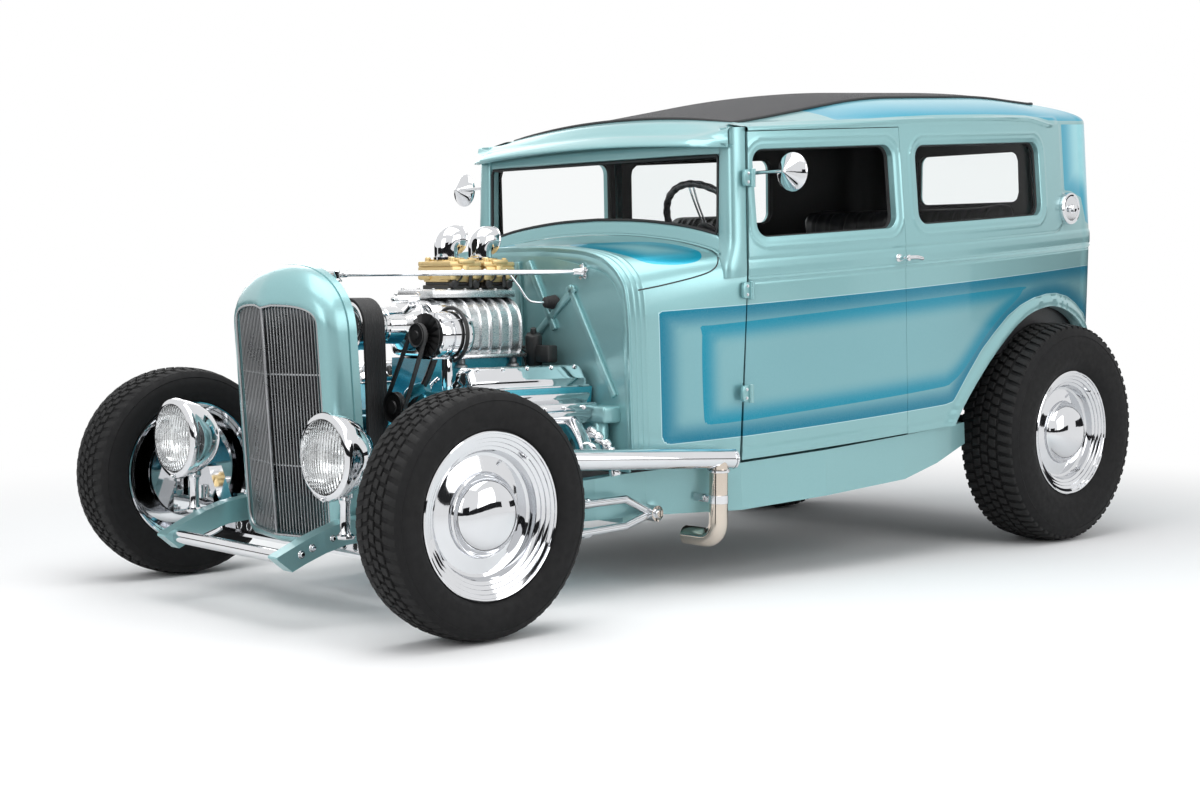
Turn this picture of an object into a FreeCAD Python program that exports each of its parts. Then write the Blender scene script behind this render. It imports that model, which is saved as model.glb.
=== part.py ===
"""Open-engine two-door hot rod sedan, modelled piece by piece in millimetres.

The row frame has +X forward, +Y to the car's left and +Z up, with its origin on the ground in
the middle of the car's length. The chassis, body and grille sit nose-down by the rake angle, so
they are drawn in a raked frame: x runs forward from the front axle and z up from the ground line
under it, and one placement turns and moves them. Stations behind the axle are named setbacks.
"""
import FreeCAD, Part
import math
import os
import Sketcher

SHEET = "Dims"

SIZES = {
    "stance": {
        "wheelbase": 2692,
        "tail_overhang": 446,
        "rake_angle": 4,
        "seam_gap": 5,
        "fit_gap": 0.3,
        "cut_overrun": 20,
    },
    "tyres and wheels": {
        "front_tyre_radius": 325,
        "front_tyre_width": 186,
        "front_rim_width": 152,
        "front_rim_plane": 815,
        "rear_tyre_radius": 388,
        "rear_tyre_width": 240,
        "rear_rim_width": 203,
        "rear_rim_plane": 760,
        "rim_radius": 219,
        "bead_radius": 203,
        "rim_thickness": 5,
        "shoulder_drop": 24,
        "shoulder_inset": 12,
        "shoulder_reach": 44,
        "wheel_disc_radius": 165,
        "wheel_disc_setback": 42,
        "cap_radius": 109,
        "cap_height": 48,
        "front_hub_radius": 42,
        "brake_disc_radius": 140,
        "brake_disc_thickness": 22,
        "brake_disc_setback": 150,
    },
    "front axle": {
        "kingpin_half_track": 610,
        "kingpin_radius": 14,
        "kingpin_length": 150,
        "kingpin_eye_height": 66,
        "pin_clearance": 0.1,
        "running_gap": 6,
        "knuckle_web": 16,
        "spindle_radius": 20,
        "axle_depth": 56,
        "axle_thickness": 46,
        "axle_drop": 139,
        "axle_drop_start": 445,
        "axle_web": 10,
        "steering_arm_length": 150,
        "tie_rod_radius": 11,
        "tie_rod_drop": 100,
        "spring_width": 50,
        "spring_leaf": 9,
        "spring_half_span": 400,
        "spring_arch": 62,
        "spring_setback": 75,
        "spring_seat": 240,
        "rod_radius": 12,
        "rod_clevis_setback": 900,
        "rod_clevis_half_track": 469,
        "rod_clevis_height": 226,
        "rod_bend_length": 110,
        "rod_axle_half_track": 452,
        "rod_upper_seat": 262,
        "rod_upper_bend": 276,
        "rod_lower_seat": 166,
        "rod_lower_bend": 196,
    },
    "rear axle": {
        "axle_tube_radius": 38,
        "carrier_radius": 125,
        "rear_drum_radius": 140,
        "rear_drum_width": 75,
        "trailing_arm_radius": 19,
        "trailing_arm_length": 700,
        "trailing_arm_half_track": 400,
        "damper_radius": 32,
        "damper_length": 251.3,
        "damper_half_track": 385.3,
    },
    "frame": {
        "rail_front_half_track": 322,
        "rail_body_half_track": 662,
        "rail_width": 45,
        "rail_top": 288,
        "rail_nose_depth": 70,
        "rail_body_depth": 145,
        "horn_reach": 305,
        "horn_drop": 70,
        "kickup_half_track": 440,
        "kickup_top": 470,
        "kickup_depth": 90,
        "crossmember_width": 70,
        "crossmember_depth": 90,
        "spreader_radius": 19,
        "spreader_level": 207,
        "spreader_reach": 262,
    },
    "grille": {
        "shell_half_width": 250,
        "shell_bottom": 190,
        "shell_shoulder": 830,
        "shell_peak": 968,
        "shell_front_setback": -105,
        "shell_rear_setback": 36,
        "shell_wall": 14,
        "shell_nose_depth": 50,
        "shell_nose_inset": 28,
        "shell_nose_fall": 60,
        "shell_rear_flare": 6,
        "shell_lip_depth": 60,
        "insert_half_width": 208,
        "insert_bottom": 214,
        "insert_shoulder": 800,
        "insert_top": 868,
        "bar_thickness": 4,
        "bar_depth": 16,
        "bar_gap": 9.5,
        "radiator_depth": 60,
        "radiator_half_width": 215,
        "radiator_clearance": 8,
    },
    "lamps": {
        "lamp_radius": 119,
        "lamp_half_track": 388,
        "lamp_forward": 225,
        "lamp_height": 459,
        "lamp_depth": 140,
        "lamp_lens_radius": 100,
        "lamp_lens_bulge": 22,
        "lamp_stem_radius": 15,
        "lamp_stem_foot": 238,
        "tail_lamp_radius": 38,
        "tail_lamp_depth": 62,
        "tail_lamp_half_track": 470,
        "tail_lamp_level": 560,
    },
    "engine": {
        "crank_height": 372,
        "block_front": -230,
        "block_length": 560,
        "block_half_width": 160,
        "sump_depth": 185,
        "cover_front": -330,
        "cover_length": 448,
        "cover_half_track": 268,
        "cover_width": 105,
        "cover_base": 606,
        "cover_height": 66,
        "header_front": -355,
        "header_length": 400,
        "header_half_track": 350,
        "header_width": 70,
        "header_base": 500,
        "header_height": 90,
        "valley_rise": 25,
        "distributor_rise": 40,
        "gearbox_length": 420,
        "gearbox_radius": 130,
        "propshaft_radius": 38,
    },
    "supercharger": {
        "case_front": -355,
        "case_length": 345,
        "case_half_width": 122,
        "case_base": 690,
        "case_height": 180,
        "case_rib_count": 7,
        "case_rib_width": 14,
        "case_rib_proud": 8,
        "snout_radius": 48,
        "belt_plane": -165,
        "belt_width": 74,
        "belt_thickness": 9,
        "top_pulley_radius": 72,
        "top_pulley_level": 790,
        "crank_pulley_radius": 92,
        "alternator_radius": 68,
        "alternator_length": 150,
        "alternator_pulley_length": 30,
        "bracket_thickness": 14,
        "alternator_front": -200,
        "alternator_half_track": 262,
        "alternator_level": 768,
        "distributor_radius": 38,
        "distributor_height": 150,
        "plate_height": 24,
        "carb_front": -500,
        "carb_spacing": 130,
        "carb_length": 122,
        "carb_width": 175,
        "carb_height": 90,
        "scoop_radius": 47,
        "scoop_height": 105,
    },
    "exhaust and stays": {
        "pipe_radius": 31,
        "pipe_half_track_front": 540,
        "pipe_half_track_rear": 626,
        "pipe_level_front": 416,
        "pipe_level_rear": 388,
        "pipe_front": -505,
        "pipe_rear": -1092,
        "pipe_drop_back": 60,
        "pipe_drop_level": 148,
        "stay_radius": 8,
        "stay_front_half_track": 150,
        "stay_rear_half_track": 300,
        "stay_front": 12,
        "stay_foot_drop": 20,
        "stay_rear": -776,
        "stay_front_height": 940,
        "stay_rear_height": 948,
    },
    "cabin": {
        "firewall_setback": 840,
        "firewall_thickness": 8,
        "cowl_front_half_width": 478,
        "cowl_front_crown": 965,
        "cowl_front_shoulder": 800,
        "cowl_rear_crown": 1000,
        "cowl_flare": 34,
        "windscreen_setback": 1191,
        "door_front_setback": 1178,
        "door_rear_setback": 1885,
        "side_half_width_front": 594,
        "side_half_width_middle": 697,
        "side_half_width_rear": 604,
        "side_start": 1100,
        "side_middle": 1930,
        "tail_sill": 3140,
        "tail_belt": 3196,
        "tail_drip": 3211,
        "tail_corner": 150,
        "tail_crown": 12,
        "sill_level": 294,
        "sill_tuck": 14,
        "belt_level": 875,
        "drip_level": 1288,
        "drip_tuck": 18,
        "wall_thickness": 45,
        "roof_thickness": 28,
        "roof_front_crown": 1350,
        "roof_middle_crown": 1434,
        "roof_rear_crown": 1412,
        "roof_cross_drop": 26,
        "roof_cross_reach": 520,
        "door_window_bottom": 966,
        "door_window_top": 1234,
        "door_window_front": 1262,
        "door_window_rear": 1850,
        "quarter_window_front": 1958,
        "quarter_window_rear": 2712,
        "quarter_window_bottom": 970,
        "quarter_window_top": 1229,
        "window_corner": 42,
        "rear_window_half_width": 250,
        "rear_window_bottom": 1004,
        "rear_window_top": 1209,
        "glass_thickness": 6,
        "arch_radius": 446,
        "arch_run": 560,
        "arch_foot_rise": 20,
        "arch_foot_fall": 30,
        "floor_level": 288,
        "floor_thickness": 12,
        "floor_front_inset": 10,
        "floor_rear_flare": 20,
        "rear_deck_rise": 330,
        "tunnel_front_half_width": 172,
        "tunnel_front_top": 500,
        "tunnel_waist_setback": 1250,
        "tunnel_waist_half_width": 104,
        "tunnel_waist_top": 425,
        "tunnel_rear_half_width": 62,
        "tunnel_rear_top": 330,
        "tunnel_end": 2150,
        "tub_half_width": 500,
        "insert_front_setback": 1285,
        "insert_rear_setback": 3060,
        "insert_half_width_front": 515,
        "insert_half_width_rear": 430,
        "insert_proud": 6,
        "visor_reach": 95,
        "visor_drop": 75,
        "post_width": 48,
        "windscreen_bottom": 985,
        "windscreen_top": 1225,
        "windscreen_half_width": 538,
    },
    "cabin fittings": {
        "seat_width": 440,
        "seat_depth": 500,
        "seat_height": 170,
        "seat_back_height": 560,
        "seat_back_thickness": 130,
        "seat_front_setback": 1560,
        "seat_half_track": 333,
        "rear_seat_setback": 2250,
        "rear_seat_half_width": 480,
        "dash_height": 190,
        "dash_depth": 60,
        "steering_wheel_radius": 178,
        "steering_wheel_rim": 13,
        "steering_wheel_setback": 1390,
        "steering_wheel_level": 985,
        "steering_wheel_half_track": 310,
        "steering_wheel_tilt": 62,
        "column_radius": 22,
        "column_length": 620,
        "mirror_radius": 58,
        "mirror_depth": 40,
        "mirror_half_track": 776,
        "mirror_level": 1158,
        "mirror_setback": 1215,
        "mirror_stalk_radius": 7,
        "mirror_root_setback": 1268,
        "mirror_root_half_track": 590,
        "hinge_setback": 1161,
        "hinge_half_track": 630,
        "hinge_radius": 8,
        "hinge_pin_radius": 4,
        "hinge_height": 56,
        "hinge_leaf": 34,
        "hinge_reach": 30,
        "hinge_low": 582,
        "hinge_middle": 894,
        "hinge_high": 1231,
        "handle_radius": 12,
        "handle_inset": 40,
        "handle_reach": 80,
        "handle_length": 100,
        "handle_level": 868,
        "filler_radius": 58,
        "filler_depth": 46,
        "filler_setback": 2900,
        "filler_level": 985,
    },
}

doc = FreeCAD.newDocument("HotRod")
sheet = doc.addObject("Spreadsheet::Sheet", SHEET)


def fill_sheet():
    """Write each section's sizes as rows of name and value."""
    row = 1
    for section, rows in SIZES.items():
        sheet.set(f"A{row}", section)
        row += 1
        for alias, value in rows.items():
            sheet.set(f"A{row}", alias)
            sheet.set(f"B{row}", str(value))
            sheet.setAlias(f"B{row}", alias)
            row += 1
    doc.recompute()


fill_sheet()


class Length:
    """A size with its value and the formula that a bound property follows."""

    def __init__(self, value, formula):
        self.value = value
        self.formula = formula

    @staticmethod
    def of(other):
        if isinstance(other, Length):
            return other
        return Length(float(other), repr(other))

    def combine(self, other, sign, value):
        return Length(value, f"({self.formula} {sign} {Length.of(other).formula})")

    def __add__(self, other):
        return self.combine(other, "+", self.value + Length.of(other).value)

    def __sub__(self, other):
        return self.combine(other, "-", self.value - Length.of(other).value)

    def __mul__(self, other):
        return self.combine(other, "*", self.value * Length.of(other).value)

    def __truediv__(self, other):
        return self.combine(other, "/", self.value / Length.of(other).value)

    def __neg__(self):
        return Length(-self.value, f"(0 - {self.formula})")

    def __float__(self):
        return self.value


class Sizes:
    """The sheet's sizes by name, each as a Length."""

    def __getattr__(self, alias):
        return Length(float(sheet.get(alias)), f"{SHEET}.{alias}")


class Numbers:
    """The sheet's sizes by name, each as a plain number."""

    def __getattr__(self, alias):
        return float(sheet.get(alias))


size = Sizes()
n = Numbers()
ZERO = Length(0.0, "0")
UP = FreeCAD.Vector(0, 0, 1)
LEFT = FreeCAD.Vector(0, 1, 0)
AHEAD = FreeCAD.Vector(1, 0, 0)

FRONT_AXLE = (size.wheelbase + size.tail_overhang - size.front_tyre_radius) / 2
REAR_AXLE = FRONT_AXLE - size.wheelbase
SIDES = {"left": 1, "right": -1}
nodes = {}


def vec(x, y, z):
    return FreeCAD.Vector(float(x), float(y), float(z))


def keep(label, item):
    """Note the object that is written as this node."""
    item.Label = label
    nodes[label] = item
    return item


def raked(label, shape):
    """A piece drawn in the raked frame of the chassis and body."""
    item = doc.addObject("Part::Feature", label)
    item.Shape = shape
    frame = FreeCAD.Placement(vec(FRONT_AXLE, 0, 0), FreeCAD.Rotation(LEFT, n.rake_angle))
    item.Placement = frame.multiply(shape.Placement)
    return keep(label, item)


def level(label, shape):
    """A piece drawn level with the ground, with x from the front axle."""
    item = doc.addObject("Part::Feature", label)
    item.Shape = shape
    frame = FreeCAD.Placement(vec(FRONT_AXLE, 0, 0), FreeCAD.Rotation())
    item.Placement = frame.multiply(shape.Placement)
    return keep(label, item)


def bind_place(item, x=ZERO, y=ZERO, z=ZERO):
    """Tie an object's place to the sheet."""
    for axis, length in zip("xyz", (x, y, z)):
        item.setExpression(f".Placement.Base.{axis}", length.formula)


def box(x0, x1, y0, y1, z0, z1):
    """A block between two corners."""
    corner = vec(min(x0, x1), min(y0, y1), min(z0, z1))
    return Part.makeBox(abs(x1 - x0), abs(y1 - y0), abs(z1 - z0), corner)


def tube(start, end, radius):
    """A round bar between two points."""
    run = end - start
    return Part.makeCylinder(radius, run.Length, start, run)


def prism(points, push):
    """A flat outline of straight edges pushed along a vector."""
    return Part.Face(Part.makePolygon(points + points[:1])).extrude(push)


def mirrored(shape):
    """The same shape on the car's other side."""
    return shape.mirror(vec(0, 0, 0), LEFT)


def both_sides(shape):
    """A left-hand shape and its mirror, as one compound of two solids."""
    return Part.makeCompound([shape, mirrored(shape)])


def rounded_window(x0, x1, z0, z1, radius, depth):
    """A cutter through both sides of the car with round corners."""
    cutter = box(x0, x1, -depth, depth, z0, z1)
    edges = [edge for edge in cutter.Edges if abs(edge.tangentAt(edge.FirstParameter).y) > 0.9]
    return cutter.makeFillet(radius, edges)


def profile_body(label, plane_role, corners):
    """A body with one closed sketch whose corners follow the sheet."""
    body = doc.addObject("PartDesign::Body", label)
    plane = [item for item in body.Origin.OriginFeatures if item.Role == plane_role][0]
    sketch = body.newObject("Sketcher::SketchObject", f"{label}_outline")
    sketch.AttachmentSupport = [(plane, "")]
    sketch.MapMode = "FlatFace"
    points = [vec(across, up, 0) for across, up in corners]
    count = len(points)
    for index in range(count):
        sketch.addGeometry(Part.LineSegment(points[index], points[(index + 1) % count]))
    for index in range(count):
        sketch.addConstraint(Sketcher.Constraint("Coincident", index, 2, (index + 1) % count, 1))
    for index, (across, up) in enumerate(corners):
        for kind, length in (("DistanceX", across), ("DistanceY", up)):
            length = Length.of(length)
            held = Sketcher.Constraint(kind, -1, 1, index, 1, float(length))
            number = sketch.addConstraint(held)
            if length.formula != "0":
                sketch.setExpression(f"Constraints[{number}]", length.formula)
    return body, sketch


def turned(label, corners):
    """A lathe-turned body about its own X axis, from corners of (along, radius)."""
    body, sketch = profile_body(label, "XY_Plane", corners)
    turn = body.newObject("PartDesign::Revolution", f"{label}_turn")
    turn.Profile = sketch
    turn.ReferenceAxis = (sketch, ["H_Axis"])
    turn.Angle = 360
    return body


def padded(label, plane_role, corners, length):
    """A body with one outline pushed evenly to both sides of its plane."""
    body, sketch = profile_body(label, plane_role, corners)
    pad = body.newObject("PartDesign::Pad", f"{label}_pad")
    pad.Profile = sketch
    pad.Midplane = True
    pad.setExpression("Length", length.formula)
    return keep(label, body)


def face_outboard(body, side):
    """Turn a lathe-turned body so that its own +X points away from the car."""
    body.Placement = FreeCAD.Placement(vec(0, 0, 0), FreeCAD.Rotation(UP, 90 * side))


def paired(label, left_item):
    """A left-hand object and its mirror on the right, as one node."""
    twin = doc.addObject("Part::Mirroring", f"{label}_right")
    twin.Source = left_item
    twin.Normal = LEFT
    pair = doc.addObject("Part::Compound", label)
    pair.Links = [left_item, twin]
    return keep(label, pair)


BULGE_SHARE = 0.5


def make_tyre(label, side, axle_x, radius, width, rim_width, rim_plane):
    """A tyre with a flat tread, chamfered shoulders and bulging side walls."""
    bead = rim_width / 2 - size.rim_thickness - size.fit_gap
    half = width / 2
    seat = size.bead_radius + size.fit_gap
    wall = radius - size.bead_radius
    corners = [
        (-bead, seat), (bead, seat), (bead, size.rim_radius + size.fit_gap),
        (half, size.bead_radius + wall * BULGE_SHARE),
        (half - size.shoulder_inset, radius - size.shoulder_drop), (half - size.shoulder_reach, radius),
    ]
    mirrored_corners = [(-along, height) for along, height in corners[2:]]
    body = keep(label, turned(label, corners + mirrored_corners[::-1]))
    face_outboard(body, side)
    bind_place(body, axle_x, (rim_plane - rim_width / 2) * side, radius)


def make_wheel(label, side, axle_x, tyre_radius, rim_width, rim_plane, has_disc):
    """A steel wheel with a stepped trim ring, a dished disc and a domed cap."""
    front = rim_width / 2
    wall = size.rim_thickness
    disc = front - size.wheel_disc_setback
    brake = front - size.brake_disc_setback
    hub = size.front_hub_radius
    corners = [
        (front, size.bead_radius - wall), (front, size.rim_radius),
        (front - wall, size.rim_radius), (front - wall, size.bead_radius),
        (-front + wall, size.bead_radius), (-front + wall, size.rim_radius),
        (-front, size.rim_radius), (-front, size.bead_radius - wall),
        (disc - size.wheel_disc_setback, size.bead_radius - wall),
        (disc - wall * 2, size.wheel_disc_radius),
        (disc - wall, size.cap_radius),
    ]
    if has_disc:
        corners += [
            (disc - wall, hub), (brake + size.brake_disc_thickness, hub),
            (brake + size.brake_disc_thickness, size.brake_disc_radius),
            (brake, size.brake_disc_radius), (brake, ZERO),
        ]
    else:
        corners += [(disc - wall, ZERO)]
    corners += [
        (disc + size.cap_height, ZERO),
        (disc + size.cap_height * 0.86, size.cap_radius * 0.5),
        (disc + size.cap_height * 0.5, size.cap_radius * 0.84),
        (disc, size.cap_radius), (disc, size.wheel_disc_radius * 0.95),
        (disc - wall, size.wheel_disc_radius),
        (disc, size.bead_radius - wall * 3),
        (front - wall * 3, size.bead_radius - wall * 2),
    ]
    body = keep(label, turned(label, corners))
    face_outboard(body, side)
    bind_place(body, axle_x, (rim_plane - rim_width / 2) * side, tyre_radius)


def make_wheels():
    for side_name, side in SIDES.items():
        make_tyre(
            f"front_{side_name}_tyre", side, FRONT_AXLE, size.front_tyre_radius,
            size.front_tyre_width, size.front_rim_width, size.front_rim_plane,
        )
        make_wheel(
            f"front_{side_name}_wheel", side, FRONT_AXLE, size.front_tyre_radius,
            size.front_rim_width, size.front_rim_plane, True,
        )
        make_tyre(
            f"rear_{side_name}_tyre", side, REAR_AXLE, size.rear_tyre_radius,
            size.rear_tyre_width, size.rear_rim_width, size.rear_rim_plane,
        )
        make_wheel(
            f"rear_{side_name}_wheel", side, REAR_AXLE, size.rear_tyre_radius,
            size.rear_rim_width, size.rear_rim_plane, False,
        )


def make_front_axle():
    """The dropped I-beam axle, its knuckles, tie rod, spring and radius rods."""
    hub_z = n.front_tyre_radius
    top = hub_z - n.axle_drop / 2 + n.axle_depth / 2
    drop = n.axle_drop
    end = n.kingpin_half_track - n.kingpin_radius * 1.7
    start = n.axle_drop_start
    depth = n.axle_depth
    low = hub_z - drop
    outline = [
        vec(0, -start, low - depth / 2), vec(0, start, low - depth / 2),
        vec(0, end - depth, hub_z - depth / 2), vec(0, end, hub_z - depth / 2),
        vec(0, end, hub_z + depth / 2), vec(0, end - depth, hub_z + depth / 2),
        vec(0, start, low + depth / 2), vec(0, -start, low + depth / 2),
        vec(0, depth - end, hub_z + depth / 2), vec(0, -end, hub_z + depth / 2),
        vec(0, -end, hub_z - depth / 2), vec(0, depth - end, hub_z - depth / 2),
    ]
    beam = prism(outline, vec(n.axle_thickness, 0, 0))
    beam.translate(vec(-n.axle_thickness / 2, 0, 0))
    pocket_depth = (n.axle_thickness - n.axle_web) / 2
    flange = depth / 6
    for face in (1, -1):
        pocket = box(
            face * n.axle_web / 2, face * (n.axle_web / 2 + pocket_depth + n.cut_overrun),
            -start + flange, start - flange, low - depth / 2 + flange, low + depth / 2 - flange,
        )
        beam = beam.cut(pocket)
    ear = n.kingpin_radius * 1.7
    eye_half = n.kingpin_eye_height / 2
    for side in SIDES.values():
        y = side * n.kingpin_half_track
        eye = tube(vec(0, y, hub_z - eye_half), vec(0, y, hub_z + eye_half), ear)
        neck = box(
            -n.axle_thickness / 2, n.axle_thickness / 2, side * (end - ear), y,
            hub_z - eye_half, hub_z + eye_half,
        )
        bore = tube(
            vec(0, y, hub_z - n.kingpin_length), vec(0, y, hub_z + n.kingpin_length),
            n.kingpin_radius + n.pin_clearance,
        )
        beam = beam.fuse([eye, neck]).cut(bore)
    level("front_axle_beam", beam.removeSplitter())

    for side_name, side in SIDES.items():
        pin_y = side * n.kingpin_half_track
        half = n.kingpin_length / 2
        pin = tube(vec(0, pin_y, hub_z - half), vec(0, pin_y, hub_z + half), n.kingpin_radius)
        ears = []
        for end_z in (1, -1):
            near = hub_z + end_z * (eye_half + n.fit_gap)
            ears.append(tube(vec(0, pin_y, near), vec(0, pin_y, hub_z + end_z * half), ear))
        disc_plane = n.front_rim_plane - n.brake_disc_setback
        web_near = pin_y + side * (ear + n.fit_gap * 2)
        web_far = pin_y + side * (ear + n.knuckle_web)
        web = box(-ear, ear, web_near, web_far, hub_z - half, hub_z + half)
        for end_z in (1, -1):
            near = hub_z + end_z * (eye_half + n.fit_gap)
            ears.append(box(-ear, ear, pin_y, web_near, near, hub_z + end_z * half))
        spindle = tube(
            vec(0, web_far, hub_z), vec(0, side * (disc_plane - n.fit_gap), hub_z), n.spindle_radius,
        )
        arm_z = hub_z - n.tie_rod_drop
        arm_end = vec(-n.steering_arm_length, pin_y, arm_z)
        arm_root = vec(0, pin_y, hub_z - half + n.tie_rod_radius)
        arm_bend = vec(-n.steering_arm_length / 2, pin_y, arm_z)
        arm = tube(arm_root, arm_bend, n.tie_rod_radius).fuse([
            Part.makeSphere(n.tie_rod_radius, arm_bend), tube(arm_bend, arm_end, n.tie_rod_radius),
        ])
        arm_eye = tube(
            arm_end - vec(0, 0, n.tie_rod_radius), arm_end + vec(0, 0, n.tie_rod_radius),
            n.tie_rod_radius * 1.5,
        )
        knuckle = pin.fuse(ears + [web, spindle, arm, arm_eye]).removeSplitter()
        level(f"{side_name}_knuckle", knuckle)

    eye_y = n.kingpin_half_track
    rod_z = hub_z - n.tie_rod_drop - n.tie_rod_radius * 2 - n.fit_gap
    rod = tube(
        vec(-n.steering_arm_length, -eye_y, rod_z), vec(-n.steering_arm_length, eye_y, rod_z),
        n.tie_rod_radius,
    )
    ends = [
        tube(vec(-n.steering_arm_length, y, rod_z - n.tie_rod_radius),
             vec(-n.steering_arm_length, y, rod_z + n.tie_rod_radius), n.tie_rod_radius * 1.5)
        for y in (-eye_y, eye_y)
    ]
    level("tie_rod", rod.fuse(ends).removeSplitter())

    spring = None
    spring_front = n.spring_setback - n.spring_width / 2
    crown = n.spring_seat + spring_front * math.tan(math.radians(n.rake_angle)) - n.fit_gap
    for leaf in range(4):
        reach = n.spring_half_span * (1 - 0.2 * leaf)
        sag = n.spring_arch * (reach / n.spring_half_span) ** 2
        high = crown - leaf * n.spring_leaf
        lower = Part.Arc(
            vec(0, -reach, high - n.spring_leaf - sag), vec(0, 0, high - n.spring_leaf),
            vec(0, reach, high - n.spring_leaf - sag),
        )
        upper = Part.Arc(vec(0, -reach, high - sag), vec(0, 0, high), vec(0, reach, high - sag))
        wire = Part.Wire([
            lower.toShape(), Part.makeLine(lower.EndPoint, upper.EndPoint),
            upper.toShape(), Part.makeLine(upper.StartPoint, lower.StartPoint),
        ])
        solid = Part.Face(wire).extrude(vec(n.spring_width, 0, 0))
        solid.translate(vec(-n.spring_setback - n.spring_width / 2, 0, 0))
        spring = solid if spring is None else spring.fuse(solid)
    eye_z = crown - n.spring_arch - n.spring_leaf / 2
    for side in SIDES.values():
        y = side * n.spring_half_span
        eye = vec(-n.spring_setback, y, eye_z)
        half = vec(n.spring_width / 2, 0, 0)
        perch = vec(-n.axle_thickness / 2 - n.fit_gap, y, eye_z)
        spring = spring.fuse([tube(eye - half, eye + half, n.spring_leaf), tube(eye, perch, n.spring_leaf)])
    level("front_spring", spring.removeSplitter())

    clevis = vec(-n.rod_clevis_setback, n.rod_clevis_half_track, n.rod_clevis_height)
    bend_x = -n.rod_clevis_setback + n.rod_bend_length
    plate_x = -n.axle_thickness / 2 - n.fit_gap
    axle_y = n.rod_axle_half_track
    pieces = []
    for seat_z, bend_z in ((n.rod_upper_seat, n.rod_upper_bend), (n.rod_lower_seat, n.rod_lower_bend)):
        seat = vec(plate_x - n.rod_radius, axle_y, seat_z)
        bend = vec(bend_x, n.rod_clevis_half_track, bend_z)
        pieces += [tube(seat, bend, n.rod_radius), Part.makeSphere(n.rod_radius, bend)]
        pieces.append(tube(bend, clevis, n.rod_radius))
    pieces.append(box(
        plate_x - n.rod_radius * 2, plate_x, axle_y - n.rod_radius, axle_y + n.rod_radius,
        n.rod_lower_seat - n.rod_radius, n.rod_upper_seat + n.rod_radius,
    ))
    joint = tube(
        clevis - vec(0, n.rod_radius * 2, 0), clevis + vec(0, n.rod_radius * 2, 0), n.rod_radius * 2,
    )
    level("radius_rods", both_sides(joint.fuse(pieces).removeSplitter()))


def make_rear_axle():
    """The rear axle with its carrier, trailing arms and coil dampers."""
    hub_z = n.rear_tyre_radius
    x = -n.wheelbase
    reach = n.rear_rim_plane - n.wheel_disc_setback - n.rim_thickness - n.fit_gap
    tubes = tube(vec(x, -reach, hub_z), vec(x, reach, hub_z), n.axle_tube_radius)
    drum_outer = reach - n.running_gap * 2
    drum_inner = drum_outer - n.rear_drum_width
    pieces = [Part.makeSphere(n.carrier_radius, vec(x, 0, hub_z))]
    for side in SIDES.values():
        pieces.append(tube(
            vec(x, side * drum_inner, hub_z), vec(x, side * drum_outer, hub_z), n.rear_drum_radius,
        ))
    level("rear_axle", tubes.fuse(pieces).removeSplitter())
    arm_y = n.trailing_arm_half_track
    arm_rear = vec(x + n.axle_tube_radius + n.trailing_arm_radius, arm_y, hub_z)
    arm_front = vec(x + n.trailing_arm_length, arm_y, hub_z - n.carrier_radius / 2)
    arm = tube(arm_rear, arm_front, n.trailing_arm_radius)
    bracket = box(
        x + n.axle_tube_radius, x + n.axle_tube_radius + n.trailing_arm_radius * 3,
        arm_y - n.trailing_arm_radius, arm_y + n.trailing_arm_radius,
        hub_z - n.trailing_arm_radius * 2, hub_z + n.trailing_arm_radius * 2,
    )
    foot = vec(x - n.axle_tube_radius - n.damper_radius, n.damper_half_track, hub_z)
    head = foot + vec(0, 0, n.damper_length)
    damper = tube(foot, head, n.damper_radius)
    level("trailing_arms", both_sides(arm.fuse(bracket).removeSplitter()))
    level("rear_dampers", both_sides(damper))


def rail_loft(stations):
    """A box rail through stations of (x, outer face y, top, bottom)."""
    sections = []
    for x, outer, top, bottom in stations:
        inner = outer - n.rail_width
        corners = [vec(x, inner, bottom), vec(x, outer, bottom), vec(x, outer, top), vec(x, inner, top)]
        sections.append(Part.makePolygon(corners + corners[:1]))
    return Part.makeLoft(sections, True, True)


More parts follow.
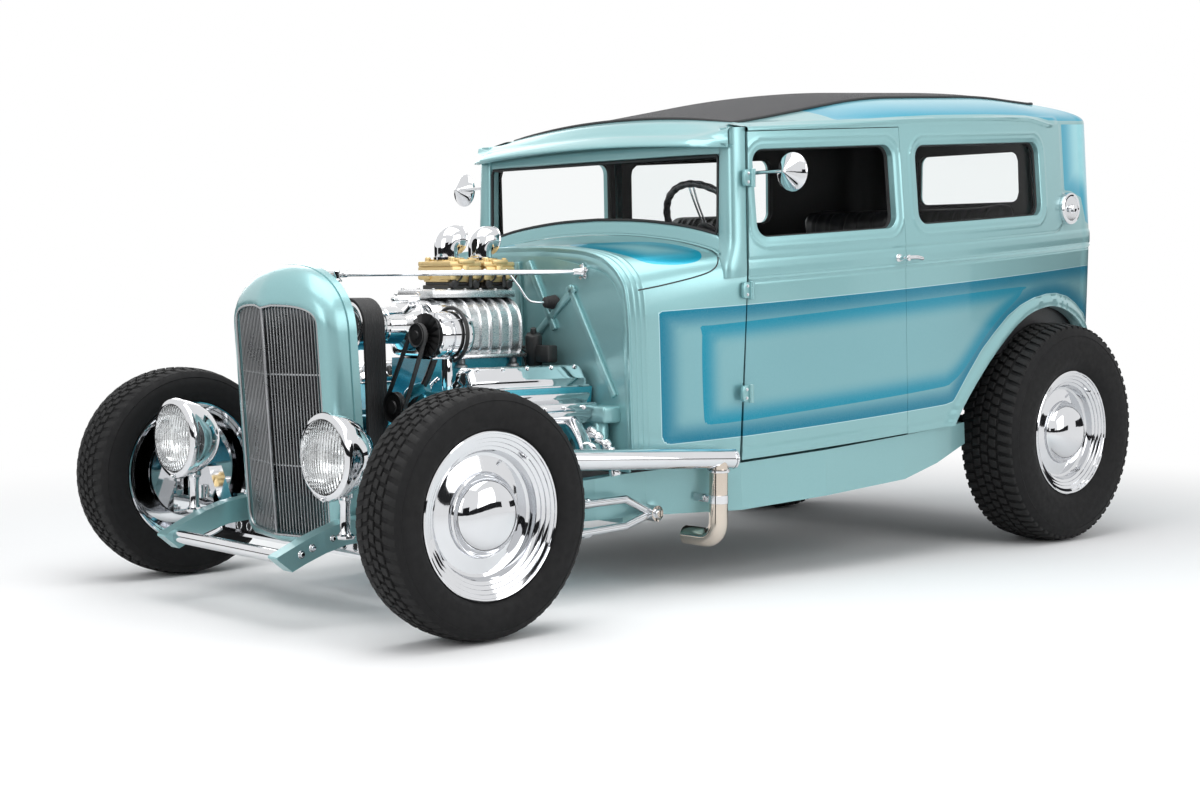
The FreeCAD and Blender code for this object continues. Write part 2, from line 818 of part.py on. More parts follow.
def make_frame():
    """Side rails with nose horns and a kick-up over the rear axle, and crossmembers."""
    tip = n.horn_reach
    nose = n.rail_front_half_track
    top = n.rail_top - n.fit_gap
    depth = n.rail_nose_depth
    body = n.rail_body_half_track
    deep = n.rail_body_depth
    drop = n.horn_drop
    horn = rail_loft([
        (tip, nose - 8, top - drop, top - drop - 6),
        (tip * 0.86, nose - 6, top - drop * 0.78, top - drop * 0.78 - depth * 0.88),
        (tip * 0.72, nose - 4, top - drop * 0.56, top - drop * 0.56 - depth * 0.88),
        (tip * 0.52, nose, top - drop * 0.3, top - drop * 0.3 - depth * 0.88),
        (tip * 0.3, nose, top - drop * 0.1, top - drop * 0.1 - depth * 0.92),
        (-n.shell_rear_setback, nose + 5, top, top - depth),
    ])
    rail = rail_loft([
        (-n.shell_rear_setback, nose + 5, top, top - depth),
        (-n.steering_arm_length - n.cut_overrun * 3, nose + 18, top, top - depth),
        (-n.firewall_setback * 0.42, nose + 38, top, top - depth * 1.4),
        (-n.firewall_setback * 0.9, nose + 70, top - 6, top - deep * 0.9),
        (-n.rod_clevis_setback - n.rod_radius * 2, nose + 112, top, top - deep * 0.95),
        (-n.door_front_setback, body - 70, top, top - deep),
        (-n.door_front_setback - 330, body - 15, top, top - deep),
        (-n.door_rear_setback, body, top, top - deep),
        (-n.door_rear_setback - 180, body - 4, top, top - deep * 0.8),
        (-n.wheelbase + n.rear_tyre_radius + 70, body - 14, top, top - deep * 0.5),
    ])
    inner_rail = n.kickup_half_track + n.rail_width / 2
    kick = rail_loft([
        (-n.door_rear_setback - 60, body - 40, top, top - n.kickup_depth),
        (-n.wheelbase + n.rear_tyre_radius, inner_rail + 30, top, top - n.kickup_depth),
        (-n.wheelbase + n.rear_tyre_radius / 2, inner_rail, n.kickup_top, n.kickup_top - n.kickup_depth),
        (-n.tail_sill + n.wall_thickness * 2, inner_rail, n.kickup_top, n.kickup_top - n.kickup_depth),
    ])
    members = []
    for x, half, high, thick in (
        (-n.firewall_setback * 1.07, nose + 70, top - n.crossmember_depth * 1.25, n.crossmember_depth / 2),
        (-n.door_rear_setback + 60, body - 30, top - n.crossmember_depth, n.crossmember_depth / 2),
        (-n.tail_sill + n.wall_thickness * 3, inner_rail - 20, n.kickup_top, n.crossmember_depth / 2),
    ):
        members.append(box(
            x - n.crossmember_width / 2, x + n.crossmember_width / 2, -half, half,
            high - thick, high,
        ))
    front_member = box(
        -n.shell_rear_setback - n.fit_gap, -n.shell_rear_setback - n.crossmember_width,
        -nose + n.rail_width / 2, nose - n.rail_width / 2, n.spring_seat, top,
    )
    frame = rail.fuse([mirrored(rail), kick, mirrored(kick), front_member] + members).removeSplitter()
    horn = horn.cut(frame)
    frame = Part.makeCompound([frame, horn, mirrored(horn)])
    raked("frame_rails", frame)
    reach = nose - n.rail_width - 5
    bar = tube(
        vec(n.spreader_reach, -reach, n.spreader_level), vec(n.spreader_reach, reach, n.spreader_level),
        n.spreader_radius,
    )
    raked("spreader_bar", bar.cut(frame))


CROSS_BAR_SHARES = (0.3, 0.69)
SHELL_FOOT_SHARE = 0.82
SHELL_FOOT_RISE_SHARE = 0.3
SHELL_TOP_SHARES = (0.78, 0.62)


def shell_section(x, half_width, bottom, shoulder, peak):
    """The grille shell's outline at one station: chamfered feet under a round, peaked top."""
    across, up = SHELL_TOP_SHARES
    foot = half_width * SHELL_FOOT_SHARE
    foot_top = bottom + half_width * SHELL_FOOT_RISE_SHARE
    top = vec(x, 0, peak)
    arcs = []
    for side in SIDES.values():
        arc = Part.Arc(
            vec(x, side * half_width, shoulder),
            vec(x, side * half_width * across, shoulder + (peak - shoulder) * up), top,
        )
        arcs.append(arc.toShape())
    base = Part.makePolygon([
        vec(x, -half_width, shoulder), vec(x, -half_width, foot_top), vec(x, -foot, bottom),
        vec(x, foot, bottom), vec(x, half_width, foot_top), vec(x, half_width, shoulder),
    ])
    return Part.Wire(Part.__sortEdges__(base.Edges + arcs))


def make_grille():
    """The shell, its bar insert and the radiator behind."""
    front = -n.shell_front_setback
    rear = -n.shell_rear_setback
    outer = Part.makeLoft([
        shell_section(
            front, n.shell_half_width - n.shell_nose_inset, n.shell_bottom,
            n.shell_shoulder, n.shell_peak - n.shell_nose_fall,
        ),
        shell_section(
            front - n.shell_nose_depth, n.shell_half_width, n.shell_bottom, n.shell_shoulder, n.shell_peak,
        ),
        shell_section(
            rear, n.shell_half_width + n.shell_rear_flare, n.shell_bottom, n.shell_shoulder, n.shell_peak,
        ),
    ], True, True)
    inner = Part.makeLoft([
        shell_section(
            x, n.insert_half_width + n.fit_gap, n.insert_bottom - n.fit_gap,
            n.insert_shoulder + n.fit_gap, n.insert_top + n.fit_gap,
        )
        for x in (front + n.cut_overrun, rear - n.cut_overrun)
    ], True, True)
    hollow = Part.makeLoft([
        shell_section(
            x, n.shell_half_width - n.shell_wall, n.shell_bottom + n.shell_wall,
            n.shell_shoulder, n.shell_peak - n.shell_wall * 2,
        )
        for x in (front - n.shell_lip_depth, rear - n.cut_overrun)
    ], True, True)
    axle_top = n.front_tyre_radius - n.axle_drop + n.axle_depth / 2
    reach = n.shell_half_width + n.cut_overrun
    notch = box(
        n.axle_thickness / 2 + n.radiator_clearance, rear - n.cut_overrun, -reach, reach,
        n.shell_bottom - n.cut_overrun, axle_top + n.radiator_clearance,
    )
    raked("grille_shell", outer.cut(inner).cut(hollow).cut(notch))

    outline = shell_section(0, n.insert_half_width, n.insert_bottom, n.insert_shoulder, n.insert_top)
    rim_inner = shell_section(
        0, n.insert_half_width - n.bar_gap, n.insert_bottom + n.bar_gap,
        n.insert_shoulder, n.insert_top - n.bar_gap,
    )
    depth = vec(n.bar_depth, 0, 0)
    rim = Part.Face(outline).extrude(depth).cut(Part.Face(rim_inner).extrude(depth))
    opening = Part.Face(outline).extrude(depth)
    bars = []
    pitch = n.bar_thickness + n.bar_gap
    count = int(n.insert_half_width // pitch)
    for index in range(-count, count + 1):
        y = index * pitch
        bars.append(box(
            0, n.bar_depth, y - n.bar_thickness / 2, y + n.bar_thickness / 2,
            n.insert_bottom, n.insert_top,
        ))
    for level_share in CROSS_BAR_SHARES:
        z = n.insert_bottom + (n.insert_top - n.insert_bottom) * level_share
        bars.append(box(
            0, n.bar_depth / 2, -n.insert_half_width, n.insert_half_width, z, z + n.bar_thickness,
        ))
    grid = bars[0].fuse(bars[1:]).common(opening)
    insert = rim.fuse(grid).removeSplitter()
    insert.translate(vec(front - n.bar_depth, 0, 0))
    raked("grille_insert", insert)

    core = Part.Face(shell_section(
        0, n.radiator_half_width, n.insert_bottom + n.radiator_clearance,
        n.insert_shoulder - n.radiator_clearance, n.insert_top - n.radiator_clearance,
    )).extrude(vec(n.radiator_depth, 0, 0))
    core.translate(vec(rear, 0, 0))
    raked("radiator", core)


def make_lamps():
    """Headlamp shells on stems, their lenses, and the tail lamps."""
    lamp_x = FRONT_AXLE + size.lamp_forward
    shell = turned("headlamp_shell", [
        (-size.lamp_depth, ZERO), (ZERO, ZERO), (ZERO, size.lamp_radius),
        (-size.lamp_depth * 0.12, size.lamp_radius),
        (-size.lamp_depth * 0.3, size.lamp_radius * 0.94),
        (-size.lamp_depth * 0.62, size.lamp_radius * 0.72),
        (-size.lamp_depth * 0.9, size.lamp_radius * 0.34),
    ])
    bind_place(shell, lamp_x, size.lamp_half_track, size.lamp_height)
    stem_base = size.lamp_stem_foot
    stem = doc.addObject("Part::Cylinder", "headlamp_stem")
    stem.setExpression("Radius", size.lamp_stem_radius.formula)
    stem.setExpression("Height", (size.lamp_height - size.lamp_radius * 0.5 - stem_base).formula)
    bind_place(stem, lamp_x - size.lamp_depth * 0.4, size.lamp_half_track, stem_base)
    arm = doc.addObject("Part::Box", "headlamp_arm")
    reach = size.lamp_half_track - size.rail_front_half_track
    arm.setExpression("Length", (size.lamp_stem_radius * 2).formula)
    arm.setExpression("Width", reach.formula)
    arm.setExpression("Height", size.lamp_stem_radius.formula)
    bind_place(
        arm, lamp_x - size.lamp_depth * 0.4 - size.lamp_stem_radius,
        size.lamp_half_track - reach, stem_base,
    )
    lamp = doc.addObject("Part::MultiFuse", "headlamp_left")
    lamp.Shapes = [shell, stem, arm]
    paired("headlamps", lamp)
    lens = turned("headlamp_lens", [
        (size.fit_gap, ZERO), (size.lamp_lens_bulge, ZERO),
        (size.lamp_lens_bulge * 0.78, size.lamp_lens_radius * 0.5),
        (size.lamp_lens_bulge * 0.3, size.lamp_lens_radius * 0.9),
        (size.fit_gap, size.lamp_lens_radius),
    ])
    bind_place(lens, lamp_x, size.lamp_half_track, size.lamp_height)
    paired("headlamp_lenses", lens)
    lamp = Part.makeCylinder(
        n.tail_lamp_radius, n.tail_lamp_depth,
        vec(-n.tail_sill, n.tail_lamp_half_track, n.tail_lamp_level), vec(-1, 0, 0),
    )
    raked("tail_lamps", both_sides(lamp).cut(cabin_solid(0, 0)))


def header_plates():
    """The exhaust plates along the sides of the heads."""
    half = n.header_width / 2
    return both_sides(box(
        n.header_front, n.header_front - n.header_length, n.header_half_track - half,
        n.header_half_track + half, n.header_base, n.header_base + n.header_height / 2,
    ))


def engine_outline_solid():
    """The block with its heads, as one solid of the engine's end outline."""
    front = n.block_front
    rear = front - n.block_length
    z = n.crank_height
    head_side = n.header_half_track - n.header_width / 2
    half = [
        vec(rear, n.block_half_width * 0.7, z - n.sump_depth),
        vec(rear, n.block_half_width, z - n.sump_depth * 0.1),
        vec(rear, n.cover_half_track, n.header_base - n.fit_gap * 10),
        vec(rear, head_side, n.header_base), vec(rear, head_side, n.header_base + n.header_height / 2),
        vec(rear, n.cover_half_track + n.cover_width / 2, n.cover_base),
        vec(rear, n.cover_half_track - n.cover_width / 2, n.cover_base),
        vec(rear, n.block_half_width * 0.6, n.header_base + n.header_height * 0.44),
    ]
    other = [vec(point.x, -point.y, point.z) for point in half[::-1]]
    return prism(half + other, vec(front - rear, 0, 0))


def make_engine():
    """Vee engine block with heads, covers, exhaust plates, gearbox and propshaft."""
    front = n.block_front
    rear = front - n.block_length
    z = n.crank_height
    block = engine_outline_solid()
    manifold = box(
        n.case_front - n.case_length, n.case_front, -n.case_half_width * 0.8,
        n.case_half_width * 0.8, n.header_base + n.valley_rise, n.case_base,
    )
    pulley_rear = vec(n.belt_plane - n.belt_width / 2, 0, z)
    crank_pulley = tube(pulley_rear, pulley_rear + vec(n.belt_width, 0, 0), n.crank_pulley_radius)
    crank_nose = tube(vec(front, 0, z), pulley_rear, n.snout_radius)
    engine = block.fuse([manifold, crank_nose, crank_pulley]).removeSplitter()
    level("engine_block", engine)

    cover_y0 = n.cover_half_track - n.cover_width / 2
    cover_y1 = n.cover_half_track + n.cover_width / 2
    inset = n.cover_height / 3
    cover = prism([
        vec(n.cover_front, cover_y0, n.cover_base), vec(n.cover_front, cover_y1, n.cover_base),
        vec(n.cover_front, cover_y1, n.cover_base + n.cover_height - inset),
        vec(n.cover_front, cover_y1 - inset, n.cover_base + n.cover_height),
        vec(n.cover_front, cover_y0 + inset, n.cover_base + n.cover_height),
        vec(n.cover_front, cover_y0, n.cover_base + n.cover_height - inset),
    ], vec(-n.cover_length, 0, 0))
    level("valve_covers", both_sides(cover))

    level("exhaust_headers", header_plates())

    gearbox = Part.makeCone(
        n.gearbox_radius, n.gearbox_radius * 0.6, n.gearbox_length,
        vec(rear, 0, z), vec(-1, 0, 0),
    )
    shaft_rear = vec(-n.wheelbase + n.carrier_radius + n.fit_gap, 0, n.rear_tyre_radius)
    shaft = tube(vec(rear - n.gearbox_length * 0.9, 0, z), shaft_rear, n.propshaft_radius)
    level("gearbox_and_propshaft", gearbox.fuse(shaft).removeSplitter())


def make_supercharger():
    """Ribbed blower, its belt drive, the alternator, distributor, carburettors and scoops."""
    front = n.case_front
    rear = front - n.case_length
    base = n.case_base
    radius = n.case_half_width * 0.7
    case = box(rear, front, -n.case_half_width, n.case_half_width, base, base + n.case_height)
    edges = [edge for edge in case.Edges if abs(edge.tangentAt(edge.FirstParameter).x) > 0.9]
    top_edges = [edge for edge in edges if edge.CenterOfMass.z > base + n.case_height / 2]
    case = case.makeFillet(radius, top_edges)
    proud = n.case_rib_proud
    rib_shape = box(
        0, n.case_rib_width, -n.case_half_width - proud, n.case_half_width + proud,
        base + n.case_height * 0.1, base + n.case_height,
    )
    top_edges = [
        edge for edge in rib_shape.Edges
        if abs(edge.tangentAt(edge.FirstParameter).x) > 0.9
        and edge.CenterOfMass.z > base + n.case_height / 2
    ]
    rib_shape = rib_shape.makeFillet(radius, top_edges)
    ribs = []
    count = int(n.case_rib_count)
    pitch = (n.case_length - n.case_rib_width) / (count - 1)
    for index in range(count):
        rib = rib_shape.copy()
        rib.translate(vec(rear + index * pitch, 0, 0))
        ribs.append(rib)
    snout_front = n.belt_plane - n.belt_width / 2
    snout = tube(vec(front, 0, n.top_pulley_level), vec(snout_front, 0, n.top_pulley_level), n.snout_radius)
    pulley_half = n.belt_width / 2
    top_pulley = tube(
        vec(n.belt_plane - pulley_half, 0, n.top_pulley_level),
        vec(n.belt_plane + pulley_half, 0, n.top_pulley_level), n.top_pulley_radius,
    )
    level("supercharger", case.fuse(ribs + [snout, top_pulley]).removeSplitter())

    crank = vec(n.belt_plane - pulley_half, 0, n.crank_height)

    def belt_loop(extra):
        """The hull of two pulleys, grown by the belt's thickness."""
        top_radius = n.top_pulley_radius + extra
        low_radius = n.crank_pulley_radius + extra
        span = n.top_pulley_level - n.crank_height
        lean = math.asin((low_radius - top_radius) / span)
        pieces = []
        corners = []
        for centre_z, radius_here in ((n.crank_height, low_radius), (n.top_pulley_level, top_radius)):
            pieces.append(tube(crank + vec(0, 0, centre_z - n.crank_height),
                               crank + vec(n.belt_width, 0, centre_z - n.crank_height), radius_here))
            corners.append((radius_here * math.cos(lean), centre_z + radius_here * math.sin(lean)))
        (low_y, low_z), (top_y, top_z) = corners
        web = prism([
            vec(crank.x, -low_y, low_z), vec(crank.x, low_y, low_z),
            vec(crank.x, top_y, top_z), vec(crank.x, -top_y, top_z),
        ], vec(n.belt_width, 0, 0))
        return pieces[0].fuse([pieces[1], web])

    belt = belt_loop(n.belt_thickness + n.fit_gap).cut(belt_loop(n.fit_gap))
    level("blower_belt", belt.removeSplitter())

    alternator_front = vec(n.alternator_front, n.alternator_half_track, n.alternator_level)
    alternator = tube(
        alternator_front, alternator_front - vec(n.alternator_length, 0, 0), n.alternator_radius,
    )
    pulley = tube(
        alternator_front, alternator_front + vec(n.alternator_pulley_length, 0, 0),
        n.alternator_radius * 0.55,
    )
    strut_rear = n.cover_front + n.fit_gap
    strut = box(
        strut_rear, strut_rear + n.bracket_thickness, n.alternator_half_track - n.bracket_thickness,
        n.alternator_half_track + n.bracket_thickness, n.cover_base + n.fit_gap, n.alternator_level,
    )
    level("alternator", alternator.fuse([pulley, strut]).removeSplitter())

    foot = vec(rear - n.distributor_radius - n.fit_gap * 10, 0, n.header_base + n.distributor_rise)
    distributor = tube(foot, foot + vec(0, 0, n.distributor_height), n.distributor_radius)
    level("distributor", distributor)

    top = base + n.case_height
    plate = box(
        rear + n.case_rib_width, front - n.case_rib_width,
        -n.carb_width / 2, n.carb_width / 2, top, top + n.plate_height,
    )
    level("carburettor_plate", plate)
    carbs = []
    scoops = []
    for index in range(2):
        x = n.carb_front - index * n.carb_spacing
        foot_z = top + n.plate_height
        flange = box(x - n.carb_length * 0.4, x + n.carb_length * 0.4, -n.carb_width * 0.35,
                     n.carb_width * 0.35, foot_z, foot_z + n.carb_height * 0.3)
        bowl = box(x - n.carb_length / 2, x + n.carb_length / 2, -n.carb_width / 2,
                   n.carb_width / 2, foot_z + n.carb_height * 0.3, foot_z + n.carb_height)
        carbs.append(flange.fuse(bowl).removeSplitter())
        neck = Part.makeCylinder(n.scoop_radius, n.scoop_height - n.scoop_radius, vec(x, 0, foot_z + n.carb_height))
        dome = Part.makeSphere(
            n.scoop_radius, vec(x, 0, foot_z + n.carb_height + n.scoop_height - n.scoop_radius), UP, 0, 90, 360,
        )
        scoops.append(neck.fuse(dome).removeSplitter())
    level("carburettors", Part.makeCompound(carbs))
    level("air_scoops", Part.makeCompound(scoops))


def make_exhaust_and_stays():
    """Side pipes with their down-pipes, and the two stay rods from shell to firewall."""
    pipe_front = vec(n.pipe_front, n.pipe_half_track_front, n.pipe_level_front)
    pipe_rear = vec(n.pipe_rear, n.pipe_half_track_rear, n.pipe_level_rear)
    run = pipe_rear - pipe_front
    along = tube(pipe_front, pipe_rear, n.pipe_radius)
    drop_top = pipe_rear - run * (n.pipe_drop_back / run.Length)
    drop_foot = vec(drop_top.x, drop_top.y, n.pipe_drop_level)
    drop = tube(drop_top, drop_foot, n.pipe_radius * 0.95)
    elbow = Part.makeSphere(n.pipe_radius * 0.95, drop_foot)
    inward = tube(drop_foot, drop_foot - vec(0, n.rail_width * 3, 0), n.pipe_radius * 0.95)
    feed_start = pipe_front + run * (n.pipe_radius / run.Length)
    feed_end = vec(
        n.header_front - n.header_length * 0.8, n.header_half_track,
        n.header_base + n.header_height / 4,
    )
    feed = tube(feed_start, feed_end, n.pipe_radius * 0.8)
    pipes = both_sides(along.fuse([drop, elbow, inward, feed]).removeSplitter())
    level("side_pipes", pipes.cut(header_plates()).cut(engine_outline_solid()))
    stay_head = vec(n.stay_front, n.stay_front_half_track, n.stay_front_height)
    stay_foot = stay_head - vec(0, 0, n.stay_foot_drop)
    stay_tail = vec(n.stay_rear, n.stay_rear_half_track, n.stay_rear_height)
    stay = tube(stay_head, stay_tail, n.stay_radius).fuse([
        Part.makeSphere(n.stay_radius, stay_head), tube(stay_head, stay_foot, n.stay_radius),
    ]).removeSplitter()
    rods = level("stay_rods", both_sides(stay))
    rods.Shape = rods.Shape.cut(nodes["grille_shell"].Shape).cut(nodes["firewall"].Shape)


def plan_outline(z, tuck, tail, inset):
    """The body's outline seen from above at one level, drawn from the cowl round the tail."""

    def point(setback, y):
        return vec(-setback, y, z)

    front_y = n.side_half_width_front - tuck - inset
    middle_y = n.side_half_width_middle - tuck - inset
    rear_y = n.side_half_width_rear - tuck - inset
    end = tail - inset - n.tail_corner
    corner_in = n.tail_corner * (1 - math.sqrt(0.5))
    rear_edge = rear_y - n.tail_corner
    side = Part.Arc(point(n.side_start, front_y), point(n.side_middle, middle_y), point(end, rear_y))
    corner = Part.Arc(
        point(end, rear_y), point(tail - inset - corner_in, rear_y - corner_in),
        point(tail - inset, rear_edge),
    )
    back = Part.Arc(
        point(tail - inset, rear_edge), point(tail - inset + n.tail_crown, 0),
        point(tail - inset, -rear_edge),
    )
    edges = [side.toShape(), corner.toShape(), back.toShape()]
    edges.append(corner.toShape().mirror(vec(0, 0, 0), LEFT))
    edges.append(side.toShape().mirror(vec(0, 0, 0), LEFT))
    edges.append(Part.makeLine(point(n.side_start, -front_y), point(n.side_start, front_y)))
    return Part.Wire(Part.__sortEdges__(edges))


def crown_section(setback, crown, drop):
    """A closed section whose top is the roof's cross arc."""
    reach = n.side_half_width_middle + n.cut_overrun
    edge_drop = n.roof_cross_drop * (reach / n.roof_cross_reach) ** 2
    top = crown - drop
    low = n.sill_level - n.cut_overrun * 4
    arc = Part.Arc(
        vec(-setback, -reach, top - edge_drop), vec(-setback, 0, top),
        vec(-setback, reach, top - edge_drop),
    ).toShape()
    sides = Part.makePolygon([
        vec(-setback, reach, top - edge_drop), vec(-setback, reach, low),
        vec(-setback, -reach, low), vec(-setback, -reach, top - edge_drop),
    ])
    return Part.Wire([arc] + sides.Edges)


def cabin_solid(inset, drop):
    """The whole cabin as one closed solid, smaller by the wall and roof thickness."""
    span = n.drip_level - n.sill_level
    rows = [
        (n.sill_level - n.cut_overrun, n.sill_tuck, n.tail_sill),
        (n.belt_level, 0, n.tail_belt),
        (n.drip_level, n.drip_tuck, n.tail_drip),
        (n.drip_level + span * 0.05, n.drip_tuck * 2, n.tail_drip - n.tail_corner * 0.08),
        (n.drip_level + span * 0.1, n.drip_tuck * 4.4, n.tail_drip - n.tail_corner * 0.32),
        (n.drip_level + span * 0.14, n.drip_tuck * 8.5, n.tail_drip - n.tail_corner * 0.8),
        (n.drip_level + span * 0.17, n.drip_tuck * 14, n.tail_drip - n.tail_corner * 1.6),
    ]
    wires = [plan_outline(z, tuck, tail, inset) for z, tuck, tail in rows]
    stack = Part.makeLoft(wires, True, True)
    crowns = [
        (n.side_start - n.cut_overrun, n.roof_front_crown - n.cut_overrun),
        (n.insert_front_setback, n.roof_front_crown),
        (n.side_middle, n.roof_middle_crown),
        (n.wheelbase, n.roof_middle_crown),
        (n.tail_drip + n.cut_overrun * 2, n.roof_rear_crown - n.cut_overrun),
    ]
    roof = Part.makeLoft([crown_section(setback, crown, drop) for setback, crown in crowns], True, True)
    return stack.common(roof)


ARCH_RUN_SHARES = [(1.04, 0.507), (0.834, 0.672), (0.617, 0.79)]


def make_cabin():
    """Cowl, doors, rear quarters, roof, insert and windscreen frame from one hollow cabin."""
    outer = cabin_solid(0, 0)
    inner = cabin_solid(n.wall_thickness, n.roof_thickness)
    hollow = outer.cut(inner)
    reach = n.side_half_width_middle + n.cut_overrun * 4
    low = n.sill_level
    drip = n.drip_level
    lean = math.tan(math.radians(n.rake_angle))
    gap = n.seam_gap

    def seam_setback(z):
        return n.door_front_setback + (z - low) * lean

    tail = n.tail_drip + n.cut_overrun * 6
    door_window = rounded_window(
        -n.door_window_rear, -n.door_window_front, n.door_window_bottom, n.door_window_top,
        n.window_corner, reach,
    )
    quarter_window = rounded_window(
        -n.quarter_window_rear, -n.quarter_window_front, n.quarter_window_bottom,
        n.quarter_window_top, n.window_corner, reach,
    )
    rear_window = box(
        -n.tail_belt + n.tail_corner, -tail, -n.rear_window_half_width, n.rear_window_half_width,
        n.rear_window_bottom, n.rear_window_top,
    )
    edges = [edge for edge in rear_window.Edges if abs(edge.tangentAt(edge.FirstParameter).x) > 0.9]
    rear_window = rear_window.makeFillet(n.window_corner, edges)

    top = n.roof_middle_crown + n.cut_overrun * 2
    door_zone = prism([
        vec(-seam_setback(low) - gap, 0, low + gap), vec(-n.door_rear_setback, 0, low + gap),
        vec(-n.door_rear_setback, 0, drip - gap), vec(-seam_setback(drip) - gap, 0, drip - gap),
    ], vec(0, reach, 0))
    door = hollow.common(door_zone).cut(door_window)
    raked("left_door", door)
    raked("right_door", mirrored(door))

    quarter_zone = box(-n.door_rear_setback - gap, -tail, -reach, reach, low, drip)
    hub = vec(
        -n.wheelbase * math.cos(math.radians(n.rake_angle))
        - n.rear_tyre_radius * math.sin(math.radians(n.rake_angle)), -reach,
        n.rear_tyre_radius * math.cos(math.radians(n.rake_angle))
        - n.wheelbase * math.sin(math.radians(n.rake_angle)),
    )
    arch = Part.makeCylinder(n.arch_radius, reach * 2, hub, LEFT)
    foot_top = vec(hub.x + n.arch_run, -reach, low + n.arch_foot_rise)
    foot_low = low - n.arch_foot_fall
    run_out = [
        vec(hub.x + n.arch_radius * across, -reach, hub.z + n.arch_radius * up)
        for across, up in ARCH_RUN_SHARES
    ]
    flare = prism(
        [hub, vec(hub.x, -reach, foot_low), vec(foot_top.x, -reach, foot_low), foot_top] + run_out,
        vec(0, reach * 2, 0),
    )
    quarters = hollow.common(quarter_zone).cut(quarter_window).cut(rear_window)
    quarters = quarters.cut(arch).cut(flare)
    solids = sorted(quarters.Solids, key=lambda solid: solid.Volume)
    raked("rear_body_shell", solids[-1])

    roof_zone = prism([
        vec(-seam_setback(drip), -reach, drip), vec(-tail, -reach, drip),
        vec(-tail, -reach, top), vec(-seam_setback(top), -reach, top),
    ], vec(0, reach * 2, 0))
    insert_outline = [
        vec(-n.insert_front_setback, -n.insert_half_width_front, drip),
        vec(-n.insert_front_setback, n.insert_half_width_front, drip),
        vec(-n.insert_rear_setback, n.insert_half_width_rear, drip),
        vec(-n.insert_rear_setback, -n.insert_half_width_rear, drip),
    ]
    opening = prism(insert_outline, vec(0, 0, top - drip))
    corners = [edge for edge in opening.Edges if abs(edge.tangentAt(edge.FirstParameter).z) > 0.9]
    opening = opening.makeFillet(n.window_corner * 2, corners)
    roof = hollow.common(roof_zone).cut(opening)
    raked("roof_shell", roof)
    raised = cabin_solid(n.wall_thickness, -n.insert_proud)
    insert = raised.common(opening).cut(cabin_solid(n.wall_thickness, n.roof_thickness / 2))
    core = sorted(insert.Solids, key=lambda solid: solid.Volume)[-1]
    raked("roof_insert", core)

    wall = n.wall_thickness / 2
    reach_back = seam_setback(drip)
    ahead_of_seam = prism([
        vec(-n.firewall_setback + n.cut_overrun * 4, -reach, low - n.cut_overrun),
        vec(-seam_setback(low - n.cut_overrun), -reach, low - n.cut_overrun),
        vec(-seam_setback(top), -reach, top), vec(-n.firewall_setback + n.cut_overrun * 4, -reach, top),
    ], vec(0, reach * 2, 0))
    rear_half = n.side_half_width_front + n.cowl_flare
    cowl_outer = Part.makeLoft([
        cowl_section(n.firewall_setback, n.cowl_front_half_width, n.cowl_front_crown,
                     n.cowl_front_shoulder, 0),
        cowl_section(reach_back, rear_half, n.cowl_rear_crown, n.belt_level, 0),
    ], True, True)
    cowl_inner = Part.makeLoft([
        cowl_section(n.firewall_setback - n.fit_gap, n.cowl_front_half_width - wall,
                     n.cowl_front_crown - wall, n.cowl_front_shoulder - wall, -n.cut_overrun),
        cowl_section(reach_back + n.fit_gap, rear_half - wall, n.cowl_rear_crown - wall,
                     n.belt_level - wall, -n.cut_overrun),
    ], True, True)
    cowl_block = cowl_outer.common(ahead_of_seam)
    raked("cowl", cowl_block.cut(cowl_inner))

    firewall = Part.Face(cowl_section(
        n.firewall_setback, n.cowl_front_half_width - wall - n.fit_gap,
        n.cowl_front_crown - wall - n.fit_gap, n.cowl_front_shoulder - wall, 0,
    )).extrude(vec(-n.firewall_thickness, 0, 0))
    raked("firewall", firewall)
    make_windscreen(outer, inner, cowl_outer, ahead_of_seam)


COWL_CORNER_SHARES = (0.958, 0.41)
COWL_EDGE_SHARES = (0.86, 0.66)


def cowl_section(setback, half_width, crown, shoulder, lift):
    """The cowl's outline at one station: straight sides and round shoulders under an arched top."""
    low = n.sill_level + lift
    x = -setback

    def place(side, shares):
        across, up = shares
        return vec(x, side * half_width * across, shoulder + (crown - shoulder) * up)

    left = SIDES["left"]
    right = SIDES["right"]
    top = Part.Arc(place(left, COWL_EDGE_SHARES), vec(x, 0, crown), place(right, COWL_EDGE_SHARES))
    edges = [top.toShape()]
    for side in (left, right):
        corner = Part.Arc(
            vec(x, side * half_width, shoulder), place(side, COWL_CORNER_SHARES),
            place(side, COWL_EDGE_SHARES),
        )
        edges.append(corner.toShape())
    base = Part.makePolygon([
        vec(x, half_width, shoulder), vec(x, half_width, low), vec(x, -half_width, low),
        vec(x, -half_width, shoulder),
    ])
    return Part.Wire(Part.__sortEdges__(base.Edges + edges))


def leaning_slab(setback, thickness, half_width, z0, z1):
    """A slab across the car that leans back with the windscreen, from its front face."""
    lean = math.tan(math.radians(n.rake_angle))
    x0 = -setback - (z0 - n.cowl_rear_crown) * lean
    x1 = -setback - (z1 - n.cowl_rear_crown) * lean
    return prism([
        vec(x0, -half_width, z0), vec(x0 - thickness, -half_width, z0),
        vec(x1 - thickness, -half_width, z1), vec(x1, -half_width, z1),
    ], vec(0, half_width * 2, 0))


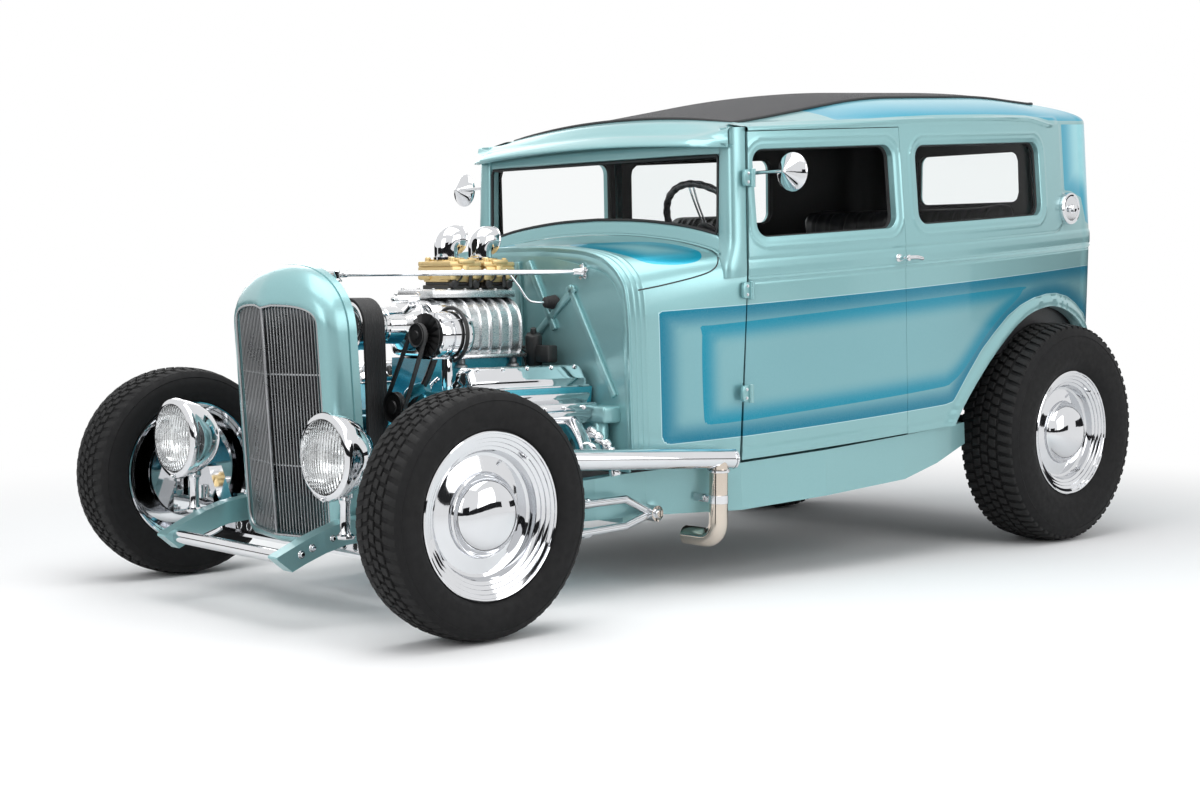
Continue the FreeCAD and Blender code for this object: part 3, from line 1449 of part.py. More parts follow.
def make_windscreen(outer, inner, cowl_outer, ahead_of_seam):
    """Posts, header and sun visor round the windscreen, and all the fixed panes."""
    gap = n.fit_gap
    half = n.windscreen_half_width
    front = n.windscreen_setback - n.glass_thickness * 4
    reach = n.side_half_width_middle
    top = n.roof_middle_crown
    ring = leaning_slab(front, n.wall_thickness * 3, reach, n.belt_level, top)
    frame = outer.common(ring).common(ahead_of_seam).cut(cowl_outer)
    opening = leaning_slab(
        front - n.cut_overrun, n.wall_thickness * 4, half, n.windscreen_bottom, n.windscreen_top,
    )
    behind = leaning_slab(
        n.windscreen_setback + n.glass_thickness * 2, n.wall_thickness * 4, reach, n.sill_level, top,
    )
    header = outer.cut(inner)
    frame = frame.cut(opening).cut(behind.cut(header))
    solids = sorted(frame.Solids, key=lambda solid: solid.Volume)
    frame = solids[-1]
    visor_half = half + n.post_width
    visor_top = n.drip_level + n.visor_drop * 0.35
    visor_x = -front + n.visor_reach
    visor = prism([
        vec(-front, -visor_half, visor_top), vec(visor_x, -visor_half, visor_top - n.visor_drop),
        vec(visor_x, -visor_half, visor_top - n.visor_drop - 6),
        vec(-front - n.glass_thickness * 3, -visor_half, n.drip_level - n.visor_drop * 0.6),
        vec(-front - n.glass_thickness * 3, -visor_half, visor_top),
    ], vec(0, visor_half * 2, 0))
    raked("windscreen_frame", frame.fuse(visor).removeSplitter())

    thick = n.glass_thickness
    screen = leaning_slab(
        n.windscreen_setback, thick, half - gap, n.windscreen_bottom + gap, n.windscreen_top - gap,
    ).cut(cowl_outer)
    skin = cabin_solid(n.wall_thickness / 2, n.roof_thickness / 2)
    skin = skin.cut(cabin_solid(n.wall_thickness / 2 + thick, n.roof_thickness / 2 + thick))
    panes = rounded_window(
        -n.quarter_window_rear + gap, -n.quarter_window_front - gap,
        n.quarter_window_bottom + gap, n.quarter_window_top - gap, n.window_corner,
        reach + n.cut_overrun,
    )
    back = box(
        -n.tail_belt + n.tail_corner, -n.tail_drip - n.cut_overrun,
        -n.rear_window_half_width + gap, n.rear_window_half_width - gap,
        n.rear_window_bottom + gap, n.rear_window_top - gap,
    )
    edges = [edge for edge in back.Edges if abs(edge.tangentAt(edge.FirstParameter).x) > 0.9]
    back = back.makeFillet(n.window_corner, edges)
    solids = [screen] + skin.common(panes).Solids + skin.common(back).Solids
    raked("glazing", Part.makeCompound(solids))


def make_floor():
    """Floor pan between the side walls, stepped up over the rear axle."""
    wall = n.wall_thickness + n.fit_gap
    front = n.firewall_setback + n.firewall_thickness + n.fit_gap
    half_front = n.cowl_front_half_width - wall
    half_rear = n.side_half_width_front - wall
    step = n.wheelbase - n.arch_radius - n.cut_overrun * 3
    thick = n.floor_thickness
    pan = prism([
        vec(-front, -half_front, n.floor_level), vec(-front, half_front, n.floor_level),
        vec(-n.door_front_setback, half_rear - n.floor_front_inset, n.floor_level),
        vec(-step, half_rear + n.floor_rear_flare, n.floor_level),
        vec(-step, -half_rear - n.floor_rear_flare, n.floor_level),
        vec(-n.door_front_setback, -half_rear + n.floor_front_inset, n.floor_level),
    ], vec(0, 0, thick))
    riser_top = n.floor_level + n.rear_deck_rise
    tub = n.tub_half_width
    rise = box(-step, -step - thick, -tub, tub, n.floor_level, riser_top)
    rear = n.tail_sill - wall - n.tail_corner / 3
    deck = box(-step, -rear, -tub, tub, riser_top - thick, riser_top)
    tunnel = tunnel_solid(0)
    floor = pan.fuse([rise, deck, tunnel]).cut(tunnel_solid(-thick))
    raked("floor_pan", floor.removeSplitter())
    wall_of_engine = nodes["firewall"]
    wall_of_engine.Shape = wall_of_engine.Shape.cut(placed_raked(tunnel_solid(n.fit_gap)))


def placed_raked(shape):
    """The shape turned and moved into the row frame."""
    frame = FreeCAD.Placement(vec(FRONT_AXLE, 0, 0), FreeCAD.Rotation(LEFT, n.rake_angle))
    copy = shape.copy()
    copy.Placement = frame.multiply(copy.Placement)
    return copy


def tunnel_solid(grow):
    """The gearbox tunnel as a solid wedge, grown or shrunk all round."""
    front = -n.firewall_setback - n.firewall_thickness - n.fit_gap
    if grow:
        front += n.cut_overrun
    low = n.floor_level - (n.crossmember_depth if grow else 0)
    sections = []
    for x, half, top in (
        (front, n.tunnel_front_half_width, n.tunnel_front_top),
        (-n.tunnel_waist_setback, n.tunnel_waist_half_width, n.tunnel_waist_top),
        (-n.tunnel_end, n.tunnel_rear_half_width, n.tunnel_rear_top),
    ):
        corners = [
            vec(x, -half - grow, low), vec(x, half + grow, low), vec(x, half + grow, top - half * 0.4),
            vec(x, half * 0.6 + grow, top + grow), vec(x, -half * 0.6 - grow, top + grow),
            vec(x, -half - grow, top - half * 0.4),
        ]
        sections.append(Part.makePolygon(corners + corners[:1]))
    return Part.makeLoft(sections, True, True)


RIM_SECTION_SHARES = [
    (1, 0), (0.7, 0.7), (0, 1), (-0.7, 0.7), (-1, 0), (-0.7, -0.7), (0, -1), (0.7, -0.7), (1, 0),
]


def cushion(x0, x1, y0, y1, z0, z1, radius):
    """A soft block with rounded edges."""
    block = box(x0, x1, y0, y1, z0, z1)
    return block.makeFillet(radius, block.Edges)


def make_cabin_fittings():
    """Seats, dash, steering column and wheel."""
    floor = n.floor_level + n.floor_thickness + n.fit_gap
    seats = []
    for side in SIDES.values():
        y0 = side * n.seat_half_track - n.seat_width / 2
        y1 = side * n.seat_half_track + n.seat_width / 2
        x = -n.seat_front_setback
        base = cushion(x, x - n.seat_depth, y0, y1, floor, floor + n.seat_height + 80, 30)
        back_z = floor + n.seat_height + 80 - 60
        back = cushion(
            x - n.seat_depth + 60, x - n.seat_depth - n.seat_back_thickness + 60,
            y0, y1, back_z, back_z + n.seat_back_height, 30,
        )
        seats.append(base.fuse(back).removeSplitter())
    raked("front_seats", Part.makeCompound(seats))
    deck = floor + n.rear_deck_rise - n.floor_thickness
    x = -n.rear_seat_setback - 40
    half = n.rear_seat_half_width
    bench = cushion(x, x - n.seat_depth, -half, half, deck, deck + n.seat_height, 30)
    bench_back = cushion(
        x - n.seat_depth + 40, x - n.seat_depth + 40 - n.seat_back_thickness,
        -half, half, deck + n.seat_height - 60, deck + n.seat_back_height, 30,
    )
    raked("rear_seat", bench.fuse(bench_back).removeSplitter())

    wall = n.wall_thickness / 2
    dash_x = -n.windscreen_setback + 10
    half = n.side_half_width_front - n.wall_thickness - 20
    dash = box(dash_x, dash_x - n.dash_depth, -half, half, n.belt_level - n.dash_height, n.belt_level)

    column_head = vec(-n.steering_wheel_setback, n.steering_wheel_half_track, n.steering_wheel_level)
    tilt = math.radians(n.steering_wheel_tilt)
    along = vec(math.sin(tilt), 0, -math.cos(tilt))
    rim = n.steering_wheel_rim
    section = Part.makePolygon([
        vec(n.steering_wheel_radius + rim * across, 0, rim * up) for across, up in RIM_SECTION_SHARES
    ])
    ring = Part.Face(section).revolve(vec(0, 0, 0), UP, 360)
    ring.rotate(vec(0, 0, 0), LEFT, -n.steering_wheel_tilt)
    ring.translate(column_head)
    hub = Part.makeCylinder(n.column_radius * 1.6, 30, column_head + along * 10, along)
    spokes = []
    for turn in (90, 210, 330):
        spoke = Part.makeCylinder(7, n.steering_wheel_radius, vec(0, 0, 0), AHEAD)
        spoke.rotate(vec(0, 0, 0), UP, turn)
        spoke.rotate(vec(0, 0, 0), LEFT, -n.steering_wheel_tilt)
        spoke.translate(column_head)
        spokes.append(spoke)
    wheel = ring.fuse(spokes + [Part.makeCylinder(n.column_radius * 1.6, 40, column_head - along * 10, along)])
    raked("steering_wheel", wheel.removeSplitter())
    column_start = column_head + along * (30 + n.fit_gap)
    column = Part.makeCylinder(n.column_radius, n.column_length, column_start, along)
    engine_side = -n.firewall_setback - n.firewall_thickness - n.fit_gap
    reach = n.side_half_width_middle
    column = column.cut(box(engine_side, 0, -reach, reach, 0, n.roof_middle_crown))
    raked("steering_column", column)
    sleeve = Part.makeCylinder(n.column_radius + n.fit_gap, n.column_length, column_start, along)
    raked("dashboard", dash.cut(sleeve))


def make_hinges():
    """Three outside hinges a side: a pin and leaf on the cowl, an eye and leaf on the door."""
    axis_x = n.hinge_setback
    fixed = []
    for side_name, side in SIDES.items():
        moving = []
        for hinge_z in (n.hinge_low, n.hinge_middle, n.hinge_high):
            foot = vec(-axis_x, side * n.hinge_half_track, hinge_z - n.hinge_height / 2)
            middle = foot + vec(0, 0, n.hinge_height / 2)
            head = foot + vec(0, 0, n.hinge_height)
            leaf_y = side * (n.hinge_half_track + n.hinge_radius / 2)
            skin_y = side * (n.hinge_half_track - n.hinge_reach)
            fixed.append(tube(foot, middle, n.hinge_radius))
            fixed.append(tube(middle, head, n.hinge_pin_radius))
            fixed.append(box(-axis_x, -axis_x + n.hinge_leaf, skin_y, leaf_y, foot.z, middle.z))
            low = middle + vec(0, 0, n.pin_clearance * 2)
            eye = tube(low, head, n.hinge_radius)
            leaf = box(-axis_x, -axis_x - n.hinge_leaf, skin_y, leaf_y, low.z, head.z)
            bore = tube(middle, head, n.hinge_pin_radius + n.pin_clearance)
            moving.append(eye.fuse(leaf).cut(bore))
        door = nodes[f"{side_name}_door"]
        frame = vec(FRONT_AXLE, 0, 0)
        leaves = Part.makeCompound(moving)
        leaves.translate(frame)
        door.Shape = door.Shape.fuse(leaves.Solids).removeSplitter()
    hinges = level("door_hinges", fixed[0].multiFuse(fixed[1:]))
    for neighbour in ("cowl", "windscreen_frame", "left_door", "right_door"):
        hinges.Shape = hinges.Shape.cut(nodes[neighbour].Shape)


def make_outside_fittings():
    """Door mirrors and handles, and the fuel filler."""
    for side_name, side in SIDES.items():
        skin = nodes[f"{side_name}_door"].Shape
        disc = vec(-n.mirror_setback - n.mirror_depth, side * n.mirror_half_track, n.mirror_level)
        crown = disc + vec(n.mirror_depth, 0, 0)
        bowl = Part.makeCone(n.mirror_stalk_radius, n.mirror_radius, n.mirror_depth, crown, vec(-1, 0, 0))
        root = vec(-n.mirror_root_setback, side * n.mirror_root_half_track, n.mirror_level)
        mirror = bowl.fuse(tube(root, crown - vec(n.mirror_stalk_radius, 0, 0), n.mirror_stalk_radius))
        item = raked(f"{side_name}_door_mirror", mirror.removeSplitter())
        item.Shape = sorted(item.Shape.cut(skin).Solids, key=lambda solid: solid.Volume)[-1]
        x = -n.door_rear_setback + n.handle_inset
        y = side * n.side_half_width_middle
        stem = Part.makeCylinder(
            n.handle_radius, n.handle_reach, vec(x, y - side * n.handle_reach / 2, n.handle_level),
            vec(0, side, 0),
        )
        grip_y = y + side * (n.handle_reach / 2 - n.handle_radius)
        grip = tube(
            vec(x, grip_y, n.handle_level), vec(x - n.handle_length, grip_y, n.handle_level),
            n.handle_radius * 0.8,
        )
        item = raked(f"{side_name}_door_handle", stem.fuse(grip).removeSplitter())
        item.Shape = sorted(item.Shape.cut(skin).Solids, key=lambda solid: solid.Volume)[-1]
    cap = Part.makeCylinder(
        n.filler_radius, n.filler_depth * 2,
        vec(-n.filler_setback, n.side_half_width_rear - n.filler_depth / 2, n.filler_level), LEFT,
    )
    raked("fuel_filler", cap.cut(cabin_solid(0, 0)))


def check_document():
    """Stop if any object failed or any node has no valid shape."""
    doc.recompute()
    failed = [item.Label for item in doc.Objects if {"Invalid", "Error"} & set(item.State)]
    if failed:
        raise RuntimeError(f"objects failed: {failed}")
    for label, item in nodes.items():
        if item.Shape.isNull() or not item.Shape.isValid():
            raise RuntimeError(f"{label} has no valid shape")


def export_nodes():
    os.makedirs("parts", exist_ok=True)
    for label, item in nodes.items():
        item.Shape.exportStep(os.path.join("parts", f"{label}.step"))


make_wheels()
make_front_axle()
make_rear_axle()
make_frame()
make_grille()
make_lamps()
make_engine()
make_supercharger()
make_cabin()
make_exhaust_and_stays()
make_floor()
make_cabin_fittings()
make_hinges()
make_outside_fittings()
check_document()
export_nodes()
print(len(nodes), "nodes")
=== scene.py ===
from bisect import bisect_right
from math import exp, atan2, cos, hypot, pi, radians, sin, sqrt, tan

import bmesh
import bpy
from mathutils import Matrix, Vector


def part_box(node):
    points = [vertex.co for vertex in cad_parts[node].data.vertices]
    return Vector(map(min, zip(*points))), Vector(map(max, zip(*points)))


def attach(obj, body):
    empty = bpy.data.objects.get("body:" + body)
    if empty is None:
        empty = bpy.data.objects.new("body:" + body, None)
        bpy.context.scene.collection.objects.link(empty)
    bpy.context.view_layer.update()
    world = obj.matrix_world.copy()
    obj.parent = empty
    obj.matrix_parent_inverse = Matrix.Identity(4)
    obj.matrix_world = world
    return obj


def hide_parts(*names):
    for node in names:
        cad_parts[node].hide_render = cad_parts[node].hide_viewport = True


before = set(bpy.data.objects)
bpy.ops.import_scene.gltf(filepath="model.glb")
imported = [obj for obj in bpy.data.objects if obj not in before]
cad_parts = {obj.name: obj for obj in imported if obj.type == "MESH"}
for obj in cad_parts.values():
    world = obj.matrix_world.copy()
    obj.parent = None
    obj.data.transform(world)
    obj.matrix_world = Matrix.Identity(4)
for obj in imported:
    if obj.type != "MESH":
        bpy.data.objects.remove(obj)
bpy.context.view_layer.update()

# Places. u runs back from the front axle, w up, both along the frame, which sits nose down.
rake = radians(4)
front_tyre_low, front_tyre_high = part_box("front_left_tyre")
rear_tyre_low, rear_tyre_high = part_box("rear_left_tyre")
axle_x = (front_tyre_low.x + front_tyre_high.x) / 2
rear_axle_x = (rear_tyre_low.x + rear_tyre_high.x) / 2


def raked(u, y, w):
    return Vector((axle_x - u * cos(rake) + w * sin(rake), y, w * cos(rake) + u * sin(rake)))


def level(x, y, z):
    """x forward from the front axle, z up from the ground."""
    return Vector((axle_x + x, y, z))


def mm(*sizes):
    """Pairs in metres from a run of sizes in millimetres."""
    return [(a / 1000, b / 1000) for a, b in zip(sizes[::2], sizes[1::2])]


BACK = (-1, 0, 0)


# Mesh tools.
def surface(columns, rows, point):
    """A grid bent to shape, where point(i, j) places each corner."""
    mesh = bmesh.new()
    bmesh.ops.create_grid(mesh, x_segments=columns, y_segments=rows, size=1)
    for v in mesh.verts:
        v.co = point(round((v.co.x + 1) / 2 * columns), round((v.co.y + 1) / 2 * rows))
    bmesh.ops.remove_doubles(mesh, verts=mesh.verts, dist=1e-5)
    return mesh


def close_ends(mesh):
    bmesh.ops.holes_fill(mesh, edges=[e for e in mesh.edges if e.is_boundary], sides=0)
    return mesh


def sweep(path, radius, sides=14, ends=True, flat=1.0):
    """A tube along a path, as thick as radius or radius(share of the way)."""
    path = [Vector(p) for p in path]
    last = len(path) - 1
    size = radius if callable(radius) else (lambda share: radius)
    frames = []
    side = None
    for k in range(last + 1):
        along = (path[min(k + 1, last)] - path[max(k - 1, 0)]).normalized()
        if side is None:
            side = along.orthogonal().normalized()
        side = (side - along * side.dot(along)).normalized()
        frames.append((side.copy(), along.cross(side)))

    def point(i, j):
        across, up = frames[j]
        angle = 2 * pi * i / sides
        return path[j] + (across * cos(angle) + up * sin(angle) * flat) * size(j / last)

    mesh = surface(sides, last, point)
    return close_ends(mesh) if ends else mesh


def smooth_path(points, steps=8, closed=False):
    """A smooth line through the points."""
    points = [Vector(p) for p in points]
    count = len(points)
    line = []
    for k in range(count if closed else count - 1):
        if closed:
            a, b, c, d = (points[(k + o) % count] for o in (-1, 0, 1, 2))
        else:
            a, b, c, d = (points[min(max(k + o, 0), count - 1)] for o in (-1, 0, 1, 2))
        for step in range(steps):
            t = step / steps
            line.append(0.5 * (2 * b + (c - a) * t + (2 * a - 5 * b + 4 * c - d) * t * t
                               + (3 * b - a - 3 * c + d) * t ** 3))
    if not closed:
        line.append(points[-1])
    return line


def turned(profile, steps=64):
    """Turns (radius, height) points about Z."""
    mesh = bmesh.new()
    verts = [mesh.verts.new((r, 0, z)) for r, z in profile]
    edges = [mesh.edges.new(pair) for pair in zip(verts, verts[1:])]
    bmesh.ops.spin(mesh, geom=verts + edges, cent=(0, 0, 0), axis=(0, 0, 1), angle=2 * pi, steps=steps,
                   use_merge=True, use_normal_flip=False, use_duplicate=False)
    bmesh.ops.remove_doubles(mesh, verts=mesh.verts, dist=1e-6)
    return mesh


def everything(mesh):
    return mesh.verts[:] + mesh.edges[:] + mesh.faces[:]


def ringed(mesh, count):
    """Copies a mesh round Z, count times in all."""
    bmesh.ops.spin(mesh, geom=everything(mesh), cent=(0, 0, 0), axis=(0, 0, 1), angle=2 * pi * (count - 1) / count,
                   steps=count - 1, use_merge=False, use_normal_flip=False, use_duplicate=True)
    return mesh


def aim(mesh, origin, direction=(0, 0, 1), roll=0.0):
    """Turns local Z to a direction and moves the mesh to its place."""
    turn = Vector(direction).to_track_quat("Z", "Y").to_matrix().to_4x4()
    mesh.transform(Matrix.Translation(Vector(origin)) @ turn @ Matrix.Rotation(roll, 4, "Z"))
    return mesh


def spun(mesh, profile, steps, place, way=(0, 0, 1)):
    """Adds a turned form whose axis points one way from a place."""
    return add(mesh, aim(turned(profile, steps), place, way))


def hose(mesh, places, radius, sides, steps=6):
    """Adds a smooth tube through (x, y, z) places, drawn level."""
    return add(mesh, sweep(smooth_path([level(*place) for place in places], steps), radius, sides))


def soften(mesh, width, segments=2, angle=0.5):
    """Rounds the sharp edges."""
    edges = [e for e in mesh.edges if len(e.link_faces) == 2 and e.calc_face_angle(0) > angle]
    bmesh.ops.bevel(mesh, geom=edges, offset=width, affect="EDGES", segments=segments,
                    profile=0.5, material=-1, clamp_overlap=True)
    return mesh


def block(size, centre=(0, 0, 0), edge=0.002, segments=2):
    mesh = bmesh.new()
    bmesh.ops.create_cube(mesh, size=1)
    bmesh.ops.scale(mesh, vec=size, verts=mesh.verts)
    if edge:
        soften(mesh, edge, segments)
    bmesh.ops.translate(mesh, vec=centre, verts=mesh.verts)
    return mesh


def plate(outline, thick, edge=0.0, segments=1):
    """A flat outline given thickness along Z."""
    mesh = bmesh.new()
    face = mesh.faces.new([mesh.verts.new((x, y, 0)) for x, y in outline])
    made = bmesh.ops.extrude_face_region(mesh, geom=[face])["geom"]
    bmesh.ops.translate(mesh, vec=(0, 0, thick), verts=[v for v in made if isinstance(v, bmesh.types.BMVert)])
    close_ends(mesh)
    bmesh.ops.recalc_face_normals(mesh, faces=mesh.faces)
    return soften(mesh, edge, segments) if edge else mesh


def placed(mesh, place):
    """Moves every corner by a function of its place."""
    for v in mesh.verts:
        v.co = place(*v.co)
    return mesh


def add(mesh, *parts):
    """Adds meshes to a mesh."""
    for part in parts:
        spare = bpy.data.meshes.new("part")
        part.to_mesh(spare)
        mesh.from_mesh(spare)
        bpy.data.meshes.remove(spare)
        part.free()
    return mesh


def copy_of(mesh, change):
    double = mesh.copy()
    double.transform(change)
    return double


def both_sides(mesh):
    """The mesh and its mirror image across the car."""
    other = copy_of(mesh, Matrix.Scale(-1, 4, (0, 1, 0)))
    bmesh.ops.reverse_faces(other, faces=other.faces)
    return add(mesh, other)


def object_of(mesh, name, *materials):
    """Links a mesh to the scene as an object."""
    data = bpy.data.meshes.new(name)
    mesh.to_mesh(data)
    mesh.free()
    item = bpy.data.objects.new(name, data)
    bpy.context.scene.collection.objects.link(item)
    for each in materials:
        data.materials.append(each)
    return item


# Slots of the materials whose own name isn't a slot.
SLOTS = {"heat_tinted_chrome": "trim_chrome", "bright_aluminium": "polished_aluminium",
         "seal_rubber": "black_plastic", "tyre_rubber": "tyre"}


def piece(mesh, name, material, stands_for="", flat_angle=34, body="chassis", slot="", merge=1e-5):
    """Finishes a mesh as one object that rides on a body, in place of the CAD nodes it stands for."""
    bmesh.ops.remove_doubles(mesh, verts=mesh.verts, dist=merge)
    bmesh.ops.recalc_face_normals(mesh, faces=mesh.faces)
    for face in mesh.faces:
        face.smooth = True
    for edge in mesh.edges:
        edge.smooth = not (len(edge.link_faces) == 2 and edge.calc_face_angle(0) > radians(flat_angle))
    item = object_of(mesh, name, material)
    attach(item, body)
    if stands_for:
        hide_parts(*stands_for.split())
    finish_name = material.name.split(".")[0]
    slot or SLOTS.get(finish_name, finish_name)
    return item




# Flat outlines.
def outline_distance(points):
    """Signed distance to a closed outline, positive inside it."""
    sides = list(zip(points, points[1:] + points[:1]))

    def distance(x, y):
        nearest = 1e9
        inside = False
        for (ax, ay), (bx, by) in sides:
            dx, dy = bx - ax, by - ay
            share = max(0.0, min(1.0, ((x - ax) * dx + (y - ay) * dy) / (dx * dx + dy * dy + 1e-18)))
            nearest = min(nearest, (x - ax - dx * share) ** 2 + (y - ay - dy * share) ** 2)
            if (ay > y) != (by > y) and x < ax + (y - ay) / (by - ay) * dx:
                inside = not inside
        return sqrt(nearest) if inside else -sqrt(nearest)

    return distance


def rounded_box_distance(x0, x1, y0, y1, radius):
    """Signed distance to a rounded rectangle, positive inside it."""
    middle = ((x0 + x1) / 2, (y0 + y1) / 2)
    half = ((x1 - x0) / 2 - radius, (y1 - y0) / 2 - radius)

    def distance(x, y):
        dx = abs(x - middle[0]) - half[0]
        dy = abs(y - middle[1]) - half[1]
        return radius - hypot(max(dx, 0), max(dy, 0)) - min(max(dx, dy), 0)

    return distance


def smooth_outline(points, steps=6):
    return [(p.x, p.y) for p in smooth_path([(x, y, 0) for x, y in points], steps, closed=True)]


def slope(distance, x, y, step=1e-4):
    """How fast a distance grows along x and along y."""
    return ((distance(x + step, y) - distance(x - step, y)) / (2 * step),
            (distance(x, y + step) - distance(x, y - step)) / (2 * step))


def fold(mesh, rim, move):
    """Extrudes open edges, moves each new corner and gives back the new open edges."""
    made = bmesh.ops.extrude_edge_only(mesh, edges=rim)["geom"]
    for v in made:
        if isinstance(v, bmesh.types.BMVert):
            move(v)
    return [e for e in made if isinstance(e, bmesh.types.BMEdge) and e.is_boundary]


def cut_out(mesh, distance, depths=(), lip=0.0):
    """Cuts an outline out of a flat panel and turns its edge back by the depths."""
    apart = {v: distance(v.co.x, v.co.y) for v in mesh.verts}
    near = set()
    for e in mesh.edges:
        a, b = e.verts
        if apart[a] * apart[b] < 0:
            near.add(a if abs(apart[a]) < abs(apart[b]) else b)
    for v in near:
        for _ in range(3):
            gap = distance(v.co.x, v.co.y)
            gx, gy = slope(distance, v.co.x, v.co.y)
            size = max(gx * gx + gy * gy, 0.2)
            v.co.x -= gx * gap / size
            v.co.y -= gy * gap / size
        apart[v] = 0.0
    split = set()
    for face in mesh.faces:
        signs = [apart[v] for v in face.verts]
        if min(signs) < 0 < max(signs):
            split.update(v for v in face.verts if v in near)
    bmesh.ops.connect_verts(mesh, verts=list(split))
    gone = [face for face in mesh.faces if distance(*face.calc_center_median().xy) > 0]
    bmesh.ops.delete(mesh, geom=gone, context="FACES")
    rim = [e for e in mesh.edges if e.is_boundary
           and all(v in near and abs(distance(v.co.x, v.co.y)) < 0.004 for v in e.verts)]
    for turn, depth in enumerate(depths):
        def move(v):
            v.co.z = depth
            if lip and turn == 0:
                gx, gy = slope(distance, v.co.x, v.co.y)
                v.co.x += gx * lip
                v.co.y += gy * lip

        rim = fold(mesh, rim, move)
    return mesh


def slice_off(mesh, place, way):
    """Cuts away what lies past a plane."""
    bmesh.ops.bisect_plane(mesh, geom=everything(mesh), dist=1e-6, plane_co=place, plane_no=way, clear_outer=True)


def stations(*spans):
    """Grid lines from (start, end, spacing) spans, without doubles."""
    lines = []
    for start, end, spacing in spans:
        count = max(1, round((end - start) / spacing))
        lines += [start + (end - start) * k / count for k in range(count + 1)]
    lines.sort()
    kept = lines[:1]
    for line in lines[1:]:
        if line - kept[-1] > 0.0006:
            kept.append(line)
    return kept


def flat_panel(across, up):
    return surface(len(across) - 1, len(up) - 1, lambda i, j: (across[i], up[j], 0))


def between(value, levels, sizes):
    """Straight-line value of a table."""
    if value <= levels[0]:
        return sizes[0]
    if value >= levels[-1]:
        return sizes[-1]
    k = bisect_right(levels, value) - 1
    return sizes[k] + (sizes[k + 1] - sizes[k]) * (value - levels[k]) / (levels[k + 1] - levels[k])


def rise(x, start, end):
    """A smooth step from 0 to 1."""
    t = max(0.0, min(1.0, (x - start) / (end - start)))
    return t * t * (3 - 2 * t)


def bead(x, half):
    """A rounded ridge, 1 at its middle and 0 at its half width."""
    return cos(min(abs(x) / half, 1.0) * pi / 2) ** 2


# Materials.
def link(tree, value, socket):
    """Links a socket, or sets it to a plain value."""
    if isinstance(value, bpy.types.NodeSocket):
        tree.links.new(value, socket)
    else:
        socket.default_value = value


def shader_group(name, outputs, **inputs):
    """An empty node group with named sockets: colours have four numbers, vectors three."""
    group = bpy.data.node_groups.new(name, "ShaderNodeTree")
    for title, value in inputs.items():
        kind = {4: "Color", 3: "Vector"}[len(value)] if isinstance(value, tuple) else "Float"
        made = group.interface.new_socket(title, in_out="INPUT", socket_type="NodeSocket" + kind)
        made.default_value = value
    for title in outputs:
        kind = {"Colour": "Color", "Normal": "Vector"}.get(title, "Float")
        group.interface.new_socket(title, in_out="OUTPUT", socket_type="NodeSocket" + kind)
    return group, group.nodes.new("NodeGroupInput").outputs, group.nodes.new("NodeGroupOutput").inputs


def node(tree, kind, settings=None, **inputs):
    """A node with its settings, and its inputs linked or set by name, or by number as i0, i1."""
    made = tree.nodes.new("ShaderNode" + kind)
    for key, value in (settings or {}).items():
        setattr(made, key, value)
    for key, value in inputs.items():
        link(tree, value, made.inputs[int(key[1:]) if key in ("i0", "i1") else key.replace("_", " ")])
    return made


def ramp(tree, value, **ends):
    """A value mapped from one range to another."""
    return node(tree, "MapRange", Value=value, **ends).outputs[0]


def noise(tree, place, scale, detail, **more):
    return node(tree, "TexNoise", Vector=place, Scale=scale, Detail=detail, **more).outputs[0]


def object_place(tree):
    return node(tree, "TexCoord").outputs["Object"]


def math_node(tree, operation, *values):
    made = tree.nodes.new("ShaderNodeMath")
    made.operation = operation
    for socket, value in zip(made.inputs, values):
        link(tree, value, socket)
    return made.outputs[0]


def mix_colour(tree, share, first, second):
    made = tree.nodes.new("ShaderNodeMix")
    made.data_type = "RGBA"
    for k, value in ((0, share), (6, first), (7, second)):
        link(tree, value, made.inputs[k])
    return made.outputs[2]


def build_grain_group():
    """Fine surface unevenness: a value from low to high, and a normal."""
    group, start, end = shader_group("surface_grain", ("Value", "Normal"), Scale=40.0, Low=0.2, High=0.3,
                                     Depth=0.0002, Stretch=(1, 1, 1))
    place = node(group, "VectorMath", {"operation": "MULTIPLY"}, i0=object_place(group),
                 i1=start["Stretch"]).outputs[0]
    grain = noise(group, place, start["Scale"], 4.0, Roughness=0.6)
    value = ramp(group, grain, From_Min=0.3, From_Max=0.7, To_Min=start["Low"], To_Max=start["High"])
    link(group, value, end["Value"])
    bump = node(group, "Bump", Strength=0.6, Distance=start["Depth"], Height=grain)
    link(group, bump.outputs[0], end["Normal"])
    return group


def build_wear_and_shade_group():
    """Colour lighter at rubbed edges, darkened in hollows as painted shade (the tyre's lighter brownish hollow colour
    is dust), with soft blotches.
    """
    group, start, end = shader_group("edge_wear_and_hollow_shade", ("Colour",), Colour=(0.5, 0.5, 0.5, 1), Edge=(0.8, 0.8, 0.8, 1),
                                     Hollow=(0.1, 0.1, 0.1, 1), Amount=0.5)
    sharp = node(group, "NewGeometry").outputs["Pointiness"]
    edge = ramp(group, sharp, From_Min=0.52, From_Max=0.62)
    # Painted shade: concave places take the hollow colour, darker as if shadowed; on the tyre that colour is dust.
    hollow = ramp(group, sharp, From_Min=0.48, From_Max=0.4)
    blotch = math_node(group, "SUBTRACT", noise(group, object_place(group), 14.0, 5.0), 0.45)
    colour = start["Colour"]
    for mask, toward in ((edge, "Edge"), (hollow, "Hollow"), (blotch, "Hollow")):
        share = math_node(group, "MULTIPLY", mask, start["Amount"])
        if mask == blotch:
            share = node(group, "Clamp", Value=share).outputs[0]
        colour = mix_colour(group, share, colour, start[toward])
    link(group, colour, end["Colour"])
    return group


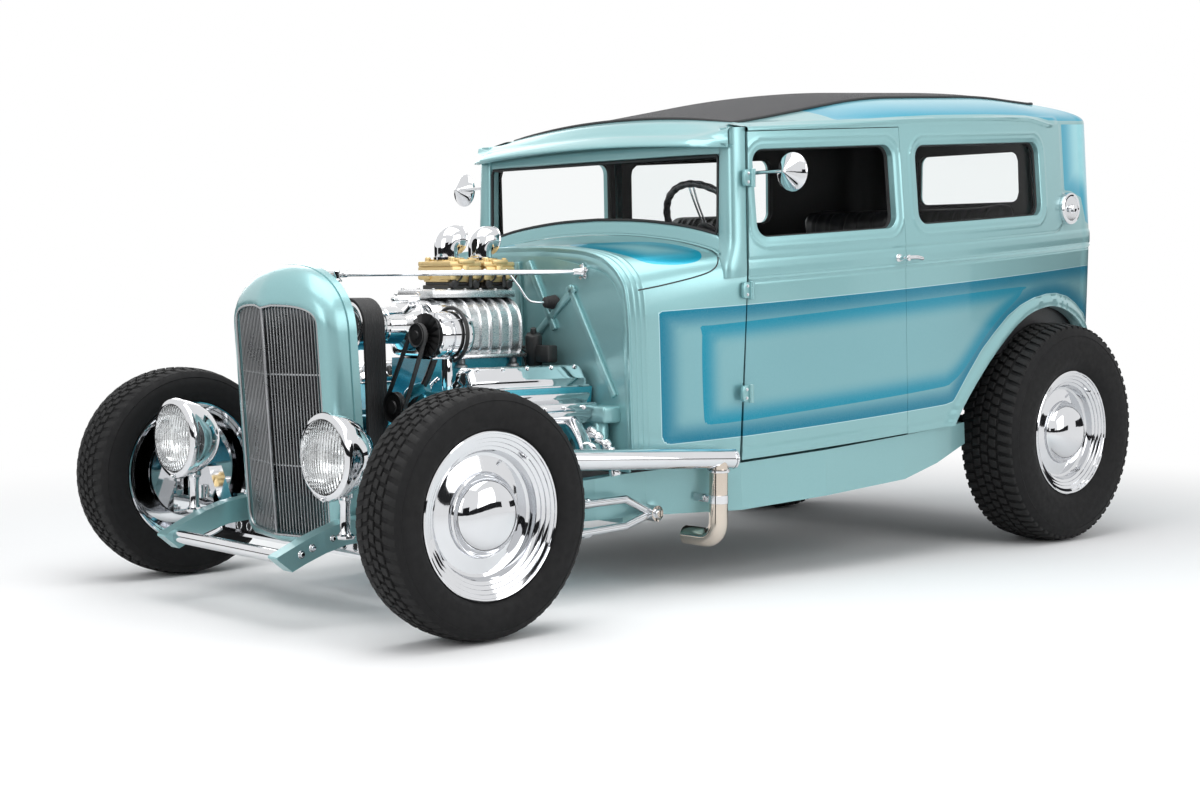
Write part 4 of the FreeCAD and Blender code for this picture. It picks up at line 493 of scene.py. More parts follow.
def build_flake_group():
    """Metallic paint: tiny flakes in the colour and faint orange peel."""
    group, start, end = shader_group("paint_flake", ("Colour", "Roughness", "Normal"), Colour=(0.5, 0.5, 0.5, 1),
                                     Flake=(0.8, 0.8, 0.8, 1), Amount=0.25)
    place = object_place(group)
    cells = node(group, "TexVoronoi", Vector=place, Scale=900.0).outputs["Color"]
    share = math_node(group, "MULTIPLY", ramp(group, cells, From_Min=0.35, From_Max=0.9), start["Amount"])
    link(group, mix_colour(group, share, start["Colour"], start["Flake"]), end["Colour"])
    link(group, ramp(group, noise(group, place, 6.0, 2.0), To_Min=0.26, To_Max=0.34), end["Roughness"])
    bump = node(group, "Bump", Strength=0.12, Distance=0.0002, Height=noise(group, place, 260.0, 1.0))
    link(group, bump.outputs[0], end["Normal"])
    return group


grain_group = build_grain_group()
wear_and_shade_group = build_wear_and_shade_group()
flake_group = build_flake_group()


def finish_of(name, **fixed):
    """A new material, its tree and its main shader with fixed socket values."""
    made = bpy.data.materials.new(name)
    made.use_nodes = True
    shader = made.node_tree.nodes["Principled BSDF"]
    for key, value in fixed.items():
        shader.inputs[key.replace("_", " ")].default_value = value
    return made, made.node_tree, shader


def feed(tree, shader, made, *outputs):
    """Links a group's outputs to the main shader."""
    for title in outputs:
        link(tree, made.outputs[title],
             shader.inputs[{"Colour": "Base Color", "Value": "Roughness"}.get(title, title)])


def use_group(tree, group, **values):
    made = tree.nodes.new("ShaderNodeGroup")
    made.node_tree = group
    for key, value in values.items():
        link(tree, value, made.inputs[key])
    return made


def grained(name, colour, edge, hollow, metallic, low, high, scale=60.0, depth=0.0002, wear=0.4, stretch=(1, 1, 1),
            **fixed):
    """A plain finish with grain, rubbed lighter edges and painted shade in the hollows."""
    made, tree, shader = finish_of(name, Metallic=metallic, **fixed)
    feed(tree, shader, use_group(tree, wear_and_shade_group, Colour=(*colour, 1), Edge=(*edge, 1), Hollow=(*hollow, 1),
                                 Amount=wear), "Colour")
    feed(tree, shader, use_group(tree, grain_group, Scale=scale, Low=low, High=high, Depth=depth, Stretch=stretch),
         "Value", "Normal")
    return made


def grey(level_one, level_two=None):
    """A neutral colour, its blue a little apart where a second level is given."""
    return (level_one, level_one, level_one if level_two is None else level_two)


AQUA = (0.255, 0.465, 0.48)
AQUA_LIGHT = (0.52, 0.76, 0.79)
TEAL_EDGE = (0.0, 0.185, 0.29)
TEAL_SOFT = (0.0, 0.25, 0.37)
BRIGHT_EDGE = (0.0, 0.33, 0.48)
BRIGHT_MIDDLE = (0.3, 0.66, 0.72)


def make_body_paint():
    """Pale metallic aqua with sprayed fades: attributes hold the way in from each fade's edge."""
    made, tree, shader = finish_of("body_paint", Metallic=0.5, Coat_Weight=0.38, Coat_Roughness=0.05,
                                   Specular_IOR_Level=0.25)
    soft = tuple(0.8 * a + 0.2 * b for a, b in zip(AQUA, TEAL_SOFT))
    colour = (*AQUA, 1)
    for title, reach, edge, middle in (("outer_fade", 0.09, TEAL_EDGE, soft), ("inner_fade", 0.08, TEAL_SOFT, soft),
                                       ("bright_fade", 0.11, BRIGHT_EDGE, BRIGHT_MIDDLE)):
        way = node(tree, "Attribute", {"attribute_name": title}).outputs["Fac"]
        along = node(tree, "MapRange", {"interpolation_type": "SMOOTHERSTEP"}, Value=way, From_Max=reach).outputs[0]
        faded = mix_colour(tree, along, (*edge, 1), (*middle, 1))
        if title == "outer_fade":
            faded = mix_colour(tree, ramp(tree, way, From_Min=0.0025, From_Max=0.0034), (*AQUA_LIGHT, 1), faded)
        colour = mix_colour(tree, ramp(tree, way, From_Min=0.0006, From_Max=0.0016), colour, faded)
    feed(tree, shader, use_group(tree, flake_group, Colour=colour, Flake=(*AQUA_LIGHT, 1), Amount=0.07),
         "Colour", "Roughness", "Normal")
    return made


def make_engine_paint():
    made, tree, shader = finish_of("engine_paint", Metallic=0.75, Coat_Weight=1.0, Coat_Roughness=0.05)
    # The hollow colour here is painted shade in the block's recesses.
    worn_and_shaded = use_group(tree, wear_and_shade_group, Colour=(0.004, 0.22, 0.33, 1), Edge=(0.1, 0.55, 0.66, 1),
                     Hollow=(0.0, 0.05, 0.09, 1), Amount=0.55)
    feed(tree, shader, use_group(tree, flake_group, Colour=worn_and_shaded.outputs[0], Flake=(0.15, 0.62, 0.75, 1), Amount=0.35),
         "Colour", "Roughness", "Normal")
    return made


def make_chrome(name, low, high, colour=(0.7, 0.71, 0.73)):
    return grained(name, colour, (0.88, 0.88, 0.88), (0.4, 0.4, 0.4), 1.0, low, high, scale=9.0,
                   depth=0.00002, wear=0.25)


def make_glass():
    """Clear glass with a trace of dust in its roughness."""
    made, tree, shader = finish_of("clear_glass", Transmission_Weight=1.0, Base_Color=(0.93, 0.95, 0.95, 1), IOR=1.1)
    link(tree, ramp(tree, noise(tree, object_place(tree), 5.0, 3.0), To_Max=0.02), shader.inputs["Roughness"])
    return made


def make_weave(name, dark, light, pitch):
    """Woven cloth: two crossed sets of threads in colour and height."""
    made, tree, shader = finish_of(name, Sheen_Weight=0.15)
    place = object_place(tree)
    turns = node(tree, "VectorMath", {"operation": "SCALE"}, i0=place, Scale=2 * pi / pitch).outputs[0]
    parts = node(tree, "SeparateXYZ", Vector=turns).outputs
    threads = math_node(tree, "MULTIPLY", *(math_node(tree, "ABSOLUTE", math_node(tree, "SINE", parts[k]))
                                            for k in (0, 1)))
    mottle = noise(tree, place, 30.0, 4.0)
    share = math_node(tree, "MULTIPLY", threads, mottle)
    link(tree, mix_colour(tree, share, (*dark, 1), (*light, 1)), shader.inputs["Base Color"])
    link(tree, ramp(tree, mottle, To_Min=0.75, To_Max=0.95), shader.inputs["Roughness"])
    bump = node(tree, "Bump", Strength=0.7, Distance=pitch * 0.3, Height=threads)
    link(tree, bump.outputs[0], shader.inputs["Normal"])
    return made


def make_lamp_glass():
    """Lens glass with moulded flutes as bump."""
    made, tree, shader = finish_of("lamp_glass", Transmission_Weight=1.0, Base_Color=(0.97, 0.98, 0.98, 1),
                                   Roughness=0.02, IOR=1.35)
    across = node(tree, "SeparateXYZ", Vector=object_place(tree)).outputs[1]
    flute = math_node(tree, "SINE", math_node(tree, "MULTIPLY", across, 2 * pi / 0.011))
    link(tree, node(tree, "Bump", Strength=0.5, Distance=0.0015, Height=flute).outputs[0], shader.inputs["Normal"])
    return made


body_paint = make_body_paint()
engine_paint = make_engine_paint()
chrome = make_chrome("trim_chrome", 0.03, 0.06)
wheel_chrome = make_chrome("wheel_chrome", 0.03, 0.07)
hot_chrome = make_chrome("heat_tinted_chrome", 0.05, 0.12, (0.66, 0.58, 0.5))
aluminium = grained("polished_aluminium", (0.62, 0.63, 0.64), grey(0.9), (0.22, 0.23, 0.24), 1.0, 0.2, 0.36, 120.0,
                    0.0001, 0.5, (1, 6, 6))
bright_aluminium = grained("bright_aluminium", (0.78, 0.79, 0.8), grey(0.95), grey(0.3), 1.0, 0.05, 0.12, 40.0,
                           0.00005, 0.3)
cast_metal = grained("cast_metal", (0.23, 0.235, 0.24), grey(0.5), grey(0.05), 0.9, 0.4, 0.6, 160.0, 0.0006, 0.6)
grille_steel = grained("grille_steel", (0.4, 0.41, 0.42), (0.62, 0.63, 0.64), grey(0.1, 0.105), 1.0, 0.24, 0.34, 9.0,
                       0.00002, 0.15)
gold_metal = grained("gold_carburettor", (0.62, 0.45, 0.2), (0.9, 0.74, 0.42), (0.2, 0.13, 0.05), 0.85, 0.38, 0.52,
                     220.0, 0.0003, 0.6)
black_steel = grained("black_steel", grey(0.012, 0.013), grey(0.08), grey(0.003), 0.3, 0.3, 0.45, 90.0)
black_plastic = grained("black_plastic", grey(0.012), grey(0.05), grey(0.004), 0.0, 0.4, 0.55, 220.0, wear=0.3)
seal_rubber = grained("seal_rubber", grey(0.016, 0.017), grey(0.04), grey(0.005), 0.0, 0.55, 0.7, 150.0, wear=0.3)
tyre_rubber = grained("tyre_rubber", grey(0.008, 0.0085), grey(0.024), (0.011, 0.01, 0.009), 0.0, 0.62, 0.8, 45.0,
                      0.0004, 0.5, Specular_IOR_Level=0.22)
belt_rubber = grained("belt_rubber", grey(0.015, 0.016), grey(0.05), grey(0.004), 0.0, 0.45, 0.6, 140.0)
core_black = grained("core_black", grey(0.02), grey(0.06), grey(0.004), 0.4, 0.5, 0.7, 300.0, 0.002, 0.3)
leather = grained("black_trim_leather", grey(0.015, 0.017), grey(0.05, 0.055), grey(0.004), 0.0, 0.38, 0.55, 420.0,
                  0.0008, 0.3)
carpet = grained("carpet", grey(0.02, 0.022), grey(0.05), grey(0.006), 0.0, 0.9, 1.0, 900.0, 0.002, 0.2)
rim_plastic = grained("wheel_rim_plastic", grey(0.045, 0.048), grey(0.1), grey(0.01), 0.0, 0.25, 0.35, 60.0, wear=0.2)
red_lens = grained("red_lens", (0.45, 0.006, 0.006), (0.8, 0.1, 0.08), (0.2, 0.0, 0.0), 0.0, 0.06, 0.12, 30.0,
                   wear=0.3, Coat_Weight=1.0)
roof_cloth = make_weave("roof_cloth", (0.016, 0.016, 0.018), (0.06, 0.06, 0.065), 0.003)
clear_glass = make_glass()
lamp_glass = make_lamp_glass()

# The CAD nodes' finishes.
for finish, names in (
        (body_paint, "frame_rails firewall cowl windscreen_frame roof_shell rear_body_shell left_door right_door "
                     "grille_shell door_hinges"),
        (chrome, "spreader_bar front_axle_beam front_spring radius_rods headlamps stay_rods left_door_mirror "
                 "right_door_mirror left_door_handle right_door_handle fuel_filler valve_covers exhaust_headers "
                 "side_pipes left_knuckle right_knuckle tie_rod air_scoops alternator"),
        (engine_paint, "engine_block"), (cast_metal, "gearbox_and_propshaft"),
        (aluminium, "supercharger carburettor_plate"), (gold_metal, "carburettors"), (belt_rubber, "blower_belt"),
        (black_plastic, "distributor"), (core_black, "radiator"), (grille_steel, "grille_insert"),
        (roof_cloth, "roof_insert"), (clear_glass, "glazing"), (lamp_glass, "headlamp_lenses"),
        (red_lens, "tail_lamps"), (carpet, "floor_pan"), (leather, "front_seats rear_seat dashboard"),
        (black_steel, "rear_axle trailing_arms rear_dampers steering_column"), (rim_plastic, "steering_wheel"),
        (tyre_rubber, "front_left_tyre front_right_tyre rear_left_tyre rear_right_tyre"),
        (wheel_chrome, "front_left_wheel front_right_wheel rear_left_wheel rear_right_wheel")):
    for node_name in names.split():
        cad_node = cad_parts[node_name]
        if not cad_node.data.materials:
            cad_node.data.materials.append(finish)
        for slot in cad_node.material_slots:
            slot.material = finish


def background_rays(tree):
    """1 for the rays that show the white background: seen, through glass and in metal."""
    rays = node(tree, "LightPath").outputs
    seen = math_node(tree, "MAXIMUM", rays["Is Camera Ray"], rays["Is Transmission Ray"])
    return math_node(tree, "MAXIMUM", seen, rays["Is Glossy Ray"])


def make_floor_white():
    """A pale floor that fades to the white backdrop away from the car's shadow."""
    made, tree, shader = finish_of("floor_white", Roughness=0.9, Base_Color=(0.86, 0.86, 0.86, 1),
                                   Specular_IOR_Level=0.1)
    away = node(tree, "VectorMath", {"operation": "LENGTH"}, Vector=object_place(tree)).outputs["Value"]
    far = node(tree, "MapRange", {"interpolation_type": "SMOOTHSTEP"}, Value=away, From_Min=2.1, From_Max=4.2)
    share = math_node(tree, "MULTIPLY", far.outputs[0], background_rays(tree))
    glow = node(tree, "Emission", Color=(1, 1, 1, 1), Strength=1.0)
    blend = node(tree, "MixShader", Fac=share)
    tree.links.new(shader.outputs[0], blend.inputs[1])
    tree.links.new(glow.outputs[0], blend.inputs[2])
    out = next(n for n in tree.nodes if n.type == "OUTPUT_MATERIAL")
    tree.links.new(blend.outputs[0], out.inputs["Surface"])
    return made


# Camera, floor, light. The camera's focal length is in pixels of the 1200 pixel wide photo.
FOCAL_PIXELS = 1836.2


def flat_card(name, material, wide, high, place=(0, 0, 0), way=(0, 0, 1)):
    """A flat staging card."""
    card = surface(1, 1, lambda i, j: Vector(((i - 0.5) * wide, (j - 0.5) * high, 0)))
    item = object_of(aim(card, place, way), name, material)
    return item


def make_studio():
    scene = bpy.context.scene
    scene.view_settings.view_transform = "Standard"
    lens = bpy.data.cameras.new("camera")
    lens.sensor_width = 36.0
    lens.lens = 36.0 * FOCAL_PIXELS / 1200
    lens.clip_end = 200
    camera = bpy.data.objects.new("camera", lens)
    scene.collection.objects.link(camera)
    camera.location = level(2.931, 4.399, 0.919)
    yaw, pitch, roll = radians(227.371), radians(-3.686), radians(-0.09)
    look = Vector((cos(yaw) * cos(pitch), sin(yaw) * cos(pitch), sin(pitch)))
    camera.rotation_mode = "QUATERNION"
    camera.rotation_quaternion = look.to_track_quat("-Z", "Y") @ Matrix.Rotation(-roll, 3, "Z").to_quaternion()
    scene.camera = camera

    scene.world = bpy.data.worlds.new("studio")
    scene.world.use_nodes = True
    tree = scene.world.node_tree
    backdrop = tree.nodes["Background"].inputs
    seen = background_rays(tree)
    link(tree, mix_colour(tree, seen, (0.86, 0.88, 0.9, 1), (1, 1, 1, 1)), backdrop["Color"])
    link(tree, ramp(tree, seen, To_Min=0.62), backdrop["Strength"])

    for name, place, size, power in (("top_light", (1.0, 0.5, 4.6), 4.2, 150),
                                     ("left_light", (-0.5, 5.2, 2.6), 3.4, 90),
                                     ("front_light", (5.4, 1.2, 2.4), 2.6, 60),
                                     ("right_light", (-1.0, -5.0, 3.0), 3.0, 50)):
        light = bpy.data.lights.new(name, "AREA")
        light.size = size
        light.energy = power
        item = bpy.data.objects.new(name, light)
        item.location = place
        item.rotation_mode = "QUATERNION"
        item.rotation_quaternion = (Vector((0, 0, 0.6)) - Vector(place)).to_track_quat("-Z", "Y")
        scene.collection.objects.link(item)

    flat_card("floor", make_floor_white(), 60, 60)
    dark = finish_of("dark_card", Roughness=1.0, Base_Color=(0.01, 0.01, 0.012, 1))[0]
    for name, place, wide, high in (("side", (0.5, 8.0, 0.9), 14.0, 1.1), ("front", (9.0, 0.0, 0.9), 12.0, 1.1),
                                    ("rear", (-9.0, 0.0, 0.9), 12.0, 1.1), ("far", (0.5, -8.0, 0.9), 14.0, 1.1),
                                    ("corner", (6.5, 6.5, 1.6), 4.0, 2.4)):
        item = flat_card("dark_card_" + name, dark, wide, high, place, Vector((0, 0, 0.9)) - Vector(place))
        item.visible_camera = item.visible_diffuse = item.visible_shadow = item.visible_transmission = False


# Ignition leads: from the distributor's towers over to the looms beside it.
def make_leads():
    for side, name in ((1, "left"), (-1, "right")):
        for k in range(4):
            turn = radians(45 * k + (0 if side > 0 else 180))
            x, y = -0.741 + 0.026 * cos(turn), 0.026 * sin(turn)
            end_x, out = -0.716 - 0.016 * k, 0.004 * k
            route = [(x, y, 0.672), (x, y, 0.69), (x + 0.003 * k, y + side * 0.008, 0.706 + 0.003 * k),
                     (end_x, side * 0.06, 0.712 + 0.003 * k), (end_x, side * (0.088 + out), 0.698),
                     (end_x, side * (0.1 + out), 0.672), (end_x, side * (0.103 + out), 0.647)]
            data = bpy.data.curves.new(f"{name}_lead_{k + 1}", "CURVE")
            data.dimensions = "3D"
            spline = data.splines.new("NURBS")
            spline.points.add(len(route) - 1)
            for point, place in zip(spline.points, route):
                point.co = (*level(*place), 1)
            spline.order_u = 3
            spline.use_endpoint_u = True
            lead = bpy.data.objects.new(data.name, data)
            bpy.context.scene.collection.objects.link(lead)
            line = bpy.data.meshes.new_from_object(lead)
            bpy.data.meshes.remove(line)
            data.bevel_depth = 0.0035
            data.bevel_resolution = 3
            data.materials.append(black_plastic)
            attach(lead, "chassis")
            level(*route[0])


# Body shape, read from the plan arc of the sides, the tail's corner and the roof's crown.
SILL, BELT, DRIP = 0.294, 0.875, 1.288
DOOR_FRONT, DOOR_REAR = 1.178, 1.885
SEAM = 0.0025
CORNER = 0.15
CORNER_START = 3.0
TAIL_HALF = 0.454
TAIL_REACH = CORNER_START + CORNER * pi / 2 + TAIL_HALF
LEVELS = (0.274, BELT, DRIP)


def circle_through(a, b, c):
    d = 2 * (a[0] * (b[1] - c[1]) + b[0] * (c[1] - a[1]) + c[0] * (a[1] - b[1]))
    x, y = (sum((p[0] ** 2 + p[1] ** 2) * k for p, k in zip((a, b, c), ks)) / d
            for ks in ((b[1] - c[1], c[1] - a[1], a[1] - b[1]), (c[0] - b[0], a[0] - c[0], b[0] - a[0])))
    return x, y, hypot(a[0] - x, a[1] - y)


side_arc = circle_through((1.1, 0.594), (1.93, 0.697), (3.046, 0.604))


def side_half(u, w):
    tuck = between(w, LEVELS, (0.014, 0.0, 0.018))
    return side_arc[1] + sqrt(side_arc[2] ** 2 - (u - side_arc[0]) ** 2) - tuck


def plan_point(s, w):
    """(u, y) of the body's outline at level w, s along it from the cowl to the middle of the tail."""
    tail = between(w, LEVELS, (3.14, 3.196, 3.211))
    end = tail - CORNER
    if s <= CORNER_START:
        u = s if s <= 2.8 else 2.8 + (s - 2.8) / (CORNER_START - 2.8) * (end - 2.8)
        return u, side_half(u, w)
    edge = side_half(end, w) - CORNER
    turn = (s - CORNER_START) / CORNER
    if turn <= pi / 2:
        return end + CORNER * sin(turn), edge + CORNER * cos(turn)
    share = 1 - (s - CORNER_START - CORNER * pi / 2) / TAIL_HALF
    return tail + 0.012 * (1 - share * share), edge * share


def skin_place(base):
    """Turns (s, w, depth) into a place: depth goes inward from the surface that base(s, w) gives."""

    def place(s, w, depth):
        step = 0.002
        here = base(s, w)
        along = base(s + step, w) - base(s - step, w)
        up = base(s, w + step) - base(s, w - step)
        out = along.cross(up).normalized()
        return here - out * depth

    return place


def side_base(s, w):
    """The left body side and tail; s past the tail's middle runs on mirrored."""
    if s > TAIL_REACH:
        mirrored = side_base(2 * TAIL_REACH - s, w)
        return Vector((mirrored.x, -mirrored.y, mirrored.z))
    u, y = plan_point(s, w)
    return raked(u, y, w)


side_place = skin_place(side_base)

# Windows: (start, end, foot, top, corner radius), along the body and up.
DOOR_WINDOW = (1.262, 1.85, 0.966, 1.234, 0.042)
QUARTER_WINDOW = (1.958, 2.712, 0.97, 1.229, 0.045)
BACK_WINDOW = (TAIL_REACH - 0.25, TAIL_REACH + 0.25, 1.004, 1.209, 0.042)
door_window = rounded_box_distance(*DOOR_WINDOW)
quarter_window = rounded_box_distance(*QUARTER_WINDOW)
back_window = rounded_box_distance(*BACK_WINDOW)
raised_panel = rounded_box_distance(0.9, 2.868, 0.904, 1.62, 0.07)
arch_points = mm(2098, 200, 2108, 262, 2131, 306, 2177, 358, 2249, 425, 2341, 498, 2438, 561, 2506, 597, 2590, 628,
                 2687, 643, 2781, 642, 2864, 623, 2942, 591, 3010, 545, 3075, 475, 3115, 390, 3135, 300, 3140, 200)
arch_distance = outline_distance(smooth_outline(arch_points, 4))

outer_points = ([(0.93, 0.77), (0.93, 0.366)] + mm(2080, 366, 2125, 372, 2216, 462, 2293, 531, 2373, 583, 2457, 631,
                                                   2544, 662, 2635, 680, 2733, 687, 2809, 684, 2890, 666, 2961, 634,
                                                   3030, 590, 3100, 520, 3130, 470, 3160, 470, 3160, 772))
outer_distance = outline_distance(outer_points)
inner_points = mm(1062, 700, 1062, 430, 1080, 414, 1400, 419, 2020, 427, 2110, 436, 2191, 478, 2311, 572, 2407, 632,
                  2528, 690, 2556, 712, 2545, 729, 1900, 728, 1090, 716)
inner_distance = outline_distance(smooth_outline(inner_points, 4))
corner_fade = outline_distance(mm(2884, 1620, 2884, 1050, 2930, 1046, 3000, 1020, 3030, 930, 3100, 910, 3120, 910,
                                  3120, 1620))


def border(distance, x, y, offset=0.03):
    """The raised border bead round a window, and the rounded edge of the opening."""
    d = distance(x, y)
    return 0.0028 * bead(d + offset, 0.006) - 0.003 * rise(d, -0.012, 0.0)


def side_relief(s, w):
    """How far the pressed shapes of the body side stand out."""
    mirrored = s if s <= TAIL_REACH else 2 * TAIL_REACH - s
    out = 0.0
    if 1.2 < mirrored < 1.9 and w > 0.9:
        out += border(door_window, mirrored, w)
    if 1.9 < mirrored < 2.8 and w > 0.9:
        out += border(quarter_window, mirrored, w)
    if mirrored > 3.3 and w > 0.95:
        out += border(back_window, s, w, 0.022)
    panel = raised_panel(mirrored, w)
    out += 0.005 * rise(panel, -0.004, 0.006)
    out += 0.005 * rise(w, 0.848, 0.856) * (1 - rise(w, 0.895, 0.905)) * 0.6
    out += 0.004 * bead(w - 0.8435, 0.007) - 0.0015 * bead(w - 0.833, 0.004)
    out += 0.0025 * bead(w - (SILL + 0.032), 0.006)
    if w < 0.75 and mirrored > 2.0:
        d = -arch_distance(mirrored, w)
        out += 0.009 * (1 - rise(d, 0.026, 0.036)) + 0.003 * bead(d - 0.008, 0.007)
    return out


def low_fade(distance):
    """A fade of the lower body side, the same on both sides of the tail."""
    return lambda s, w: distance(min(s, 2 * TAIL_REACH - s), w) if w < 0.8 else 0.0


def fade_layers(mesh):
    return [mesh.verts.layers.float.new(title) for title in ("outer_fade", "inner_fade", "bright_fade")]


def finish_panel(mesh, place, relief, fades=(None, None, None)):
    """Writes the fades, then moves a flat panel to its place with its relief."""
    layers = fade_layers(mesh)
    for v in mesh.verts:
        x, y, depth = v.co
        for layer, fade in zip(layers, fades):
            v[layer] = fade(x, y) if fade else 0.0
        near = max(0.0, 1 - depth / 0.012)
        v.co = place(x, y, depth - relief(x, y) * near)
    return mesh


def trim_edges(mesh, depths, where):
    """Turns open edges that where(edge) picks inward, as a folded panel edge."""
    rim = [e for e in mesh.edges if e.is_boundary and where(e)]
    for depth in depths:
        rim = fold(mesh, rim, lambda v: setattr(v.co, "z", depth))
    return mesh


seam_lean = tan(rake)


def make_doors():
    across = stations((DOOR_FRONT - 0.02, 1.2, 0.02), (1.2, 1.31, 0.005), (1.31, 1.8, 0.02), (1.8, DOOR_REAR, 0.005))
    up = stations((SILL, 0.36, 0.006), (0.36, 0.78, 0.015), (0.78, 0.82, 0.008), (0.82, 0.912, 0.003),
                  (0.912, 1.02, 0.005), (1.02, 1.19, 0.016), (1.19, DRIP, 0.005))
    base = flat_panel(across, up)
    for place, way in (((DOOR_FRONT + SEAM, SILL, 0), (-1, seam_lean, 0)), ((DOOR_REAR - SEAM, 0, 0), (1, 0, 0)),
                       ((0, SILL + SEAM, 0), (0, -1, 0)), ((0, DRIP - SEAM, 0), (0, 1, 0))):
        slice_off(base, place, way)
    outside = {e for e in base.edges if e.is_boundary}
    cut_out(base, door_window, (0.0015, 0.03), 0.0015)
    trim_edges(base, (0.0012, 0.036), lambda e: e in outside)
    finish_panel(base, side_place, side_relief, (low_fade(outer_distance), low_fade(inner_distance), None))
    lining = flat_panel(stations((DOOR_FRONT + 0.02, DOOR_REAR - 0.012, 0.02)),
                        stations((SILL + 0.012, DRIP - 0.012, 0.02)))
    slice_off(lining, (DOOR_FRONT + 0.014, SILL, 0), (-1, seam_lean, 0))
    cut_out(lining, door_window, (-0.01,))
    for v in lining.verts:
        s, w, depth = v.co
        pleat = 0.005 * abs(sin(s * pi / 0.07)) if 0.42 < w < 0.86 else 0.0
        v.co = side_place(s, w, 0.036 + depth + pleat)
    runs = bmesh.new()
    for depth in (0.0235, 0.0295):
        add(runs, window_seal(DOOR_WINDOW, depth, 0.0035))
    for side, sign in (("left", 1), ("right", -1)):
        for source, title, material, stands_for in (
                (base, "door_skin", body_paint, side + "_door"), (lining, "door_lining", leather, ""),
                (runs, "door_window_seal", seal_rubber, "")):
            piece(copy_of(source, Matrix.Scale(sign, 4, (0, 1, 0))), f"{side}_{title}", material, stands_for,
                  body=side + "_door")
    for source in (base, lining, runs):
        source.free()


def window_ring(x0, x1, y0, y1, radius, inset):
    """Points round a rounded window outline, inset from it."""
    x0, x1, y0, y1, radius = x0 + inset, x1 - inset, y0 + inset, y1 - inset, radius - inset
    ring = []
    for cx, cy, start in ((x1 - radius, y1 - radius, 0), (x0 + radius, y1 - radius, 90),
                          (x0 + radius, y0 + radius, 180), (x1 - radius, y0 + radius, 270)):
        ring += [(cx + radius * cos(radians(start + 15 * k)), cy + radius * sin(radians(start + 15 * k)))
                 for k in range(7)]
    return ring


def window_seal(window, depth, radius):
    """A thin seal round a window of the body's side."""
    return loop_tube([side_place(s, w, depth) for s, w in window_ring(*window, 0.002)], radius, 6)


def loop_tube(ring, radius, sides=8):
    """A closed tube round a ring of places."""
    ring = [Vector(p) for p in ring]
    count = len(ring)
    middle = sum(ring, Vector()) / count
    flat = sum(((ring[k] - middle).cross(ring[(k + 1) % count] - middle) for k in range(count)),
               Vector()).normalized()

    def point(i, j):
        k = j % count
        along = (ring[(k + 1) % count] - ring[k - 1]).normalized()
        out = along.cross(flat).normalized()
        up = out.cross(along)
        angle = 2 * pi * i / sides
        return ring[k] + (out * cos(angle) + up * sin(angle)) * radius

    return surface(sides, count, point)


def roof_crown(u):
    """The roof's height along its middle, its bends rounded over a short way."""
    return sum(between(u + 0.035 * k, (1.08, 1.285, 1.93, 2.692, 3.06, 3.251),
                       (1.33, 1.35, 1.434, 1.434, 1.412, 1.392)) for k in range(-4, 5)) / 9


def roof_height(u, y, share):
    """The roof's height where share is 0 in the middle and 1 at the drip line."""
    top = roof_crown(u) - 0.026 * (y / 0.52) ** 2
    return DRIP + (top - DRIP) * max(0.0, 1 - share ** 2.7) ** (1 / 2.7)


INSERT_FRONT, INSERT_REAR = 1.285, 3.06


def insert_point(s):
    """The roof cloth's outline seen from above, opposite s on the body's outline."""
    half = lambda u: 0.515 - 0.085 * (u - INSERT_FRONT) / (INSERT_REAR - INSERT_FRONT)
    radius = 0.1
    if s <= CORNER_START - 0.04:
        u = INSERT_FRONT + (INSERT_REAR - radius - INSERT_FRONT) * (s - INSERT_FRONT) / (CORNER_START - 0.04
                                                                                         - INSERT_FRONT)
        return u, half(u)
    turn = min(1.0, (s - CORNER_START + 0.04) / (CORNER * pi / 2 + 0.08)) * pi / 2
    end = INSERT_REAR - radius
    edge = half(end) - radius
    if turn < pi / 2:
        return end + radius * sin(turn), edge + radius * cos(turn)
    share = (TAIL_REACH - s) / (TAIL_REACH - CORNER_START - CORNER * pi / 2 - 0.04)
    return INSERT_REAR, edge * max(0.0, share)


def roof_base(s, q):
    """The roof's side from the drip line (q 0) to the cloth's edge (q 1)."""
    if s > TAIL_REACH:
        mirrored = roof_base(2 * TAIL_REACH - s, q)
        return Vector((mirrored.x, -mirrored.y, mirrored.z))
    bu, by = plan_point(s, DRIP)
    iu, iy = insert_point(s)
    start = hypot(iu - 2.5, iy) / hypot(bu - 2.5, by) if bu > 2.5 else iy / by
    rho_end = max(0.6, min(0.93, start))
    limit = atan2(sqrt(1 - rho_end ** 2.7), sqrt(rho_end ** 2.7))
    angle = limit * max(q, 0.0) ** 1.35
    rho = cos(angle) ** (2 / 2.7)
    share = (1 - rho) / (1 - rho_end)
    u, y = bu + (iu - bu) * share, by + (iy - by) * share
    top = roof_crown(u) - 0.026 * (y / 0.52) ** 2
    w = DRIP + (top - DRIP) * sin(angle) ** (2 / 2.7)
    return raked(u, y, w)


